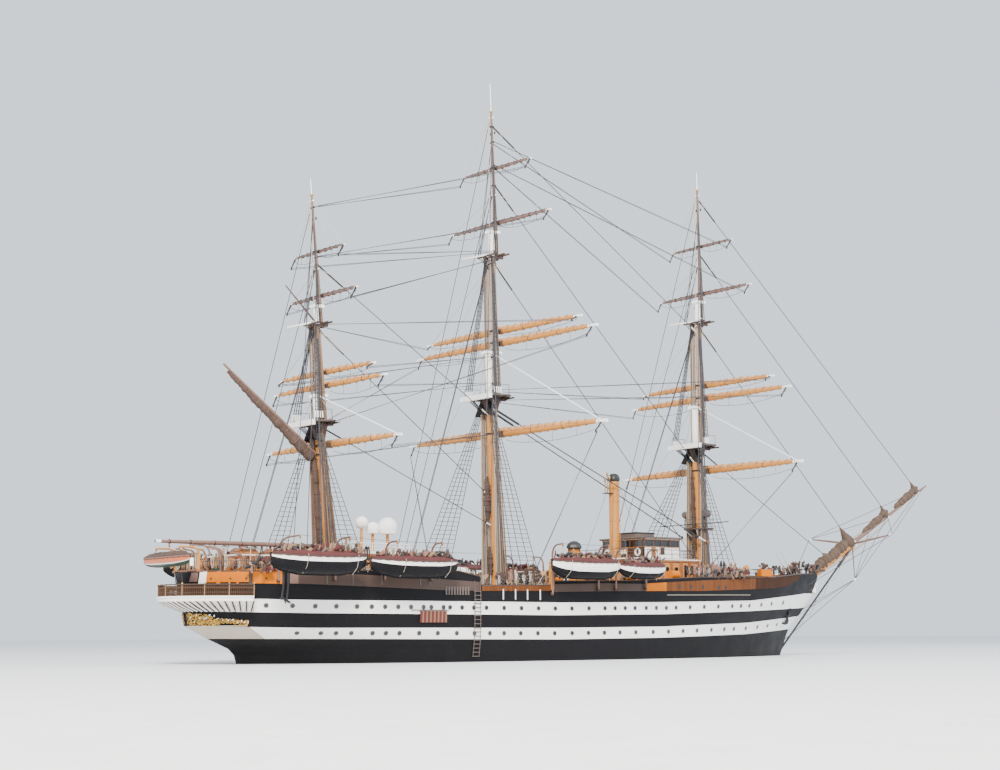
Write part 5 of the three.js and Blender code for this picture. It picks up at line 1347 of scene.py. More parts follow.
for node_name, mast_name, z, x, foot_z in MID_STAYS:
    mast, shape = MASTS[mast_name], Shape()
    forward, radius = spar_forward(mast, z)
    start = on_mast(mast, z, forward + radius * 0.8)
    stay(shape, start, (x, 0, foot_z))
    hoop(shape, on_mast(mast, z, forward), (-mast.rake, 0, 1), radius + 0.03, 0.05, "black", 18)
    shape.piece(f"{node_name}_wire", replaces=[node_name], slot="rigging")
for side, side_name in SIDES.items():
    shape = Shape()
    main = MASTS["main"]
    stay(shape, on_mast(main, 24.1, 0.2, side * 0.4), (26.95, side * 1.2, 12.0), 0.06)
    shape.piece(f"mainstay_{side_name}_wire", replaces=[f"mainstay_{side_name}"], slot="rigging")

# %% [markdown]
# ## Bowsprit, headstays and furled jibs
# The bowsprit is a steel tube with a jib boom beyond its cap. Below it the dolphin striker and on each
# side a whisker spread the guys that hold it. The jibs are hauled down their stays and lashed in heaps on
# top of the bowsprit, each with its peak still a little way up its stay.

# %% The bowsprit and its guys
HEEL, CAP, TIP = vec(42.9, 0, 7.86), vec(51.5, 0, 12.5), vec(65.14, 0, 19.87)
STRIKER, WHISKER = vec(51.7, 0, 8.46), vec(51.1, 6.2, 13.3)


def along_sprit(x):
    """The axis of the bowsprit at a station."""
    a, b = (HEEL, CAP) if x < CAP[0] else (CAP, TIP)
    return a + (b - a) * (x - a[0]) / (b[0] - a[0])


sprit = Shape()
tube(sprit, [HEEL - [1.2, 0, 0.6], HEEL, (HEEL + CAP) / 2, CAP], [0.38, 0.4, 0.39, 0.36], "buff", 24)
tube(sprit, [along_sprit(49.5) + [0, 0, 0.3], along_sprit(52) + [0, 0, 0.1], along_sprit(58), TIP],
     [0.25, 0.25, 0.19, 0.09], "mast_brown", 20)
for x in (44.6, 46.2, 47.8, 49.4):
    hoop(sprit, along_sprit(x), CAP - HEEL, 0.41, 0.035, "buff", 24)
turned(sprit, [(0.3, -0.15), (0.56, -0.15), (0.56, 0.15), (0.3, 0.15)], "white", CAP, CAP - HEEL, 20)
for x in (57.8, 63.4):
    turned(sprit, [(0.1, -0.1), (0.24, -0.1), (0.24, 0.1), (0.1, 0.1)], "white",
        along_sprit(x), TIP - CAP, 14)
tube(sprit, [CAP - [0, 0, 0.4], STRIKER], [0.07, 0.05], "faded", 10)
ball(sprit, STRIKER, 0.16, "white", 10)
for side in SIDES:
    tip = WHISKER * [1, side, 1]
    tube(sprit, [CAP + [-0.2, side * 0.3, 0], (CAP + tip) / 2, tip], [0.12, 0.12, 0.07], "mast_brown", 10)
    tube(sprit, [tip - unit(tip - CAP) * 0.5, tip], 0.085, "white", 8)
    cheek = vec(42.4, side * (half_breadth(42.4, 7.6) + 0.02), 7.7)
    rope(sprit, cheek, tip, 0.035)
    rope(sprit, tip, along_sprit(57.8), 0.032)
    rope(sprit, tip, along_sprit(64.6), 0.03)
    rope(sprit, (41.2, side * half_breadth(41.2, 4.2), 4.2), STRIKER, 0.03)
    # the net's headrope and its meshes
    edge_line = [along_sprit(x) + [0, side * (0.5 + 1.0 * sin(pi * (x - 44.5) / 13.5)), -0.15]
        for x in np.linspace(45, 57.4, 26)]
    tube(sprit, edge_line, 0.03, "tan_rope", 5)
    for start in range(0, 25):
        foot = edge_line[start]
        middle = along_sprit(foot[0] + 0.35) + [0, side * 0.3, -0.35]
        rope(sprit, foot, middle, 0.014, "tan_rope", sides=4)
        rope(sprit, edge_line[start + 1], middle, 0.014, "tan_rope", sides=4)
for x in (54.5, 57.8, 63.4):
    rope(sprit, STRIKER, along_sprit(x), 0.032)
rope(sprit, STRIKER, (38.95, 0, 1.2), 0.035)
sprit.piece("bowsprit_rigged", replaces=["bowsprit"], slot="brown_spars")

shape = Shape()
foot, head = vec(38.9, 0, 0.42), along_sprit(51.2) - [0, 0, 0.35]
tube(shape, [foot, head], 0.11, "black", 8)
tube(shape, [head - unit(head - foot) * 3.1, head], 0.16, "black", 8)
for k in range(4):
    start, end = foot + (head - foot) * (0.18 + 0.17 * k), foot + (head - foot) * (0.18 + 0.17 * (k + 1))
    rope(shape, start, end, 0.025, "tan_rope", sag=0.8)
shape.piece("bobstay_bar", replaces=["bobstay"], slot="rigging")

# %% Jibs furled on their stays
# node, height on the foremast, station of the foot, length and radius of the furled sail, height of its heap
HEAD_STAYS = [
    ("fore_stay_and_jib", 21.85, 47.6, 3.4, 0.45, 1.0),
    ("fore_topmast_stay_and_jib", 35.0, 51.3, 4.6, 0.48, 2.3),
    ("fore_topgallant_stay_and_jib", 43.2, 57.8, 4.4, 0.3, 1.3),
    ("fore_royal_stay_and_jib", 49.4, 63.4, 4.2, 0.3, 1.4),
]
for node_name, z, x, length, radius, high in HEAD_STAYS:
    shape, foremast = Shape(), MASTS["fore"]
    forward, spar = spar_forward(foremast, z)
    start = on_mast(foremast, z, forward + spar)
    foot = along_sprit(x) + [0, 0, 0.2]
    stay(shape, start, foot)
    # the sail lies in a roll along the bowsprit, abaft the stay's foot
    back = along_sprit(x - length)
    spine, sizes = [], []
    for t in np.linspace(0, 1, 36):
        rise = 0.3 + radius * 0.7 * t + 0.07 * sin(17 * t)
        spine.append(back + (foot - back) * t + [0, 0.05 * sin(9 * t), rise])
        full = sin(pi * (0.015 + 0.9 * t) ** 0.8) ** 0.5
        sizes.append(max(radius * 1.25 * full * (1 + 0.13 * RNG.standard_normal()), 0.05))
    tube(shape, spine, sizes, "jib_canvas", 12)
    # its peak is still bent to the stay, in folds that narrow upwards
    rising, spread = unit([-0.75, 0, 0.85]), np.array([1.35, 1.3, 1.1, 0.75, 0.4, 0.12])
    peak = [foot + rising * (high * s) + [-0.35, 0.04 * sin(40 * s), 0] for s in np.linspace(-0.15, 1, 6)]
    tube(shape, peak, radius * spread * (1 + 0.08 * RNG.standard_normal(6)), "jib_canvas", 12)
    for k in range(4, 30, 5):
        along = unit(spine[k + 1] - spine[k - 1])
        hoop(shape, spine[k], along, sizes[k] * 0.98, 0.025, "tan_rope", 14, 5)
    shape.piece(f"{node_name}_furled", replaces=[node_name], slot="dark_canvas")

# %% [markdown]
# ## Spanker boom and gaff
# The fore-and-aft sail of the mizzen is brailed in: its head is gathered under the gaff, and its luff
# along the mast. The boom lies amidships over the poop. Its topping lifts and sheets are left out.

# %% Boom and gaff
BOOM_Z, BOOM_END = 10.3, -36.0
GAFF_Z, PEAK = 18.55, vec(-29.9, 0, 25.9)
mizzen = MASTS["mizzen"]
shape = Shape()
jaw = on_mast(mizzen, BOOM_Z, -mizzen.lower - 0.1)
end = vec(BOOM_END, 0, BOOM_Z)
tube(shape, [jaw, jaw + (end - jaw) * 0.35, jaw + (end - jaw) * 0.7, end],
    [0.17, 0.2, 0.19, 0.13], "mast_brown", 20)
hoop(shape, on_mast(mizzen, BOOM_Z), (-mizzen.rake, 0, 1), mizzen.lower + 0.09, 0.07, "black", 22)
tube(shape, [end, end + [0.5, 0, 0]], 0.14, "white", 14)
for part in (0.12, 0.3, 0.5, 0.66, 0.8, 0.92):
    point = jaw + (end - jaw) * part
    hoop(shape, point, (1, 0, 0), 0.2, 0.035, "black", 16)
    ball(shape, point - [0, 0, 0.36], 0.13, "teak", 8, (0.8, 0.6, 1.3))
for part in (0.2, 0.42, 0.6, 0.74):
    point = jaw + (end - jaw) * part
    for k in range(3):
        hoop(shape, point + [0.12 * k, 0.1, -0.42], (0.2, 1, 0), 0.22 - 0.02 * k, 0.03, "light_rope", 12, 5)
shape.piece("spanker_boom_rigged", "spanker_boom", ["spanker_boom"], slot="buff_paint")

shape = Shape()
throat = on_mast(mizzen, GAFF_Z, -mizzen.lower - 0.1)
tube(shape, [throat, throat + (PEAK - throat) * 0.5, PEAK], [0.17, 0.15, 0.1], "mast_brown", 16)
hoop(shape, on_mast(mizzen, GAFF_Z), (-mizzen.rake, 0, 1), mizzen.lower + 0.09, 0.07, "black", 22)
under = unit(np.cross(PEAK - throat, [0, 1, 0]))
under = under if under[2] < 0 else -under
spine, sizes = [], []
for t in np.linspace(0.01, 0.94, 54):
    size = 0.43 * (1 - t) ** 0.65 + 0.06
    spine.append(throat + (PEAK - throat) * t + under * (0.12 + size * 0.85) + [0, 0.03 * sin(31 * t), 0])
    sizes.append(size * (1 + 0.12 * RNG.standard_normal()))
tube(shape, spine, sizes, "brailed", 12)
for k in range(5, 52, 6):
    hoop(shape, spine[k] - under * 0.1, PEAK - throat, sizes[k] + 0.06, 0.02, "tan_rope", 14, 5)
shape.piece("spanker_gaff_rigged", "spanker_gaff", ["spanker_gaff"], slot="dark_canvas")

# %% [markdown]
# ## Running rigging that joins a yard to a mast
# Lifts hold up the ends of a yard, and braces swing it. They start on something fixed and end on the yard, so
# their far ends must follow it when it turns. Each is one mesh, made where the yard stands now.

# %% Lifts
for name, kind, z, half, ahead, radius, sail, braced in YARDS:
    if kind == "lower_topsail":     # its truss stands on the cap, and it needs no lifts
        continue
    mast = MASTS[name]
    place = yard_frame(name, z, braced)
    lift_z = {"course": mast.cap - 0.1, "upper_topsail": mast.trees - 0.9, "topgallant": gallant_hounds(mast),
        "royal": mast.truck - 0.6}[kind]
    forward, spar = spar_forward(mast, lift_z)
    paint, thick = ("dome", 0.05) if kind == "course" else ("light_rope", 0.028)
    shape = Shape()
    for side in SIDES:
        arm = (place @ [ahead, side * half * 0.94, radius * 0.5, 1])[:3]
        head_point = on_mast(mast, lift_z, forward, side * (spar + 0.05))
        rope(shape, head_point, arm, thick, paint)
        ball(shape, head_point, 0.1, "white", 8)
        for part in (0.3, 0.62) if kind in ("course", "upper_topsail") else (0.5,):
            inner = (place @ [ahead, side * half * part, radius, 1])[:3]
            rope(shape, head_point, inner, 0.022, "light_rope")
    body = f"{name}_{kind}_yard"
    shape.piece(f"{name}_{kind}_lifts", body, across=((mast.x, 0, lift_z), (mast.x, 0, z)), slot="rigging")

# %% [markdown]
# The braces of the fore and main yards lead aft and those of the mizzen yards forward, each pair to the
# next mast at about its own height. The two lowest come down to the rail instead.

# %% Braces
# yard, the mast it leads to and the height there, or the rail's station
BRACES = {
    "fore_course": (None, 20.5), "fore_lower_topsail": ("main", 24.9),
    "fore_upper_topsail": ("main", 25.9), "fore_topgallant": ("main", 48.6),
    "fore_royal": ("main", 51.0), "main_course": (None, -2.0),
    "main_lower_topsail": ("mizzen", 21.0), "main_upper_topsail": ("mizzen", 30.3),
    "main_topgallant": ("mizzen", 36.6), "main_royal": ("mizzen", 41.2),
    "mizzen_course": ("main", 21.6), "mizzen_lower_topsail": ("main", 26.6),
    "mizzen_upper_topsail": ("main", 29.2), "mizzen_topgallant": ("main", 39.0),
    "mizzen_royal": ("main", 39.8),
}
for name, kind, z, half, ahead, radius, sail, braced in YARDS:
    other, place_or_z = BRACES[f"{name}_{kind}"]
    place = yard_frame(name, z, braced)
    shape = Shape()
    for side in SIDES:
        block = (place @ [ahead - 0.6, side * half * 0.95, -0.4 if kind == "upper_topsail" else -0.95, 1])[:3]
        if other is None:
            foot = rail_point(place_or_z, side)
        else:
            forward, spar = spar_forward(MASTS[other], place_or_z)
            foot = on_mast(MASTS[other], place_or_z, forward, side * (spar + 0.04))
            ball(shape, foot, 0.11, "black", 8)
        for k in (-0.06, 0.06):
            rope(shape, foot + [k, 0, 0.05], block + [0, 0, k], 0.024, "wire", sides=4)
    start = (place_or_z, 0, 8) if other is None else (MASTS[other].x, 0, place_or_z)
    shape.piece(f"{name}_{kind}_braces", f"{name}_{kind}_yard",
        across=(start, (MASTS[name].x, 0, z)), slot="rigging")

# %% [markdown]
# ## Boats on their davits
# Four boats hang outboard in a row on each side, griped in under their davits, and a gig hangs across the
# stern. A pulling boat's hull is clinker built: overlapping planks whose lower edges throw thin shadows.
# Each boat wears a laced cover, peaked along its middle. The side boats are white above a dark bottom,
# and the gig is orange over green.

# %% Loft a boat
# part of the half length, part of the beam, rise of the gunwale, part of the depth
BOAT_LINES = np.array([(-1, 0.12, 0.32, 0.55), (-0.93, 0.36, 0.27, 0.7), (-0.8, 0.62, 0.18, 0.85),
    (-0.45, 0.92, 0.05, 1), (0, 1, 0, 1), (0.45, 0.9, 0.05, 1), (0.8, 0.56, 0.18, 0.85),
    (0.93, 0.3, 0.28, 0.68), (1, 0.06, 0.36, 0.5)])


def build_boat(shape, place, length, beam, depth, topside, bottom, gunwale, cover,
        dark_strakes=7, flat=0.55, band=None):
    """A boat along X in its own frame, with its gunwale amidships at height zero."""
    outer = shape.frame
    shape.frame = outer @ np.array(place)
    parts = np.concatenate([[-1, -0.97], np.linspace(-0.9, 0.9, 25), [0.97, 1]])
    wide, rise, deep = (np.interp(parts, BOAT_LINES[:, 0], BOAT_LINES[:, k]) for k in (1, 2, 3))
    half, rise = wide * beam / 2, rise * flat
    low = rise - depth * deep
    strakes = 9

    def line(y, z):
        return np.column_stack([parts * length / 2, y, z])

    def ring(u, out=0.0):
        """The line of the planking a part u of the way from the keel up to the gunwale."""
        across = np.sin(np.minimum(u * 1.12, 1) * pi / 2) ** 0.75
        y = half * (0.04 + 0.96 * across) + out
        z = low + (rise - low) * u ** 1.5
        return line(y, z)

    for k in range(strakes):
        u0, u1 = k / strakes, (k + 1) / strakes
        paint = bottom if k < dark_strakes else band if band and k == dark_strakes else topside
        for side in SIDES:
            rows = [ring(u0, 0.035), ring(u1, 0.0)]
            if k:
                rows.insert(0, ring(u0, 0.0))
            sheet(shape, np.array(rows) * [1, side, 1], paint)
    strip(shape, line(0 * parts, low - 0.02), 0.09, 0.14, bottom)
    for side in SIDES:
        strip(shape, ring(1.0, 0.01) * [1, side, 1] + [0, 0, -0.02], 0.1, 0.11, gunwale)
    # the cover: from gunwale to gunwale over a ridge, scalloped where it is laced down
    rows = []
    for v in np.linspace(-1, 1, 11):
        ridge = 0.42 * (1 - abs(v) ** 1.4) * (1 - abs(parts) ** 4) + 0.02
        dip = 0.03 * np.cos(parts * 30) * (1 - abs(v))
        rows.append(line(v * (half + 0.04), rise + 0.06 + ridge - dip))
    sheet(shape, rows, cover)
    for side in SIDES:
        hem = line(side * (half + 0.06), rise - 0.12 - 0.03 * np.cos(parts * 34))
        top = line(side * (half + 0.04), rise + 0.07)
        sheet(shape, [top, hem], cover)
    for end in (1, -1):
        x = end * length / 2
        plank(shape, (x, 0, low[0] - 0.05), (x + end * 0.06, 0, rise[0] + 0.1), 0.07, 0.1, gunwale)
    shape.frame = outer


def davit_arm(shape, heel, head):
    shoulder = vec(heel[0], heel[1], head[2] - 0.95)
    path = [heel, (heel + shoulder) / 2, shoulder]
    for a in np.linspace(0.2, pi / 2, 6):
        path.append([heel[0], shoulder[1] + (head[1] - heel[1]) * 0.55 * (1 - cos(a)),
            shoulder[2] + 0.9 * sin(a)])
    path.append(head)
    tube(shape, path, np.linspace(0.1, 0.07, len(path)), "mast_brown", 10)


def falls(shape, head, foot):
    """The tackle that a boat hangs by: two blocks and three parts of rope."""
    for y in (-0.05, 0, 0.05):
        rope(shape, head + [0, y, -0.15], foot + [0, y, 0.2], 0.016, "light_rope", sides=4)
    for point in (head - [0, 0, 0.14], foot + [0, 0, 0.2]):
        ball(shape, point, 0.12, "teak", 8, (0.7, 1, 1.3))


# station, length, beam, depth, height of the gunwale
BOATS = {
    "quarter": [(-25.8, 9.2, 2.6, 1.5, 8.9), (-16.2, 9.0, 2.6, 1.4, 8.7)],
    "waist": [(3.25, 8.3, 2.6, 1.5, 9.0), (10.25, 5.8, 2.2, 1.1, 8.75)],
}
BOAT_OFF, DAVIT_RISE = 9.55, 1.7


STOWED = ("net", "brailed", "maroon", "brown", "black", "faded", "tan_rope", "brown")


def gear(shape, low, high, count):
    """Oars, folded nets, covers and fenders stowed in a heap, inside the box from low to high."""
    low, high = np.array(low), np.array(high)
    for k in range(count):
        at = low + (high - low) * RNG.random(3)
        lean = (RNG.random(3) - 0.5) * [0.9, 0.5, 0.5]
        paint = STOWED[int(RNG.integers(8))]
        size = 0.1 + 0.14 * RNG.random()
        if k % 3:
            tube(shape, [at - lean, at + [0, 0, 0.1], at + lean], [size * 0.6, size, size * 0.5], paint, 7)
        else:
            stack = [at - [0, 0, 0.35], at + lean * 0.3, at + [0.1, 0, 0.4]]
            tube(shape, stack, [size * 0.5, size * 0.7, size * 0.4], paint, 7)


for group, boats in BOATS.items():
    for side, side_name in SIDES.items():
        shape, heads = Shape(), []
        for x, length, beam, depth, z in boats:
            place = Matrix.Translation((x, side * BOAT_OFF, z))
            build_boat(shape, place, length, beam, depth, "white", "charcoal", "brown", "maroon",
                7 if group == "quarter" else 5)
            for end in (-0.2, 0.33) if group == "quarter" else (-0.34, 0.34):
                at = x + end * length
                heel_z = sheer(at) - 0.8
                skin_y = half_breadth(at, heel_z)
                head = vec(at, side * BOAT_OFF, z + DAVIT_RISE)
                davit_arm(shape, vec(at, side * (skin_y + 0.25), heel_z), head)
                box(shape, about(at, 0.12), about(side * skin_y, 0.3),
                    about(heel_z, 0.16), "brown", edge=0.04)
                falls(shape, head, vec(at, side * BOAT_OFF, z + 0.12))
                guy = at + (1.6 if end > 0 else -1.6), side * half_breadth(at, sheer(at)), sheer(at)
                rope(shape, head, guy, 0.02, "light_rope")
                for k in (-1, 1):
                    lash = [(at, side * (BOAT_OFF + k * beam / 2 * c), z + s) for c, s in
                            ((1.04, 0.16), (1.06, -0.1), (0.86, -depth * 0.6), (0.3, -depth * 0.98))]
                    tube(shape, lash, 0.018, "light_rope", 5)
                heads.append(head)
            gear(shape, (x - length * 0.42, side * BOAT_OFF - 0.5, z + 0.3),
                (x + length * 0.42, side * BOAT_OFF + 0.5, z + 0.75), int(length * 7))
        for a, b in zip(heads, heads[1:]):
            rope(shape, a, b, 0.018, "wire", sag=0.06)
        shape.piece(f"{group}_boats_{side_name}_hung",
            replaces=[f"{group}_boats_{side_name}"], slot="boat_paint")

GIG = dict(x=-34.85, length=8.5, beam=1.6, depth=0.72, z=8.95)
TAFFRAIL = -33.0
shape = Shape()
place = Matrix.Translation((GIG["x"], 0, GIG["z"])) @ Matrix.Rotation(pi / 2, 4, "Z")
build_boat(shape, place, GIG["length"], GIG["beam"], GIG["depth"], "orange", "green", "mast_brown",
    "brailed", 3, 0.15, "white")
for side in SIDES:
    y, head_z = side * GIG["length"] * 0.25, GIG["z"] + 0.85
    foot = vec(TAFFRAIL, y, sheer(TAFFRAIL) + 0.1)
    path = [foot, foot + [0, 0, 0.9], [TAFFRAIL, y, head_z - 0.4], [TAFFRAIL - 0.25, y, head_z - 0.12],
            [TAFFRAIL - 0.7, y, head_z], [GIG["x"], y, head_z - 0.02]]
    tube(shape, path, np.linspace(0.13, 0.08, 6), "buff", 10)
    falls(shape, vec(GIG["x"], y, head_z), vec(GIG["x"], y, GIG["z"] + 0.12))
rail_z = sheer(TAFFRAIL) + 0.1
plank(shape, (TAFFRAIL, -2.4, rail_z), (TAFFRAIL, 2.4, rail_z), 0.3, 0.2, "teak")
shape.piece("stern_boat_hung", replaces=["stern_boat"], slot="orange_paint")

# %% [markdown]
# ## The stern gallery
# Outside the captain's cabin a gallery runs round the stern. Its floor rests on a fluted white underside,
# whose ribs alternate white and brown, the brown ones painted shade between the flutes. Its railing is dark
# openwork between cream posts.

# %% Build the gallery
GALLERY_FROM, GALLERY_WIDE, WIDE_AFT = -29.3, 1.15, 1.9
FLOOR_Z, UNDER_Z, BRACKET_Z, RAIL_Z = 5.6, 5.3, 4.45, 6.65


def stern_line(z, out, out_aft=None):
    """Points round the stern from starboard to port, set out by one width ahead and another right aft."""
    stern = line_at(z)[0]
    out_aft = out if out_aft is None else out_aft
    x = stern + (GALLERY_FROM - stern) * np.linspace(0, 1, 23) ** 1.6
    port = np.array([(s, half_breadth(s, z), z) for s in x])
    line = np.concatenate([(port * [1, -1, 1])[::-1], port])
    along = np.gradient(line[:, :2], axis=0)
    along /= np.linalg.norm(along, axis=1)[:, None]
    wide = out + (out_aft - out) * (GALLERY_FROM - line[:, 0]) / (GALLERY_FROM - stern)
    line[:, 0] -= along[:, 1] * wide
    line[:, 1] += along[:, 0] * wide
    return line


def spaced(line, gap):
    """The same line again, with points at even distances."""
    line = np.asarray(line, float)
    run = np.concatenate([[0], np.cumsum(np.linalg.norm(np.diff(line, axis=0), axis=1))])
    marks = np.linspace(0, run[-1], max(int(run[-1] / gap), 1) + 1)
    return np.column_stack([np.interp(marks, run, line[:, k]) for k in range(3)])


gallery = Shape()
inner, outer = stern_line(FLOOR_Z, -0.3), stern_line(FLOOR_Z, GALLERY_WIDE, WIDE_AFT)
under = outer * [1, 1, 0] + [0, 0, UNDER_Z]
foot = stern_line(BRACKET_Z, -0.1)
foot = foot + (outer - foot) * 0.1
foot[:, 2] = BRACKET_Z
root = inner * [1, 1, 0] + [0, 0, BRACKET_Z]
sheet(gallery, [inner, outer], "deck")
sheet(gallery, [outer, under], "white")
sheet(gallery, [under, foot, root], "white")
for end in (0, -1):
    panel(gallery, [line[end] for line in (inner, outer, under, foot, root)], "white")
strip(gallery, spaced(outer, 0.5) + [0, 0, 0.02], 0.16, 0.14, "dome")
strip(gallery, spaced(under, 0.5), 0.12, 0.08, "white")
top_marks = spaced(under, 0.3)
foot_run = spaced(foot, 0.05)
# every other rib is brown: painted shade between the white flutes
for k, a in enumerate(top_marks):
    b = foot_run[min(int(k / (len(top_marks) - 1) * (len(foot_run) - 1)), len(foot_run) - 1)]
    tube(gallery, [a, a + (b - a) * 0.5 + [0, 0, -0.05], b], [0.07, 0.07, 0.06],
        "dome" if k % 2 else "brown", 6)
rail = spaced(stern_line(FLOOR_Z, GALLERY_WIDE - 0.08, WIDE_AFT - 0.08), 0.17)
strip(gallery, rail * [1, 1, 0] + [0, 0, RAIL_Z], 0.14, 0.1, "brown")
for height in (0.12, 0.4, 0.78):
    strip(gallery, rail + [0, 0, height], 0.05, 0.06, "brown")
for k, point in enumerate(rail):
    if k % 12 == 0:
        tube(gallery, [point, point + [0, 0, 1.0]], 0.05, "tan_rope", 8)
        ball(gallery, point + [0, 0, 1.12], 0.08, "gilt", 8)
    else:
        tube(gallery, [point + [0, 0, 0.12], point + [0, 0, 0.95]], 0.03, "gallery_brown", 4, caps=False)
for a, b in zip(rail, rail[1:]):
    middle = (a + b) / 2 + [0, 0, 0.45]
    for rise, size in ((0.16, 0.08), (-0.2, 0.07), (0.42, 0.05)):
        hoop(gallery, middle + [0, 0, rise], np.cross(b - a, [0, 0, 1]), size, 0.02, "gallery_brown", 8, 4)
gallery.piece("stern_gallery_built", replaces=["stern_gallery"], slot="white_paint")

# %% [markdown]
# ## Deckhouses, wheelhouse, funnel and ventilators
# The houses are varnished teak: framed panels, round brass-rimmed ports and doors, under a painted roof
# with a handrail. The wheelhouse stands on the bridge house, white above with a band of windows.

# %% A panelled house
def framed_wall(shape, a, b, low, high, bays):
    """Framing and panels over a wall that faces to the right of the line from a to b. In every fourth bay,
    where the wall is high enough, the panel is a door with a window."""
    a, b = np.array([*a, 0.0]), np.array([*b, 0.0])
    along = unit(b - a)
    out = np.cross(along, [0, 0, 1])
    length = np.linalg.norm(b - a)
    turn = np.column_stack([along, -out, [0, 0, 1]])

    def slab(start, end, z0, z1, depth, paint):
        centre = a + along * (start + end) / 2 + out * depth / 2
        half_x, half_z = (end - start) / 2, (z1 - z0) / 2
        kept = shape.frame
        place = Matrix.Translation((*centre[:2], (z0 + z1) / 2)) @ Matrix(turn).to_4x4()
        shape.frame = shape.frame @ np.array(place)
        box(shape, (-half_x, half_x), (-abs(depth) / 2, abs(depth) / 2), (-half_z, half_z), paint, edge=0.02)
        shape.frame = kept

    slab(0, length, low, low + 0.22, 0.07, "teak")
    slab(0, length, high - 0.16, high, 0.07, "teak")
    width = length / bays
    for k in range(bays + 1):
        middle = min(max(k * width, 0.06), length - 0.06)
        slab(middle - 0.06, middle + 0.06, low, high, 0.06, "teak")
    for k in range(bays):
        start, end = k * width + 0.16, (k + 1) * width - 0.16
        if k % 4 == 2 and high - low > 1.8:
            slab(start + 0.1, end - 0.1, low + 0.1, high - 0.22, 0.045, "varnish")
            slab(start + 0.3, end - 0.3, low + 1.1, high - 0.45, 0.06, "glass")
            ball(shape, a + along * (end - 0.25) + out * 0.08 + [0, 0, low + 1.0], 0.05, "bronze", 8)
        else:
            slab(start, end, low + 0.32, high - 0.26, 0.03, "varnish")
            centre = a + along * (start + end) / 2 + out * 0.03
            porthole(shape, (centre[0], centre[1], high - 0.85), out, 0.2, "bronze")


def house(shape, x, half, low, top, bays=5):
    box(shape, x, (-half, half), (low, top - 0.1), "teak", edge=0.04)
    for a, b, count in (((x[0], -half), (x[1], -half), bays), ((x[1], half), (x[0], half), bays),
            ((x[1], -half), (x[1], half), 4), ((x[0], half), (x[0], -half), 4)):
        framed_wall(shape, a, b, low + 0.05, top - 0.12, count)
    box(shape, (x[0] - 0.14, x[1] + 0.14), (-half - 0.14, half + 0.14), (top - 0.12, top), "white", edge=0.03)
    box(shape, (x[0] - 0.06, x[1] + 0.06), (-half - 0.06, half + 0.06), (top - 0.02, top + 0.015), "grey")


def stanchion_rail(shape, path, height=0.95, gap=1.4, rails=3, finish="white", cap="white"):
    path = spaced(path, gap)
    for point in path:
        tube(shape, [point, point + [0, 0, height]], [0.04, 0.028], finish, 6)
        ball(shape, point + [0, 0, height], 0.045, finish, 6)
    for k in range(1, rails + 1):
        level = height * k / rails
        tube(shape, path + [0, 0, level], 0.018 if k < rails else 0.032, cap if k == rails else finish, 5)


shape = Shape()
house(shape, (-29.6, -21.4), 3.0, 7.0, 9.25, bays=7)
COAMING, RIDGE = 9.6, 9.95      # of the skylights on its roof
for x in (-27.6, -24.4):
    box(shape, about(x, 0.9), (-1.1, 1.1), (9.25, COAMING), "teak", edge=0.04)
    for side in SIDES:
        y = side * 1.1
        panel(shape, [(x - 0.9, y, COAMING), (x + 0.9, y, COAMING), (x + 0.9, 0, RIDGE), (x - 0.9, 0, RIDGE)],
            "teak")
        for k in range(4):
            left = x - 0.8 + 0.42 * k
            low, high, right = (side * 0.95, 9.67), (side * 0.12, 9.93), left + 0.32
            panel(shape, [(left, *low), (right, *low), (right, *high), (left, *high)], "glass")
    for end in (x - 0.9, x + 0.9):
        panel(shape, [(end, -1.1, COAMING), (end, 1.1, COAMING), (end, 0, RIDGE)], "teak")
shape.piece("after_deckhouse_built", replaces=["after_deckhouse"], slot="varnished_wood")

shape = Shape()
house(shape, (-17.6, -12.0), 3.1, 7.0, 9.7, bays=5)
stanchion_rail(shape, [(-17.5, 3.0, 9.7), (-17.5, -3.0, 9.7), (-12.1, -3.0, 9.7), (-12.1, 3.0, 9.7)], 0.85)
shape.piece("chart_house_built", replaces=["chart_house"], slot="varnished_wood")

shape = Shape()
house(shape, (13.2, 23.4), 3.7, 6.75, 9.9, bays=8)
for path in ([(13.3, 3.6, 9.9), (13.3, -3.6, 9.9), (16.0, -3.6, 9.9)],
        [(21.6, -3.6, 9.9), (23.3, -3.6, 9.9), (23.3, 3.6, 9.9), (21.6, 3.6, 9.9)]):
    stanchion_rail(shape, path, 0.95, finish="faded", cap="brown")
shape.piece("bridge_deckhouse_built", replaces=["bridge_deckhouse"], slot="varnished_wood")

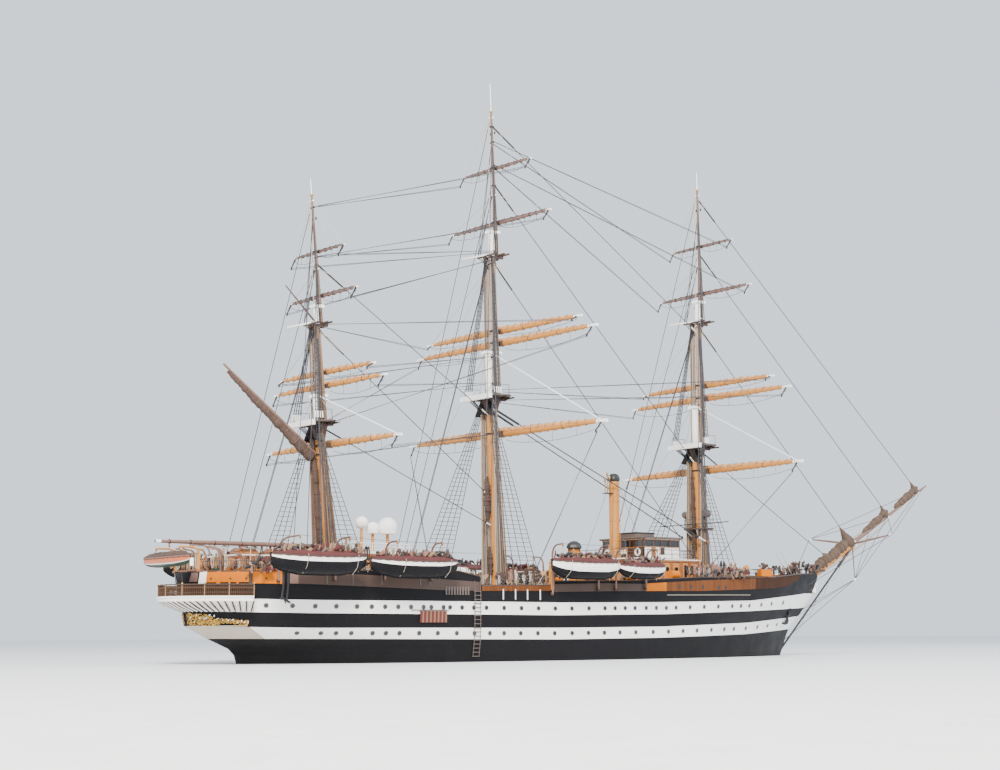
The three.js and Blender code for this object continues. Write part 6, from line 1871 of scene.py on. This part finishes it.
# %% Wheelhouse
a, f, h = 16.3, 21.3, 3.2     # after end, fore end, half width
FLOOR, SILL, HEAD, ROOF, UPPER = 9.9, 11.15, 11.85, 12.15, 12.65
BUOY_Y, BUOY_Z, BUOY_R = 2.35, 10.6, 0.33       # the lifebuoys on the after wall
shape = Shape()
walls = [((a, a + 0.12), (-h, h)), ((f - 0.12, f), (-h, h)), ((a, f), (-h, -h + 0.12)),
    ((a, f), (h - 0.12, h))]
for x, y in walls:
    box(shape, x, y, (FLOOR + 0.01, SILL), "gallery_brown" if x == (a, a + 0.12) else "white")
    box(shape, x, y, (HEAD, ROOF - 0.15), "white")
SIDE_PITCH, FRONT_PITCH = (f - a - 0.3) / 4, (2 * h - 0.3) / 6
for side in SIDES:
    y = (h - 0.12, h) if side > 0 else (-h, -h + 0.12)
    for k in range(5):
        x = a + 0.15 + SIDE_PITCH * k
        box(shape, (max(x - 0.13, a), min(x + 0.13, f)), y, (SILL, HEAD), "brown", edge=0.02)
    for k in range(4):
        x = a + 0.15 + SIDE_PITCH * (k + 0.5)
        inside = (h - 0.08, h - 0.05) if side > 0 else (-h + 0.05, -h + 0.08)
        box(shape, (x - SIDE_PITCH / 2 + 0.12, x + SIDE_PITCH / 2 - 0.12), inside, (SILL, HEAD), "glass")
for x in ((a, a + 0.12), (f - 0.12, f)):
    for k in range(7):
        y = -h + 0.15 + FRONT_PITCH * k
        box(shape, x, (max(y - 0.12, -h), min(y + 0.12, h)), (SILL, HEAD), "brown", edge=0.02)
    for k in range(6):
        y = -h + 0.15 + FRONT_PITCH * (k + 0.5)
        box(shape, (x[0] + 0.05, x[0] + 0.08), (y - FRONT_PITCH / 2 + 0.11, y + FRONT_PITCH / 2 - 0.11),
            (SILL, HEAD), "glass")
for z, thick in ((SILL - 0.04, 0.06), (HEAD + 0.02, 0.06), (FLOOR + 0.12, 0.1)):
    ring = [(a, -h, z), (f, -h, z), (f, h, z), (a, h, z), (a, -h, z)]
    for p, q in zip(ring, ring[1:]):
        plank(shape, p, q, 0.1, thick, "teak" if z > 10.5 else "white")
box(shape, (a - 0.25, f + 0.3), (-h - 0.25, h + 0.25), (ROOF - 0.2, ROOF), "faded", edge=0.06)
box(shape, (a, a + 2.6), (-1.9, 1.9), (ROOF - 0.02, UPPER - 0.12), "faded")
box(shape, (a - 0.1, a + 2.7), (-2.0, 2.0), (UPPER - 0.14, UPPER), "black", edge=0.04)
for side in SIDES:
    y = side * (h + 0.02)
    hoop(shape, (a - 0.1, side * BUOY_Y, BUOY_Z), (1, 0, 0), BUOY_R, 0.1, "dome", 24, 8)
    turned(shape, [(0.24, 0), (0.24, 0.03)], "brown", (a - 0.03, side * BUOY_Y, BUOY_Z), (-1, 0, 0), 16)
    for angle in (0.8, 2.35, 3.9, 5.5):
        centre = vec(a - 0.1, side * BUOY_Y + BUOY_R * cos(angle), BUOY_Z + BUOY_R * sin(angle))
        hoop(shape, centre, (0, -sin(angle), cos(angle)), 0.1, 0.025, "red", 10, 4)
    box(shape, (17.3, 17.9), about(y, 0.02), (9.98, 11.1), "teak", edge=0.01)
    porthole(shape, (17.6, y + side * 0.02, 10.8), (0, side, 0), 0.14, "bronze")
    stanchion_rail(shape, [(16.4, side * 3.62, 9.9), (21.4, side * 3.62, 9.9)], 0.95,
        1.5, 2, "faded", "brown")
    box(shape, (18.55, 19.1), about(y, 0.03), (10.35, 11.12), "brown", edge=0.01)
box(shape, (a - 0.1, a + 0.02), (-0.5, 0.4), (10.5, 11.1), "dome", edge=0.04)
shape.piece("wheelhouse_built", replaces=["wheelhouse"], slot="white_paint")

# %% Funnel with its whistles
FUNNEL_X, FUNNEL_R, FUNNEL_TOP, FUNNEL_FOOT = 15.2, 0.52, 18.65, 9.9
shape = Shape()
r, top, foot = FUNNEL_R, FUNNEL_TOP, FUNNEL_FOOT
turned(shape, [(0, foot + 0.005), (r + 0.12, foot + 0.005), (r + 0.12, foot + 0.3), (r + 0.02, foot + 0.4),
    (r, foot + 0.45), (r, top - 0.78), (0, top - 0.78)], "buff", (FUNNEL_X, 0, 0), sides=36)
turned(shape, [(0, top - 0.8), (r + 0.03, top - 0.8), (0.62, top - 0.66), (0.62, top - 0.5),
    (0.55, top - 0.25), (0.38, top - 0.05), (0.26, top), (0.24, top - 0.1), (0, top - 0.1)], "black",
    (FUNNEL_X, 0, 0), sides=36)
for z in (11.8, 13.8, 15.8, 17.0):
    hoop(shape, (FUNNEL_X, 0, z), (0, 0, 1), r + 0.005, 0.03, "buff", 36)
for side in SIDES:
    ladder_x = FUNNEL_X + 0.22 * side
    tube(shape, [(ladder_x, -r - 0.14, foot + 0.3), (ladder_x, -r - 0.14, top - 0.9)], 0.022, "buff", 6)
for z in np.arange(foot + 0.6, top - 0.9, 0.36):
    tube(shape, [(FUNNEL_X - 0.22, -r - 0.14, z), (FUNNEL_X + 0.22, -r - 0.14, z)], 0.016, "buff", 5)
# whistles and their pipes: how far abaft the funnel's middle, height of the pipe
for k, (x, height) in enumerate(((-0.7, 1.3), (-0.92, 1.7), (-1.12, 1.1))):
    base = (FUNNEL_X + x, -0.15 + 0.12 * k, top - 2.0)
    tube(shape, [base, (base[0], base[1], base[2] + height)], 0.05, "bronze", 8)
    turned(shape, [(0.05, 0), (0.1, 0.05), (0.1, 0.38), (0.03, 0.5)], "bronze",
        (base[0], base[1], base[2] + height), sides=12)
box(shape, (FUNNEL_X - 1.25, FUNNEL_X - r + 0.1), (-0.4, 0.4), (top - 2.08, top - 2.0), "black", edge=0.01)
for angle in (0.7, 2.4, 3.9, 5.5):
    out = vec(cos(angle), sin(angle), 0)
    rope(shape, vec(FUNNEL_X, 0, top - 1.3) + out * r, vec(FUNNEL_X, 0, foot + 0.1) + out * 3.2, 0.02)
shape.piece("funnel_built", replaces=["funnel"], slot="buff_paint")

# %% Vent house and aerial covers
shape = Shape()
box(shape, (9.3, 10.3), (-0.5, 0.5), (6.9, 10.9), "buff", edge=0.1)
for k in range(6):
    z = 9.3 + 0.2 * k
    for side in SIDES:
        box(shape, (9.45, 10.15), about(side * 0.52, 0.03), (z, z + 0.09), "black")
        box(shape, about(9.8 + side * 0.52, 0.03), (-0.35, 0.35), (z, z + 0.09), "black")
turned(shape, [(0.55, -0.1), (0.8, 0.0), (0.79, 0.2), (0.62, 0.5), (0.3, 0.7), (0, 0.74)], "black",
    (9.8, 0, 10.9), sides=8)
box(shape, (9.2, 10.4), (-0.6, 0.6), (6.9, 7.25), "white", edge=0.05)
shape.piece("vent_house_built", replaces=["vent_house"], slot="buff_paint")

# station, height, radius, whether it is a full ball
COVERS = [(-16.9, 12.4, 0.58, True), (-15.7, 11.9, 0.6, False), (-14.1, 12.1, 0.88, False)]
COVER_Y, CHART_TOP = -2.2, 9.7
shape = Shape()
box(shape, (-17.4, -13.2), (-2.9, -1.5), (CHART_TOP + 0.005, CHART_TOP + 0.12), "white", edge=0.02)
for x, z, r, full in COVERS:
    low = -pi / 2 if full else 0.0
    profile = [(r * cos(a), r * sin(a)) for a in np.linspace(low, pi / 2, 14)]
    if not full:
        profile = [(r * 0.7, -r * 0.75), (r * 0.92, -r * 0.7), (r * 0.98, -r * 0.3)] + profile
    turned(shape, profile, "dome", (x, COVER_Y, z), sides=32)
    turned(shape, [(r * 0.93, -0.03), (r * 0.98 + 0.03, -0.03), (r * 0.98 + 0.03, 0.03), (r * 0.93, 0.03)],
        "white", (x, COVER_Y, z - (0 if full else r * 0.2)), sides=32)
    turned(shape, [(0.2, 0), (0.14, 0.1), (0.14, z - r * 0.6 - CHART_TOP - 0.1),
        (0.34, z - r * 0.7 - CHART_TOP)], "buff", (x, COVER_Y, CHART_TOP + 0.1), sides=16)
shape.piece("aerial_covers", replaces=["radomes"], slot="white_paint")

# %% [markdown]
# ## Figurehead, gilding and ground tackle
# Under the bowsprit stands a robed figure of gilded and painted wood, leaning out with the stem. The face
# is a plain, calm one. Gilded scrolls wrap the counter at the stern.

# %% Carve the figure
shape = Shape()
shape.frame = np.array(Matrix.Translation((44.4, 0, 6.8)) @ Matrix.Rotation(radians(29), 4, "Y"))
# height, half width across, half depth ahead, how deep the folds are, middle ahead
ROBE = [(0, 0.28, 0.3, 0.03, -0.02), (0.12, 0.34, 0.36, 0.05, 0), (0.35, 0.31, 0.33, 0.05, 0),
    (0.7, 0.25, 0.26, 0.04, 0), (0.88, 0.2, 0.2, 0.015, 0), (1.02, 0.23, 0.21, 0.01, 0.01),
    (1.18, 0.28, 0.22, 0.008, 0.02), (1.3, 0.29, 0.17, 0.005, 0.01), (1.37, 0.2, 0.12, 0, 0),
    (1.4, 0.085, 0.085, 0, 0), (1.48, 0.075, 0.08, 0, 0.01)]
rings = []
for z, wide, deep, fold, ahead in ROBE:
    spin = np.linspace(0, 2 * pi, 40, endpoint=False)
    ripple = 1 + fold / 0.3 * np.cos(11 * spin + z * 2)
    rings.append(np.column_stack([ahead + deep * ripple * np.cos(spin),
        wide * ripple * np.sin(spin), np.full(40, z)]))
skin(shape, rings, "dome")
head_at = vec(0.03, 0, 1.62)
ball(shape, head_at, 0.125, "dome", 20, (1.05, 0.88, 1.25))
ball(shape, head_at + [-0.04, 0, 0.04], 0.14, "gilt", 18, (1.0, 0.95, 1.1))
ball(shape, head_at + [0.135, 0, -0.01], 0.022, "dome", 8, (1, 0.8, 1.6))
ball(shape, head_at + [0.12, 0, -0.075], 0.024, "dome", 8, (0.6, 1.3, 0.5))
for side in SIDES:
    ball(shape, head_at + [0.112, side * 0.045, 0.02], 0.016, "dome", 8, (0.7, 1.3, 0.8))
    brow = [head_at + [0.12, side * 0.075, 0.045], head_at + [0.138, side * 0.03, 0.05]]
    tube(shape, brow, 0.009, "gilt", 5)
    tube(shape, [head_at + [-0.05, side * 0.1, 0.0], (-0.08, side * 0.15, 1.42), (-0.05, side * 0.18, 1.25)],
         [0.05, 0.06, 0.02], "gilt", 8)
    arm = [(0.02, side * 0.27, 1.27), (0.08, side * 0.33, 1.05), (0.2, side * 0.25, 0.95),
        (0.27, side * 0.08, 1.06)]
    tube(shape, arm, [0.085, 0.075, 0.06, 0.045], "dome", 10)
    ball(shape, (0.28, side * 0.05, 1.08), 0.05, "dome", 8)
hoop(shape, (0, 0, 0.9), (0, 0, 1), 0.205, 0.025, "gilt", 28)
hoop(shape, (0, 0, 0.06), (0, 0, 1), 0.32, 0.04, "gilt", 28)
shape.piece("figurehead_carved", replaces=["figurehead"], slot="gilt")


# %% Scrolls on the plating
CURL_TURNS, CURL_THICK = 1.4, 0.055
ROUND = {}              # the waterlines of the counter that were traced before


def round_stern(run, z, side):
    """A point on the counter's plating, a run of metres from the middle of the stern."""
    key = round(z * 20) / 20
    if key not in ROUND:
        line = stern_line(key, 0.06)
        line = line[len(line) // 2:]
        ROUND[key] = line, np.concatenate([[0],
            np.cumsum(np.linalg.norm(np.diff(line[:, :2], axis=0), axis=1))])
    line, marks = ROUND[key]
    return vec(np.interp(run, marks, line[:, 0]), side * np.interp(run, marks, line[:, 1]), z)


def curl(shape, side, run, z, size, start, hand, finish):
    """A spiral on the counter's plating that opens from its middle, with a leaf at the middle."""
    points, radii = [], []
    for t in np.linspace(0, 1, 26):
        angle = start + hand * t * CURL_TURNS * 2 * pi
        reach = size * (0.12 + 0.88 * t)
        points.append(round_stern(run + reach * cos(angle), z + reach * sin(angle), side))
        radii.append(CURL_THICK * (0.6 + 0.4 * sin(pi * t)))
    tube(shape, points, radii, finish, 6)
    ball(shape, round_stern(run, z, side), size * 0.2, finish, 8)


shape = Shape()
for side in SIDES:
    # round the counter, getting lower towards the waist: big scrolls at the stern, smaller ones beyond
    for k, run in enumerate(np.linspace(0.25, 7.5, 24)):
        ceiling = 4.34 - 0.075 * run - (0.25 if run > 2.6 else 0)
        rows = (ceiling - 0.26, 3.5) if run < 2.8 else (min(ceiling - 0.2, 3.72),)
        for row, z in enumerate(rows):
            size = (0.3 if run < 2.8 else 0.27) * (1 - 0.04 * run)
            curl(shape, side, run + 0.15 * row, z, size, 2.3 * k + row, 1 if (k + row) % 2 else -1,
                "gilt" if (k + row) % 3 else "bronze")
        for j in range(3):
            z = 3.3 + (ceiling - 3.35) * RNG.random()
            start = round_stern(run + 0.3 * RNG.random(), z, side)
            leaf = round_stern(run + 0.35, min(z + 0.22, ceiling), side)
            tube(shape, [start, (start + leaf) / 2, leaf], [0.03, 0.07, 0.02], ("dome", "gilt", "buff")[j], 6)
    # a moulding round the counter, in the darker cream of painted shade
    tube(shape, [round_stern(run, 3.22, side) for run in np.linspace(0, 7.8, 50)], 0.04, "counter", 6)
shape.piece("gilded_scrolls", slot="gilt")

# %% Hawse pipes and anchors
shape = Shape()
for side in SIDES:
    x, z = 38.3, 4.75
    normal = side_normal(x, z, side)
    hoop(shape, on_side(x, z, side, 0.02), normal, 0.32, 0.09, "charcoal", 22)
    turned(shape, [(0.29, -0.02), (0.29, 0.03)], "black", on_side(x, z, side, 0), normal, 18)
    shank_top, crown = on_side(x, z, side, 0.15), on_side(x - 0.35, z - 1.25, side, 0.2)
    tube(shape, [shank_top, crown], [0.09, 0.13], "black", 10)
    for k in (-1, 1):
        arm = [crown, crown + [0.38 * k, 0, 0.06], crown + [0.5 * k, 0, 0.55]]
        tube(shape, arm, [0.13, 0.11, 0.04], "black", 8)
        ball(shape, crown + [0.46 * k, side * 0.03, 0.36], 0.14, "black", 8, (0.8, 0.5, 1.5))
shape.piece("anchors", slot="rigging")

# %% [markdown]
# ## Rudder and screw
# Under the water a broad plate rudder hangs behind a four-bladed bronze screw. The blades are thin, and
# twisted from root to tip.

# %% Rudder and screw
RUDDER_AXIS, RUDDER_TOP, RUDDER_LOW, RUDDER_AFT = -26.95, -0.8, -6.8, -29.1
shape = Shape()
levels = np.linspace(RUDDER_LOW, RUDDER_TOP, 13)
rings = []
for z in levels:
    t = (z - RUDDER_LOW) / (RUDDER_TOP - RUDDER_LOW)
    aft = RUDDER_AFT + 0.35 * (1 - sin(pi * min(max(t, 0.06), 0.94))) ** 2
    chord = np.array([0, 0.1, 0.3, 0.6, 0.85, 1.0])
    thick = np.array([0.02, 0.12, 0.17, 0.13, 0.07, 0.02])
    x = RUDDER_AXIS + 0.29 + (aft - RUDDER_AXIS - 0.29) * chord
    rings.append([*zip(x, thick, [z] * 6), *zip(x[::-1], -thick[::-1], [z] * 6)])
skin(shape, rings, "antifouling")
tube(shape, [(RUDDER_AXIS, 0, -1.2), (RUDDER_AXIS, 0, 2.0)], 0.18, "antifouling", 20)
for z in (-6.3, -4.9, -3.4, -1.9):
    box(shape, (RUDDER_AXIS - 1.5, RUDDER_AXIS + 0.2), (-0.19, 0.19), about(z, 0.09),
        "antifouling", edge=0.03)
    box(shape, (-28.9, -28.6), (-0.11, 0.11), (z + 0.35, z + 0.75), "steel", edge=0.03)
shape.piece("rudder_built", "rudder", ["rudder"], slot="antifouling")

SCREW_X, SCREW_Z, HUB_R = -25.175, -4.1, 0.36
shape = Shape()
turned(shape, [(0.02, -0.45), (0.2, -0.44), (0.31, -0.3), (HUB_R, -0.1), (HUB_R, 0.42), (0.3, 0.448),
    (0, 0.448)], "bronze", (SCREW_X, 0, SCREW_Z), (1, 0, 0), 28)
# reach, half width, pitch angle, half thickness
BLADE = np.array([(0.1, 0.2, 1.1, 0.085), (0.35, 0.34, 1.0, 0.08), (0.8, 0.5, 0.75, 0.06),
    (1.1, 0.54, 0.64, 0.055), (1.4, 0.5, 0.55, 0.05), (1.65, 0.36, 0.49, 0.04), (1.79, 0.24, 0.46, 0.032),
    (1.84, 0.13, 0.45, 0.02)])
for k in range(4):
    turn = k * pi / 2
    radial, tangent = vec(0, cos(turn), sin(turn)), vec(0, -sin(turn), cos(turn))
    rings = []
    for reach, wide, pitch, thick in BLADE:
        ring = []
        for a in np.linspace(0, 2 * pi, 14, endpoint=False):
            u, w = wide * cos(a), thick * sin(a)
            across = u * cos(pitch) - w * sin(pitch)
            along = (u * sin(pitch) + w * cos(pitch)) * 0.8
            ring.append(vec(SCREW_X - along, 0, SCREW_Z) + radial * reach + tangent * across)
        rings.append(ring)
    skin(shape, rings, "bronze")
shape.piece("screw_built", "propeller", ["propeller"], slot="bronze")

# %% [markdown]
# ## Deck fittings
# Bitts, capstans, hatches, lockers and rails fill the decks. Life rafts lie in drums along the rail. The
# forward bulwark has small ports, and the poop carries the steering wheels abaft the mizzenmast.

# %% Bitts on their beds
for node_name, deck_name, x in (("mooring_bitts_fore", "forecastle", 38.4),
        ("mooring_bitts_aft", "poop", -31.6)):
    start, end, z0, z1 = DECKS[deck_name]
    slope = atan((z1 - z0) / (end - start))
    shape = Shape()
    shape.frame = np.array(Matrix.Translation((x, 0, deck_at(x) + 0.005)) @ Matrix.Rotation(-slope, 4, "Y"))
    box(shape, (-0.4, 0.4), (-0.9, 0.9), (0, 0.12), "black", edge=0.03)
    for y in (-0.45, 0.45):
        turned(shape, [(0, 0.1), (0.2, 0.1), (0.17, 0.22), (0.16, 0.45), (0.17, 0.7), (0.24, 0.75),
            (0.24, 0.82), (0.2, 0.85), (0, 0.85)], "white", (0, y, 0), sides=24)
    for k, (r, z) in enumerate(((0.21, 0.3), (0.22, 0.37), (0.2, 0.44), (0.21, 0.51))):
        hoop(shape, (0, 0.45 * (-1) ** k, z), (0, 0, 1), r, 0.035, "light_rope", 20)
    shape.piece(f"{node_name}_cast", replaces=[node_name], slot="steel")

# %% Furniture of the three decks
deck = Shape()


def capstan(x, y, z):
    turned(deck, [(0.5, 0), (0.5, 0.12), (0.34, 0.2), (0.26, 0.5), (0.3, 0.8), (0.42, 0.88), (0.42, 1.05),
        (0.3, 1.1), (0, 1.12)], "green", (x, y, z), sides=24)
    for k in range(6):
        a = k * pi / 3
        out = vec(cos(a), sin(a), 0)
        plank(deck, vec(x, y, z + 0.2) + out * 0.33, vec(x, y, z + 0.82) + out * 0.31, 0.06, 0.06, "bronze")


def cowl(x, y, z):
    r = 0.28
    path = [(x, y, z), (x, y, z + 0.9), (x + 0.05, y, z + 1.275), (x + 0.3, y, z + 1.5),
        (x + 0.5, y, z + 1.52)]
    tube(deck, path, [r * 0.7, r * 0.7, r * 0.8, r * 1.1, r * 1.35], "buff", 16, caps=False)
    hoop(deck, path[-1], (1, 0, 0), r * 1.35, 0.03, "buff", 18)
    turned(deck, [(r * 0.95, -0.02), (r * 0.95, 0.0)], "red", path[-2], (1, 0, 0), 14)


def raft_drum(x, y, z, finish):
    long, r = 1.3, 0.36
    turned(deck, [(r * 0.7, -long / 2), (r, -long / 2 + 0.1), (r, long / 2 - 0.1), (r * 0.7, long / 2)],
        finish, (x, y, z + r + 0.12), (1, 0, 0), 20)
    for k in (-0.32, 0.32):
        hoop(deck, (x + k * long, y, z + r + 0.12), (1, 0, 0), r + 0.01, 0.025, "black", 20)
        box(deck, about(x + k * long, 0.06), about(y, r), (z, z + 0.2), "grey", edge=0.02)


def locker(x, y, z, sx, sy, sz):
    box(deck, about(x, sx / 2), about(y, sy / 2), (z, z + sz), "teak", edge=0.03)
    box(deck, (x - sx / 2 - 0.05, x + sx / 2 + 0.05), (y - sy / 2 - 0.05, y + sy / 2 + 0.05),
        (z + sz - 0.06, z + sz + 0.03), "varnish", edge=0.02)


for x, y in ((-30.2, 0), (33.6, 0), (36.0, 0), (-5.6, 0)):
    capstan(x, y, deck_at(x) + 0.02)
for x, y in ((-30.6, 2.6), (-30.6, -2.6), (-20.6, 2.2), (-20.6, -2.2), (11.6, 2.4), (11.6, -2.4), (24.6, 2.6),
        (24.6, -2.6), (31.2, 2.4), (31.2, -2.4), (8.2, 3.2), (8.2, -3.2)):
    cowl(x, y, deck_at(x))
for x in (6.4, 2.2, 30.0, -10.4):
    z = deck_at(x)
    box(deck, about(x, 1.2), (-1.3, 1.3), (z - 0.05, z + 0.55), "teak", edge=0.04)
    box(deck, about(x, 1.3), (-1.4, 1.4), (z + 0.5, z + 0.64), "tan_rope", edge=0.05)
for side in SIDES:
    for x in (11.2, 13.0, 24.2, 25.8, 27.4, -9.2, -20.2):
        y = side * (half_breadth(x, 7.4) - 1.0)
        raft_drum(x, y, sheer(x) - 0.15 if x > 0 else 7.6, "ochre" if x in (11.2, 13.0, 24.2) else "white")
    for x in (-30.2, -10.6, 34.2, 29.0, 21.6):
        locker(x, side * (half_breadth(x, 7.4) - 0.9), deck_at(x), 1.5, 0.6, 0.75)
# twin steering wheels on one hub, and the binnacle ahead of them
WHEEL_Z, POOP_Z = 8.1, DECKS["poop"][2]
for x in (-20.2, -20.75):
    hoop(deck, (x, 0, WHEEL_Z), (1, 0, 0), 0.62, 0.045, "teak", 28)
    for k in range(10):
        a = k * pi / 5
        tube(deck, [(x, 0, WHEEL_Z), (x, 0.86 * cos(a), WHEEL_Z + 0.86 * sin(a))], [0.03, 0.022], "teak", 6)
turned(deck, [(0.08, -0.5), (0.12, -0.4), (0.12, 0.4), (0.08, 0.5)], "bronze",
    (-20.5, 0, WHEEL_Z), (1, 0, 0), 14)
for x in (-20.95, -20.05):
    box(deck, about(x, 0.06), (-0.12, 0.12), (POOP_Z, WHEEL_Z), "teak", edge=0.02)
turned(deck, [(0.28, 0), (0.24, 0.1), (0.2, 0.9), (0.26, 1.0), (0.26, 1.1), (0.18, 1.32), (0, 1.4)], "bronze",
       (-19.9, 0, POOP_Z), sides=20)
# fife rails round the masts
FIFE_Y = 1.15
for mast in MASTS.values():
    z = mast.deck + 0.95
    for side in SIDES:
        for x in (-1.0, 1.0):
            box(deck, about(mast.x + x, 0.09), about(side * FIFE_Y, 0.09),
                (mast.deck - 0.1, z), "white", edge=0.02)
        box(deck, about(mast.x, 1.2), about(side * FIFE_Y, 0.12), (z, z + 0.12), "teak", edge=0.03)
        for k in range(7):
            x = mast.x - 1.0 + k / 3
            tube(deck, [(x, side * FIFE_Y, z - 0.25), (x, side * FIFE_Y, z + 0.4)],
                [0.03, 0.045], "bronze", 6)
            hoop(deck, (x, side * 1.3, z - 0.2), (0.1, 1, 0), 0.17, 0.05, "light_rope", 10, 5)
# ladders at the breaks of the decks
for side in SIDES:
    for x0, z0, x1, z1 in ((-6.4, 5.8, -7.5, 7.1), (-0.4, 5.8, 0.7, 6.7)):
        for y in (side * 3.6, side * 4.4):
            plank(deck, (x0, y, z0), (x1, y, z1), 0.06, 0.18, "teak")
        for k in range(5):
            t = (k + 0.5) / 5
            box(deck, about(x0 + (x1 - x0) * t, 0.12), about(side * 4.0, 0.4),
                about(z0 + (z1 - z0) * t, 0.02), "teak")
# rails at the breaks, round the poop and along the forecastle
for start, end, gap in ((-32.8, -27.9, 1.3), (-11.6, -8.1, 1.2), (1.0, 7.6, 1.3), (24.0, 41.5, 1.5)):
    for side in SIDES:
        path = np.array(along_side(np.linspace(start, end, 24), sheer, side, -0.12)) + [0, 0, 0.07]
        stanchion_rail(deck, path, 0.72 if start > 20 else 0.8, gap, 2, "wire", "wire")
for x in (-8.0, 0.9):
    stanchion_rail(deck, [(x, 7.2, 7.1 if x < 0 else 6.75), (x, -7.2, 7.1 if x < 0 else 6.75)], 0.9, 1.3)
gear(deck, (38.6, -2.6, 8.9), (44.2, 2.6, 10.0), 70)
for x in (35.3, 36.1):
    tube(deck, [(x + 1.5, -3.3, 8.8), (x, -3.3, 11.0)], [0.05, 0.035], "light_rope", 6)
for side in SIDES:
    for low, high, count in (((-7.2, 7.0, 6.5), (0.2, 7.4, 7.7), 46),
            ((19.6, 6.5, 8.0), (27.6, 6.8, 8.9), 60), ((-31.0, 5.6, 7.8), (-10.0, 6.8, 8.7), 110),
            ((0.5, 6.9, 7.6), (10.4, 7.3, 8.7), 46)):
        gear(deck, (low[0], side * low[1], low[2]), (high[0], side * high[1], high[2]), count)
    turned(deck, [(0, -0.65), (0.4, -0.62), (0.42, 0.62), (0, 0.65)], "ochre",
        (17.2, side * 6.5, 8.2), (1, 0.2, 0), 18)
    box(deck, (30.6, 32.2), about(side * 5.3, 0.4), (8.3, 9.05), "ochre", edge=0.06)
    for x in (16.9, 18.6, 20.4, 22.9, 24.1):
        board(deck, side, (x, x + 0.3), [(x, 6.85)], [(x, 7.2)], "black", 0.07)
# awning stanchions, curved frames and coils over the poop's after end
AWNING_AT, AWNING_HIGH = (-33.0, -31.4, -29.6, -27.9), 1.75
for side in SIDES:
    feet = [rail_point(x, side, 0.3) for x in AWNING_AT]
    for foot in feet:
        tube(deck, [foot, foot + [0, 0, AWNING_HIGH]], 0.04, "light_rope", 6)
    tube(deck, [foot + [0, 0, AWNING_HIGH] for foot in feet], 0.02, "tan_rope", 5)
    for x, y, high in ((-31.6, 3.3, 2.6), (-30.9, 2.4, 2.7), (-29.9, 4.3, 2.1), (-32.0, 1.5, 2.6)):
        path = [(x, side * y, 7.2), (x, side * y, 7.2 + high * 0.6)]
        for turn in np.linspace(0.3, 1.5, 5):
            path.append((x - 0.9 * (1 - cos(turn)) - 0.5 * (turn > 1), side * y,
                7.2 + high * (0.6 + 0.4 * sin(turn))))
        tube(deck, path, [0.1] * 4 + [0.08] * 3, "mast_brown" if y > 2.5 else "tan_rope", 8)
    for k in range(26):
        foot = rail_point(-33.0 + 0.22 * k, side, 0.5)
        long = 0.3 + 0.35 * RNG.random()
        paint = ("light_rope", "tan_rope", "net", "brown")[k % 4]
        coil(deck, foot + [0, 0, 0.2 + long], 0.05, long, 0.05, paint)
tube(deck, [(-34.85, -4.42, 8.12), (-34.85, -4.42, 8.76)], 0.16, "dome", 12)
deck.piece("deck_fittings", slot="varnished_wood")

# %% What hangs on the side
hung = Shape()
for side in SIDES:
    # scuppers below the waist
    for x in (-5.2, -3.8, -2.4, -0.9):
        y = side * (half_breadth(x, 6.0) + 0.05)
        tube(hung, [(x, y, 6.5), (x, y, 5.56)], 0.05, "white", 8)
    # a slatted door in the poop's side
    for k in range(9):
        x = -11.6 + 0.3 * k
        board(hung, side, (x, x + 0.16), [(x, 5.92)], [(x, 6.66)], "faded", 0.07)
    # a pilot ladder, its steps held by two ropes
    for x in (-8.42, -7.78):
        path = [(x, side * (half_breadth(x, z) + 0.08), z) for z in np.linspace(7.2, 0.5, 14)]
        tube(hung, path, 0.03, "faded", 5)
    for z in np.arange(0.5, 6.6, 0.36):
        y = side * (half_breadth(-8.1, z) + 0.1)
        box(hung, (-8.5, -7.7), (min(y, y - side * 0.08), max(y, y - side * 0.08)), about(z, 0.03), "faded")
    # a folded gangway in its rack
    for k in range(14):
        x = -14.25 + 0.2 * k
        paint = ("gangway_red", "gangway_pink")[k % 2]
        board(hung, side, (x, x + 0.17), [(x, 3.5)], [(x, 4.5)], paint, 0.12)
    tube(hung, along_side(np.linspace(-15.2, -11.3, 8), level(4.56), side, 0.1), 0.04, "brown", 6)
    # the sheer line that marks the forecastle deck
    path = along_side(np.linspace(15.3, 28.7, 20),
        lambda x: np.interp(x, (15.3, 28.7), (6.17, 6.34)), side, 0.02)
    strip(hung, path, 0.045, 0.04, "light_rope")
hung.piece("side_gear", slot="white_paint")

# %% [markdown]
# ## Measure
# Last, the box of the finished ship is printed beside the box of the solids.

# %% Print the sizes
sizes = {"cad": [list(corner) for corner in CAD_BOX], "visual": [list(corner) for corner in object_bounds()]}
print(json.dumps(sizes))
